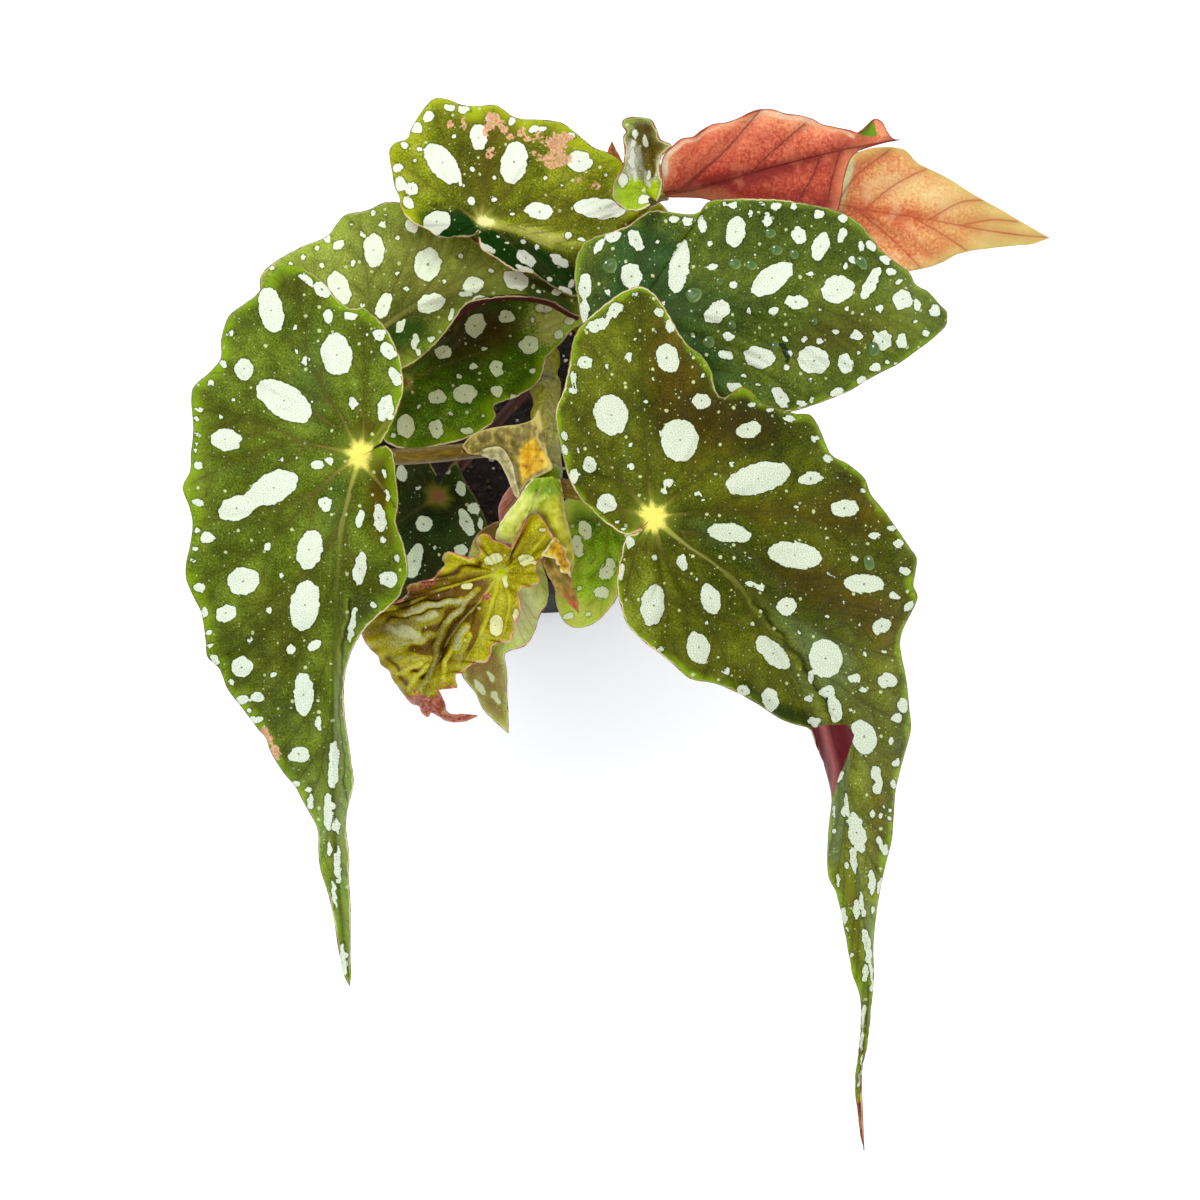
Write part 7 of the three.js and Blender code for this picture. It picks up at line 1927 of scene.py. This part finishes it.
def drop_dome(x, y, radius, top, normals):
    """One drop's rings and tip on the blade, with how much painted rim light and painted highlight it has at
    each point.
    """
    near = lift([x, y, 200.0])[0]
    sight = (near - EYE) / np.linalg.norm(near - EYE)
    k = np.linalg.norm(np.cross(top - EYE, sight), axis=1).argmin()
    up = normals[k] / np.linalg.norm(normals[k])
    side = np.cross(up, [0, 1, 0])
    side /= np.linalg.norm(side)
    other = np.cross(up, side)
    turn = np.linspace(0, 2 * math.pi, DROP_SIDES, endpoint=False)
    close = top[np.linalg.norm(top - top[k], axis=1) < 1.6 * radius]
    toward = 0.5 + 0.5 * np.cos(turn + math.radians(RIM_SIDE))
    points, painted_rim_light, painted_highlight = [], [], []
    for i in range(DROP_RINGS):
        share = i / DROP_RINGS
        out = radius * math.cos(share * math.pi / 2) * (1 + 0.05 * np.sin(3 * turn + x))
        high = DROP_HEIGHT * radius * math.sin(share * math.pi / 2) + DROP_LIFT
        flat = top[k] + side * (out * np.cos(turn))[:, None] + other * (out * np.sin(turn))[:, None]
        points.append(laid(flat, close, top[k], up) + up * high)
        along, across = out * np.cos(turn) / radius, out * np.sin(turn) / radius
        painted_highlight.append(np.exp(-((along - HIGHLIGHT[0]) ** 2 + (across - HIGHLIGHT[1]) ** 2) / HIGHLIGHT[2]))
        painted_rim_light.append((1 - share) ** 1.5 * (0.25 + 0.75 * toward))
    points.append((top[k] + up * (DROP_HEIGHT * radius + DROP_LIFT))[None])
    return np.vstack(points), painted_rim_light + [[0.0]], painted_highlight + [[0.0]]


def laid(places, close, origin, up):
    """Places moved along up to follow the blade's points close by."""
    near = np.exp(-(np.linalg.norm(places[:, None] - close[None], axis=2) / SETTLE) ** 2) + 1e-9
    return places + up * (near @ ((close - origin) @ up) / near.sum(axis=1))[:, None]


def drop_faces(base):
    """Triangles of the tip and the foot, and the quads between the rings."""
    grid = base + np.arange(DROP_RINGS * DROP_SIDES).reshape(DROP_RINGS, DROP_SIDES)
    around = np.roll(grid, -1, axis=1)
    quads = np.stack([grid[:-1], around[:-1], around[1:], grid[1:]], axis=-1).reshape(-1, 4)
    tip = np.full(DROP_SIDES, base + DROP_RINGS * DROP_SIDES)
    foot = np.full(DROP_SIDES - 2, grid[0, 0])
    tris = np.vstack([np.column_stack([tip, grid[-1], around[-1]]),
                      np.column_stack([foot, grid[0, 2:], grid[0, 1:-1]])])
    return tris, quads


def dress_drops(blades):
    """Flat domes laid on the blade under them."""
    material = drop_skin()
    for blade, drops, name in ((blades["leaf_right"], DROPS, "drops_right"),
                               (blades["leaf_front"], [FRONT_DROP], "drop_front")):
        half = len(blade.data.vertices) // 2
        top = (np.array([v.co for v in blade.data.vertices]) * 1000)[:half]
        normals = np.array([v.normal for v in blade.data.vertices])[:half]
        vertices, tris, quads, painted_rim_light, painted_highlight = [], [], [], [], []
        for number, (x, y, radius) in enumerate(drops):
            # pale is each point's painted rim light and bright its painted highlight.
            points, pale, bright = drop_dome(x, y, radius, top, normals)
            faces = drop_faces(number * len(points))
            vertices.append(points)
            tris.append(faces[0])
            quads.append(faces[1])
            painted_rim_light += pale
            painted_highlight += bright
        thing = make_mesh(name, np.vstack(vertices), np.vstack(tris), np.vstack(quads), None,
                          {"painted_rim_light": np.concatenate(painted_rim_light), "painted_highlight": np.concatenate(painted_highlight)})
        thing.data.materials.append(material)
        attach(thing, "root")


# Surroundings: lamps as name, place, size and power, in metres and watts
WORLD_LIGHT = 1.12
FLOOR_COLOR = (0.94, 0.95, 0.96, 1.0)
LAMPS = [("key", (-0.5, 0.75, 1.6), 1.1, 12.0), ("fill", (0.9, -0.7, 1.3), 1.2, 4.0)]
LAMP_AIM = Vector((0.02, -0.05, 0.15))


def dress_stage():
    """The pale floor, the light all round and the lamps."""
    bpy.ops.mesh.primitive_plane_add(size=6, location=(0, 0, 0))
    floor = bpy.context.object
    floor.name = "floor"
    s = Shader("pale_floor")
    s.surface.inputs["Emission Color"].default_value = (0.97, 0.985, 1.0, 1.0)
    floor.data.materials.append(s.finish(FLOOR_COLOR, 0.9, None, Emission_Strength=0.17))
    world = bpy.data.worlds.new("studio")
    world.use_nodes = True
    world.node_tree.nodes["Background"].inputs["Color"].default_value = (0.96, 0.98, 1.0, 1.0)
    world.node_tree.nodes["Background"].inputs["Strength"].default_value = WORLD_LIGHT
    bpy.context.scene.world = world
    for name, place, size, power in LAMPS:
        data = bpy.data.lights.new(name, "AREA")
        data.shape, data.size, data.energy = "DISK", size, power
        lamp = bpy.data.objects.new(name, data)
        bpy.context.scene.collection.objects.link(lamp)
        lamp.location = place
        lamp.rotation_mode = "QUATERNION"
        lamp.rotation_quaternion = (LAMP_AIM - Vector(place)).to_track_quat("-Z", "Y")
    bpy.context.scene.view_settings.view_transform = "Standard"


# Papery sheaths: the sheet of each, drawn finer than the solids, and the solid it belongs to
SHEATHS = {
    "stipule_old": ("stipule_old", {
        "leftTurn": 4, "rightTurn": 3, "arch": 0.1,
        "rib": [[136.9, 114.6, 221], [134, 113, 216], [130, 112, 212], [125, 111, 209.5], [120, 110.6, 206.4],
                [115.6, 111.6, 204]],
        "left": [[136.8, 113.8, 220.4], [135.6, 111.6, 217.4], [134.3, 109.4, 215], [135, 105.6, 213.4],
                 [134.7, 102.4, 212.6], [133.2, 104.9, 212.2], [130, 106.1, 211], [125, 106.7, 209],
                 [120.4, 107.8, 206.6], [117.4, 109.4, 204.8]],
        "right": [[137.8, 115.4, 223], [138, 117.2, 225], [135.8, 118.6, 223], [131.6, 120.8, 214],
                  [129.8, 123.3, 211.5], [129, 119, 210.5], [127.8, 115.6, 209.5], [124, 113.4, 207.5],
                  [120.4, 113.6, 206], [117.2, 113.4, 204.4]]}),
    "stipule_flap": ("stipule_old", {
        "leftTurn": 1, "rightTurn": 1, "arch": 0.2,
        "rib": [[120, 113.2, 208], [124.5, 113.4, 210], [127.3, 117.2, 211.5], [128.6, 121.5, 212],
                [129.8, 124.4, 211.8]],
        "left": [[120.6, 112.6, 208.2], [122.4, 112, 209], [125.3, 112, 210.3], [128, 116, 212],
                 [128.9, 120, 212.3], [129.9, 123.6, 212]],
        "right": [[120.6, 113.9, 207.6], [122.4, 114.5, 208], [124.4, 115, 209], [126.5, 118.3, 210.6],
                  [128, 122, 211.3], [129.2, 124.3, 211.4]]}),
    "stipule_new_left": ("stipule_new_left", {
        "leftTurn": 4, "rightTurn": 4, "arch": 0.12,
        "rib": [[134.8, 119.8, 224.5], [133.4, 124, 220], [131, 128.6, 214], [128.4, 132.6, 208],
                [126.8, 135.6, 203.6]],
        "left": [[133.2, 119.6, 223.8], [131.4, 121.8, 220.4], [129.2, 125.4, 215], [126.6, 128.6, 211],
                 [125, 131.2, 207.4], [124.1, 134.8, 203.6]],
        "right": [[137, 119.2, 225], [137.6, 122.6, 222], [136.8, 126.4, 216], [134.4, 128, 211.4],
                  [132.4, 128.6, 210.4], [131.2, 130.6, 209], [130.8, 133.6, 205.6], [129.8, 136.6, 203.6]]}),
    "stipule_new_right": ("stipule_new_right", {
        "leftTurn": 2, "rightTurn": 1, "arch": 0.14,
        "rib": [[137.8, 119.4, 225.4], [138.8, 125, 219.4], [139.8, 130, 214.6], [140.9, 135, 209.6],
                [142, 139.5, 206], [142.8, 143.2, 203.4]],
        "left": [[135.6, 119.6, 225], [134.4, 123.4, 220.4], [133.9, 127.6, 211.8], [135.6, 129.4, 211],
                 [137, 132.4, 209.4], [138.3, 135.6, 207], [139, 138.6, 205], [140.8, 141.8, 203.6]],
        "right": [[140, 119.8, 224.4], [140.8, 124, 219], [141.1, 128, 215], [142, 131.5, 211.4],
                  [142.9, 135.5, 208], [143.5, 139.5, 205.4], [143.2, 142, 203.8]]}),
    "stipule_curl": ("stipule_new_right", {
        "leftTurn": 2, "rightTurn": 1, "arch": 0.2,
        "rib": [[138.8, 134.4, 211], [139.4, 137, 210.2], [140.8, 140.4, 208.4], [142.9, 144.3, 205.4]],
        "left": [[138.2, 134.8, 211], [137.2, 136.2, 210.8], [136.4, 137.8, 210.6], [135.4, 138.7, 210.4],
                 [137.3, 139.3, 209.8], [138.8, 139.7, 209.2], [139.2, 141, 208.4], [140, 141.4, 207.8],
                 [140.2, 142.9, 206.8], [141.6, 143.3, 206]],
        "right": [[139.6, 134.9, 210.8], [140.3, 136.2, 210], [141.6, 137.4, 209], [141.4, 139.2, 208.4],
                  [142.5, 140.6, 207.4], [142.3, 142.4, 206.4]]}),
    "stipule_tongue": ("stipule_new_right", {
        "leftTurn": 1, "rightTurn": 1, "arch": 0.1,
        "rib": [[136.2, 137, 208], [138, 141.5, 206.6], [140.6, 146, 204], [144.7, 153.2, 199.5]],
        "left": [[135.2, 139.2, 207.4], [136.6, 143, 205.8], [139.3, 147.5, 203.2], [142.6, 151.4, 200.6]],
        "right": [[138.8, 137.6, 207.4], [141.6, 142, 206], [143.6, 147.2, 203.6], [144.6, 150.6, 201.2]]}),
    "stipule_tip": ("stipule_tip", {
        "leftTurn": 1, "rightTurn": 1, "arch": 0.05,
        "rib": [[158.6, 51, 176], [156, 45, 176], [153.6, 39, 175.5], [152.9, 35.3, 176]],
        "left": [[157.4, 50.4, 176], [154, 44.6, 176], [151.9, 38.8, 175.5]],
        "right": [[159.4, 49.6, 176], [157.4, 44, 176], [154.4, 38.2, 175.5]]}),
}


def sheath_relief(blade, fields, seed):
    """Creases of a papery sheath, and the hollow and ridge of the old one."""
    x, y = blade.points[:, 0], blade.points[:, 1]
    crease = 0.22 * ripple(x, y, 3.0, seed) + 0.1 * ripple(x, y, 1.2, seed + 4)
    crease = crease + 0.25 * np.exp(-fields["rim"] / 0.8) * np.sin(2 * math.pi * blade.along / 3.4 + seed)
    if blade.name == "stipule_curl":
        crease = 2.2 * crease
    if blade.name == "stipule_old":
        crease -= 1.2 * smooth_step(-fields["flap"], -0.2, 2.2)
        far, _ = to_line(blade.points[:, :2], pairs("134.6,103 132.6,107 130.4,110.6 129.8,116 129.8,121"))
        crease += 0.8 * np.exp(-(far / 0.7) ** 2)
    if blade.name == "stipule_new_left":
        far, _ = to_line(blade.points[:, :2], pairs("134.6,121.6 132.6,125 130,128 127,131"))
        crease += 0.5 * np.exp(-(far / 0.6) ** 2)
    return crease


def stem_skins():
    return {
        "brown": stem_skin("stalk_brown", (66, 46, 0), (112, 88, 0), (150, 120, 22), (190, 160, 70)),
        "green": stem_skin("stalk_green", (96, 92, 34), (140, 134, 56), (176, 168, 88), (214, 206, 130)),
        "pink": stem_skin("stalk_pink", (130, 64, 50), (176, 104, 84), (204, 146, 116), (228, 186, 150)),
        "red": stem_skin("stalk_red", (44, 20, 14), (74, 38, 26), (104, 60, 40), (140, 96, 68)),
        "bark": stem_skin("cane_bark", (88, 84, 0), (138, 134, 16), (174, 170, 44), (204, 198, 90), 0.5),
    }


STALK_COLORS = {"leaf_left": "brown", "leaf_front": "brown", "leaf_new": "pink", "leaf_low": "red",
                "leaf_inner": "red"}
# Papery sheaths: name of the look, its three tones and the rim's, and the tip's where it has another
PAPERS = {
    "stipule_old": ("papery_gold", (98, 84, 24), (138, 122, 52), (206, 188, 90), (204, 184, 108)),
    "stipule_flap": ("papery_pale", (116, 108, 60), (172, 164, 110), (212, 204, 150), (226, 214, 160)),
    "stipule_new_left": ("papery_green", (180, 198, 52), (230, 242, 102), (254, 255, 160), (244, 230, 188)),
    "stipule_new_right": ("papery_lime", (154, 158, 8), (206, 206, 38), (240, 236, 92), (232, 208, 136)),
    "stipule_curl": ("papery_curl", (168, 136, 12), (236, 204, 44), (255, 242, 118), (248, 236, 192)),
    "stipule_tongue": ("papery_brown", (100, 84, 16), (150, 124, 40), (190, 160, 74), (184, 146, 72),
                       (198, 104, 56)),
    "stipule_tip": ("papery_rust", (110, 62, 10), (170, 96, 24), (206, 136, 50), (186, 90, 30)),
}
SHEATH_SIZE = (60, 16, 0.35)
LEAF_SEED, SHEATH_SEED = 20, 60


def main():
    under = under_skin("leaf_under", UNDER_LOOK)
    stems = stem_skins()
    blades = {}
    for seed, (name, spec) in enumerate(LEAVES.items(), LEAF_SEED):
        if name in TURNED_LOOK:
            skins = [under_skin(name, TURNED_LOOK[name]), upper_skin(name + "_back", {})]
        else:
            skins = [upper_skin(name, LOOKS[name]), under]
        blades[name] = dress_blade(name, spec, skins, seed)
        dress_stalk(name, spec, stems[STALK_COLORS.get(name, "green")])
    for name, spec in CANES.items():
        dress_cane(name, spec, stems["bark"])
    papers = {name: paper_skin(*look) for name, look in PAPERS.items()}
    for seed, (name, (node, spec)) in enumerate(SHEATHS.items(), SHEATH_SEED):
        skin = papers[name]
        dress_blade(name, spec, [skin, skin], seed, SHEATH_SIZE, node)
    dress_pot()
    dress_soil()
    dress_drops(blades)
    dress_stage()


main()
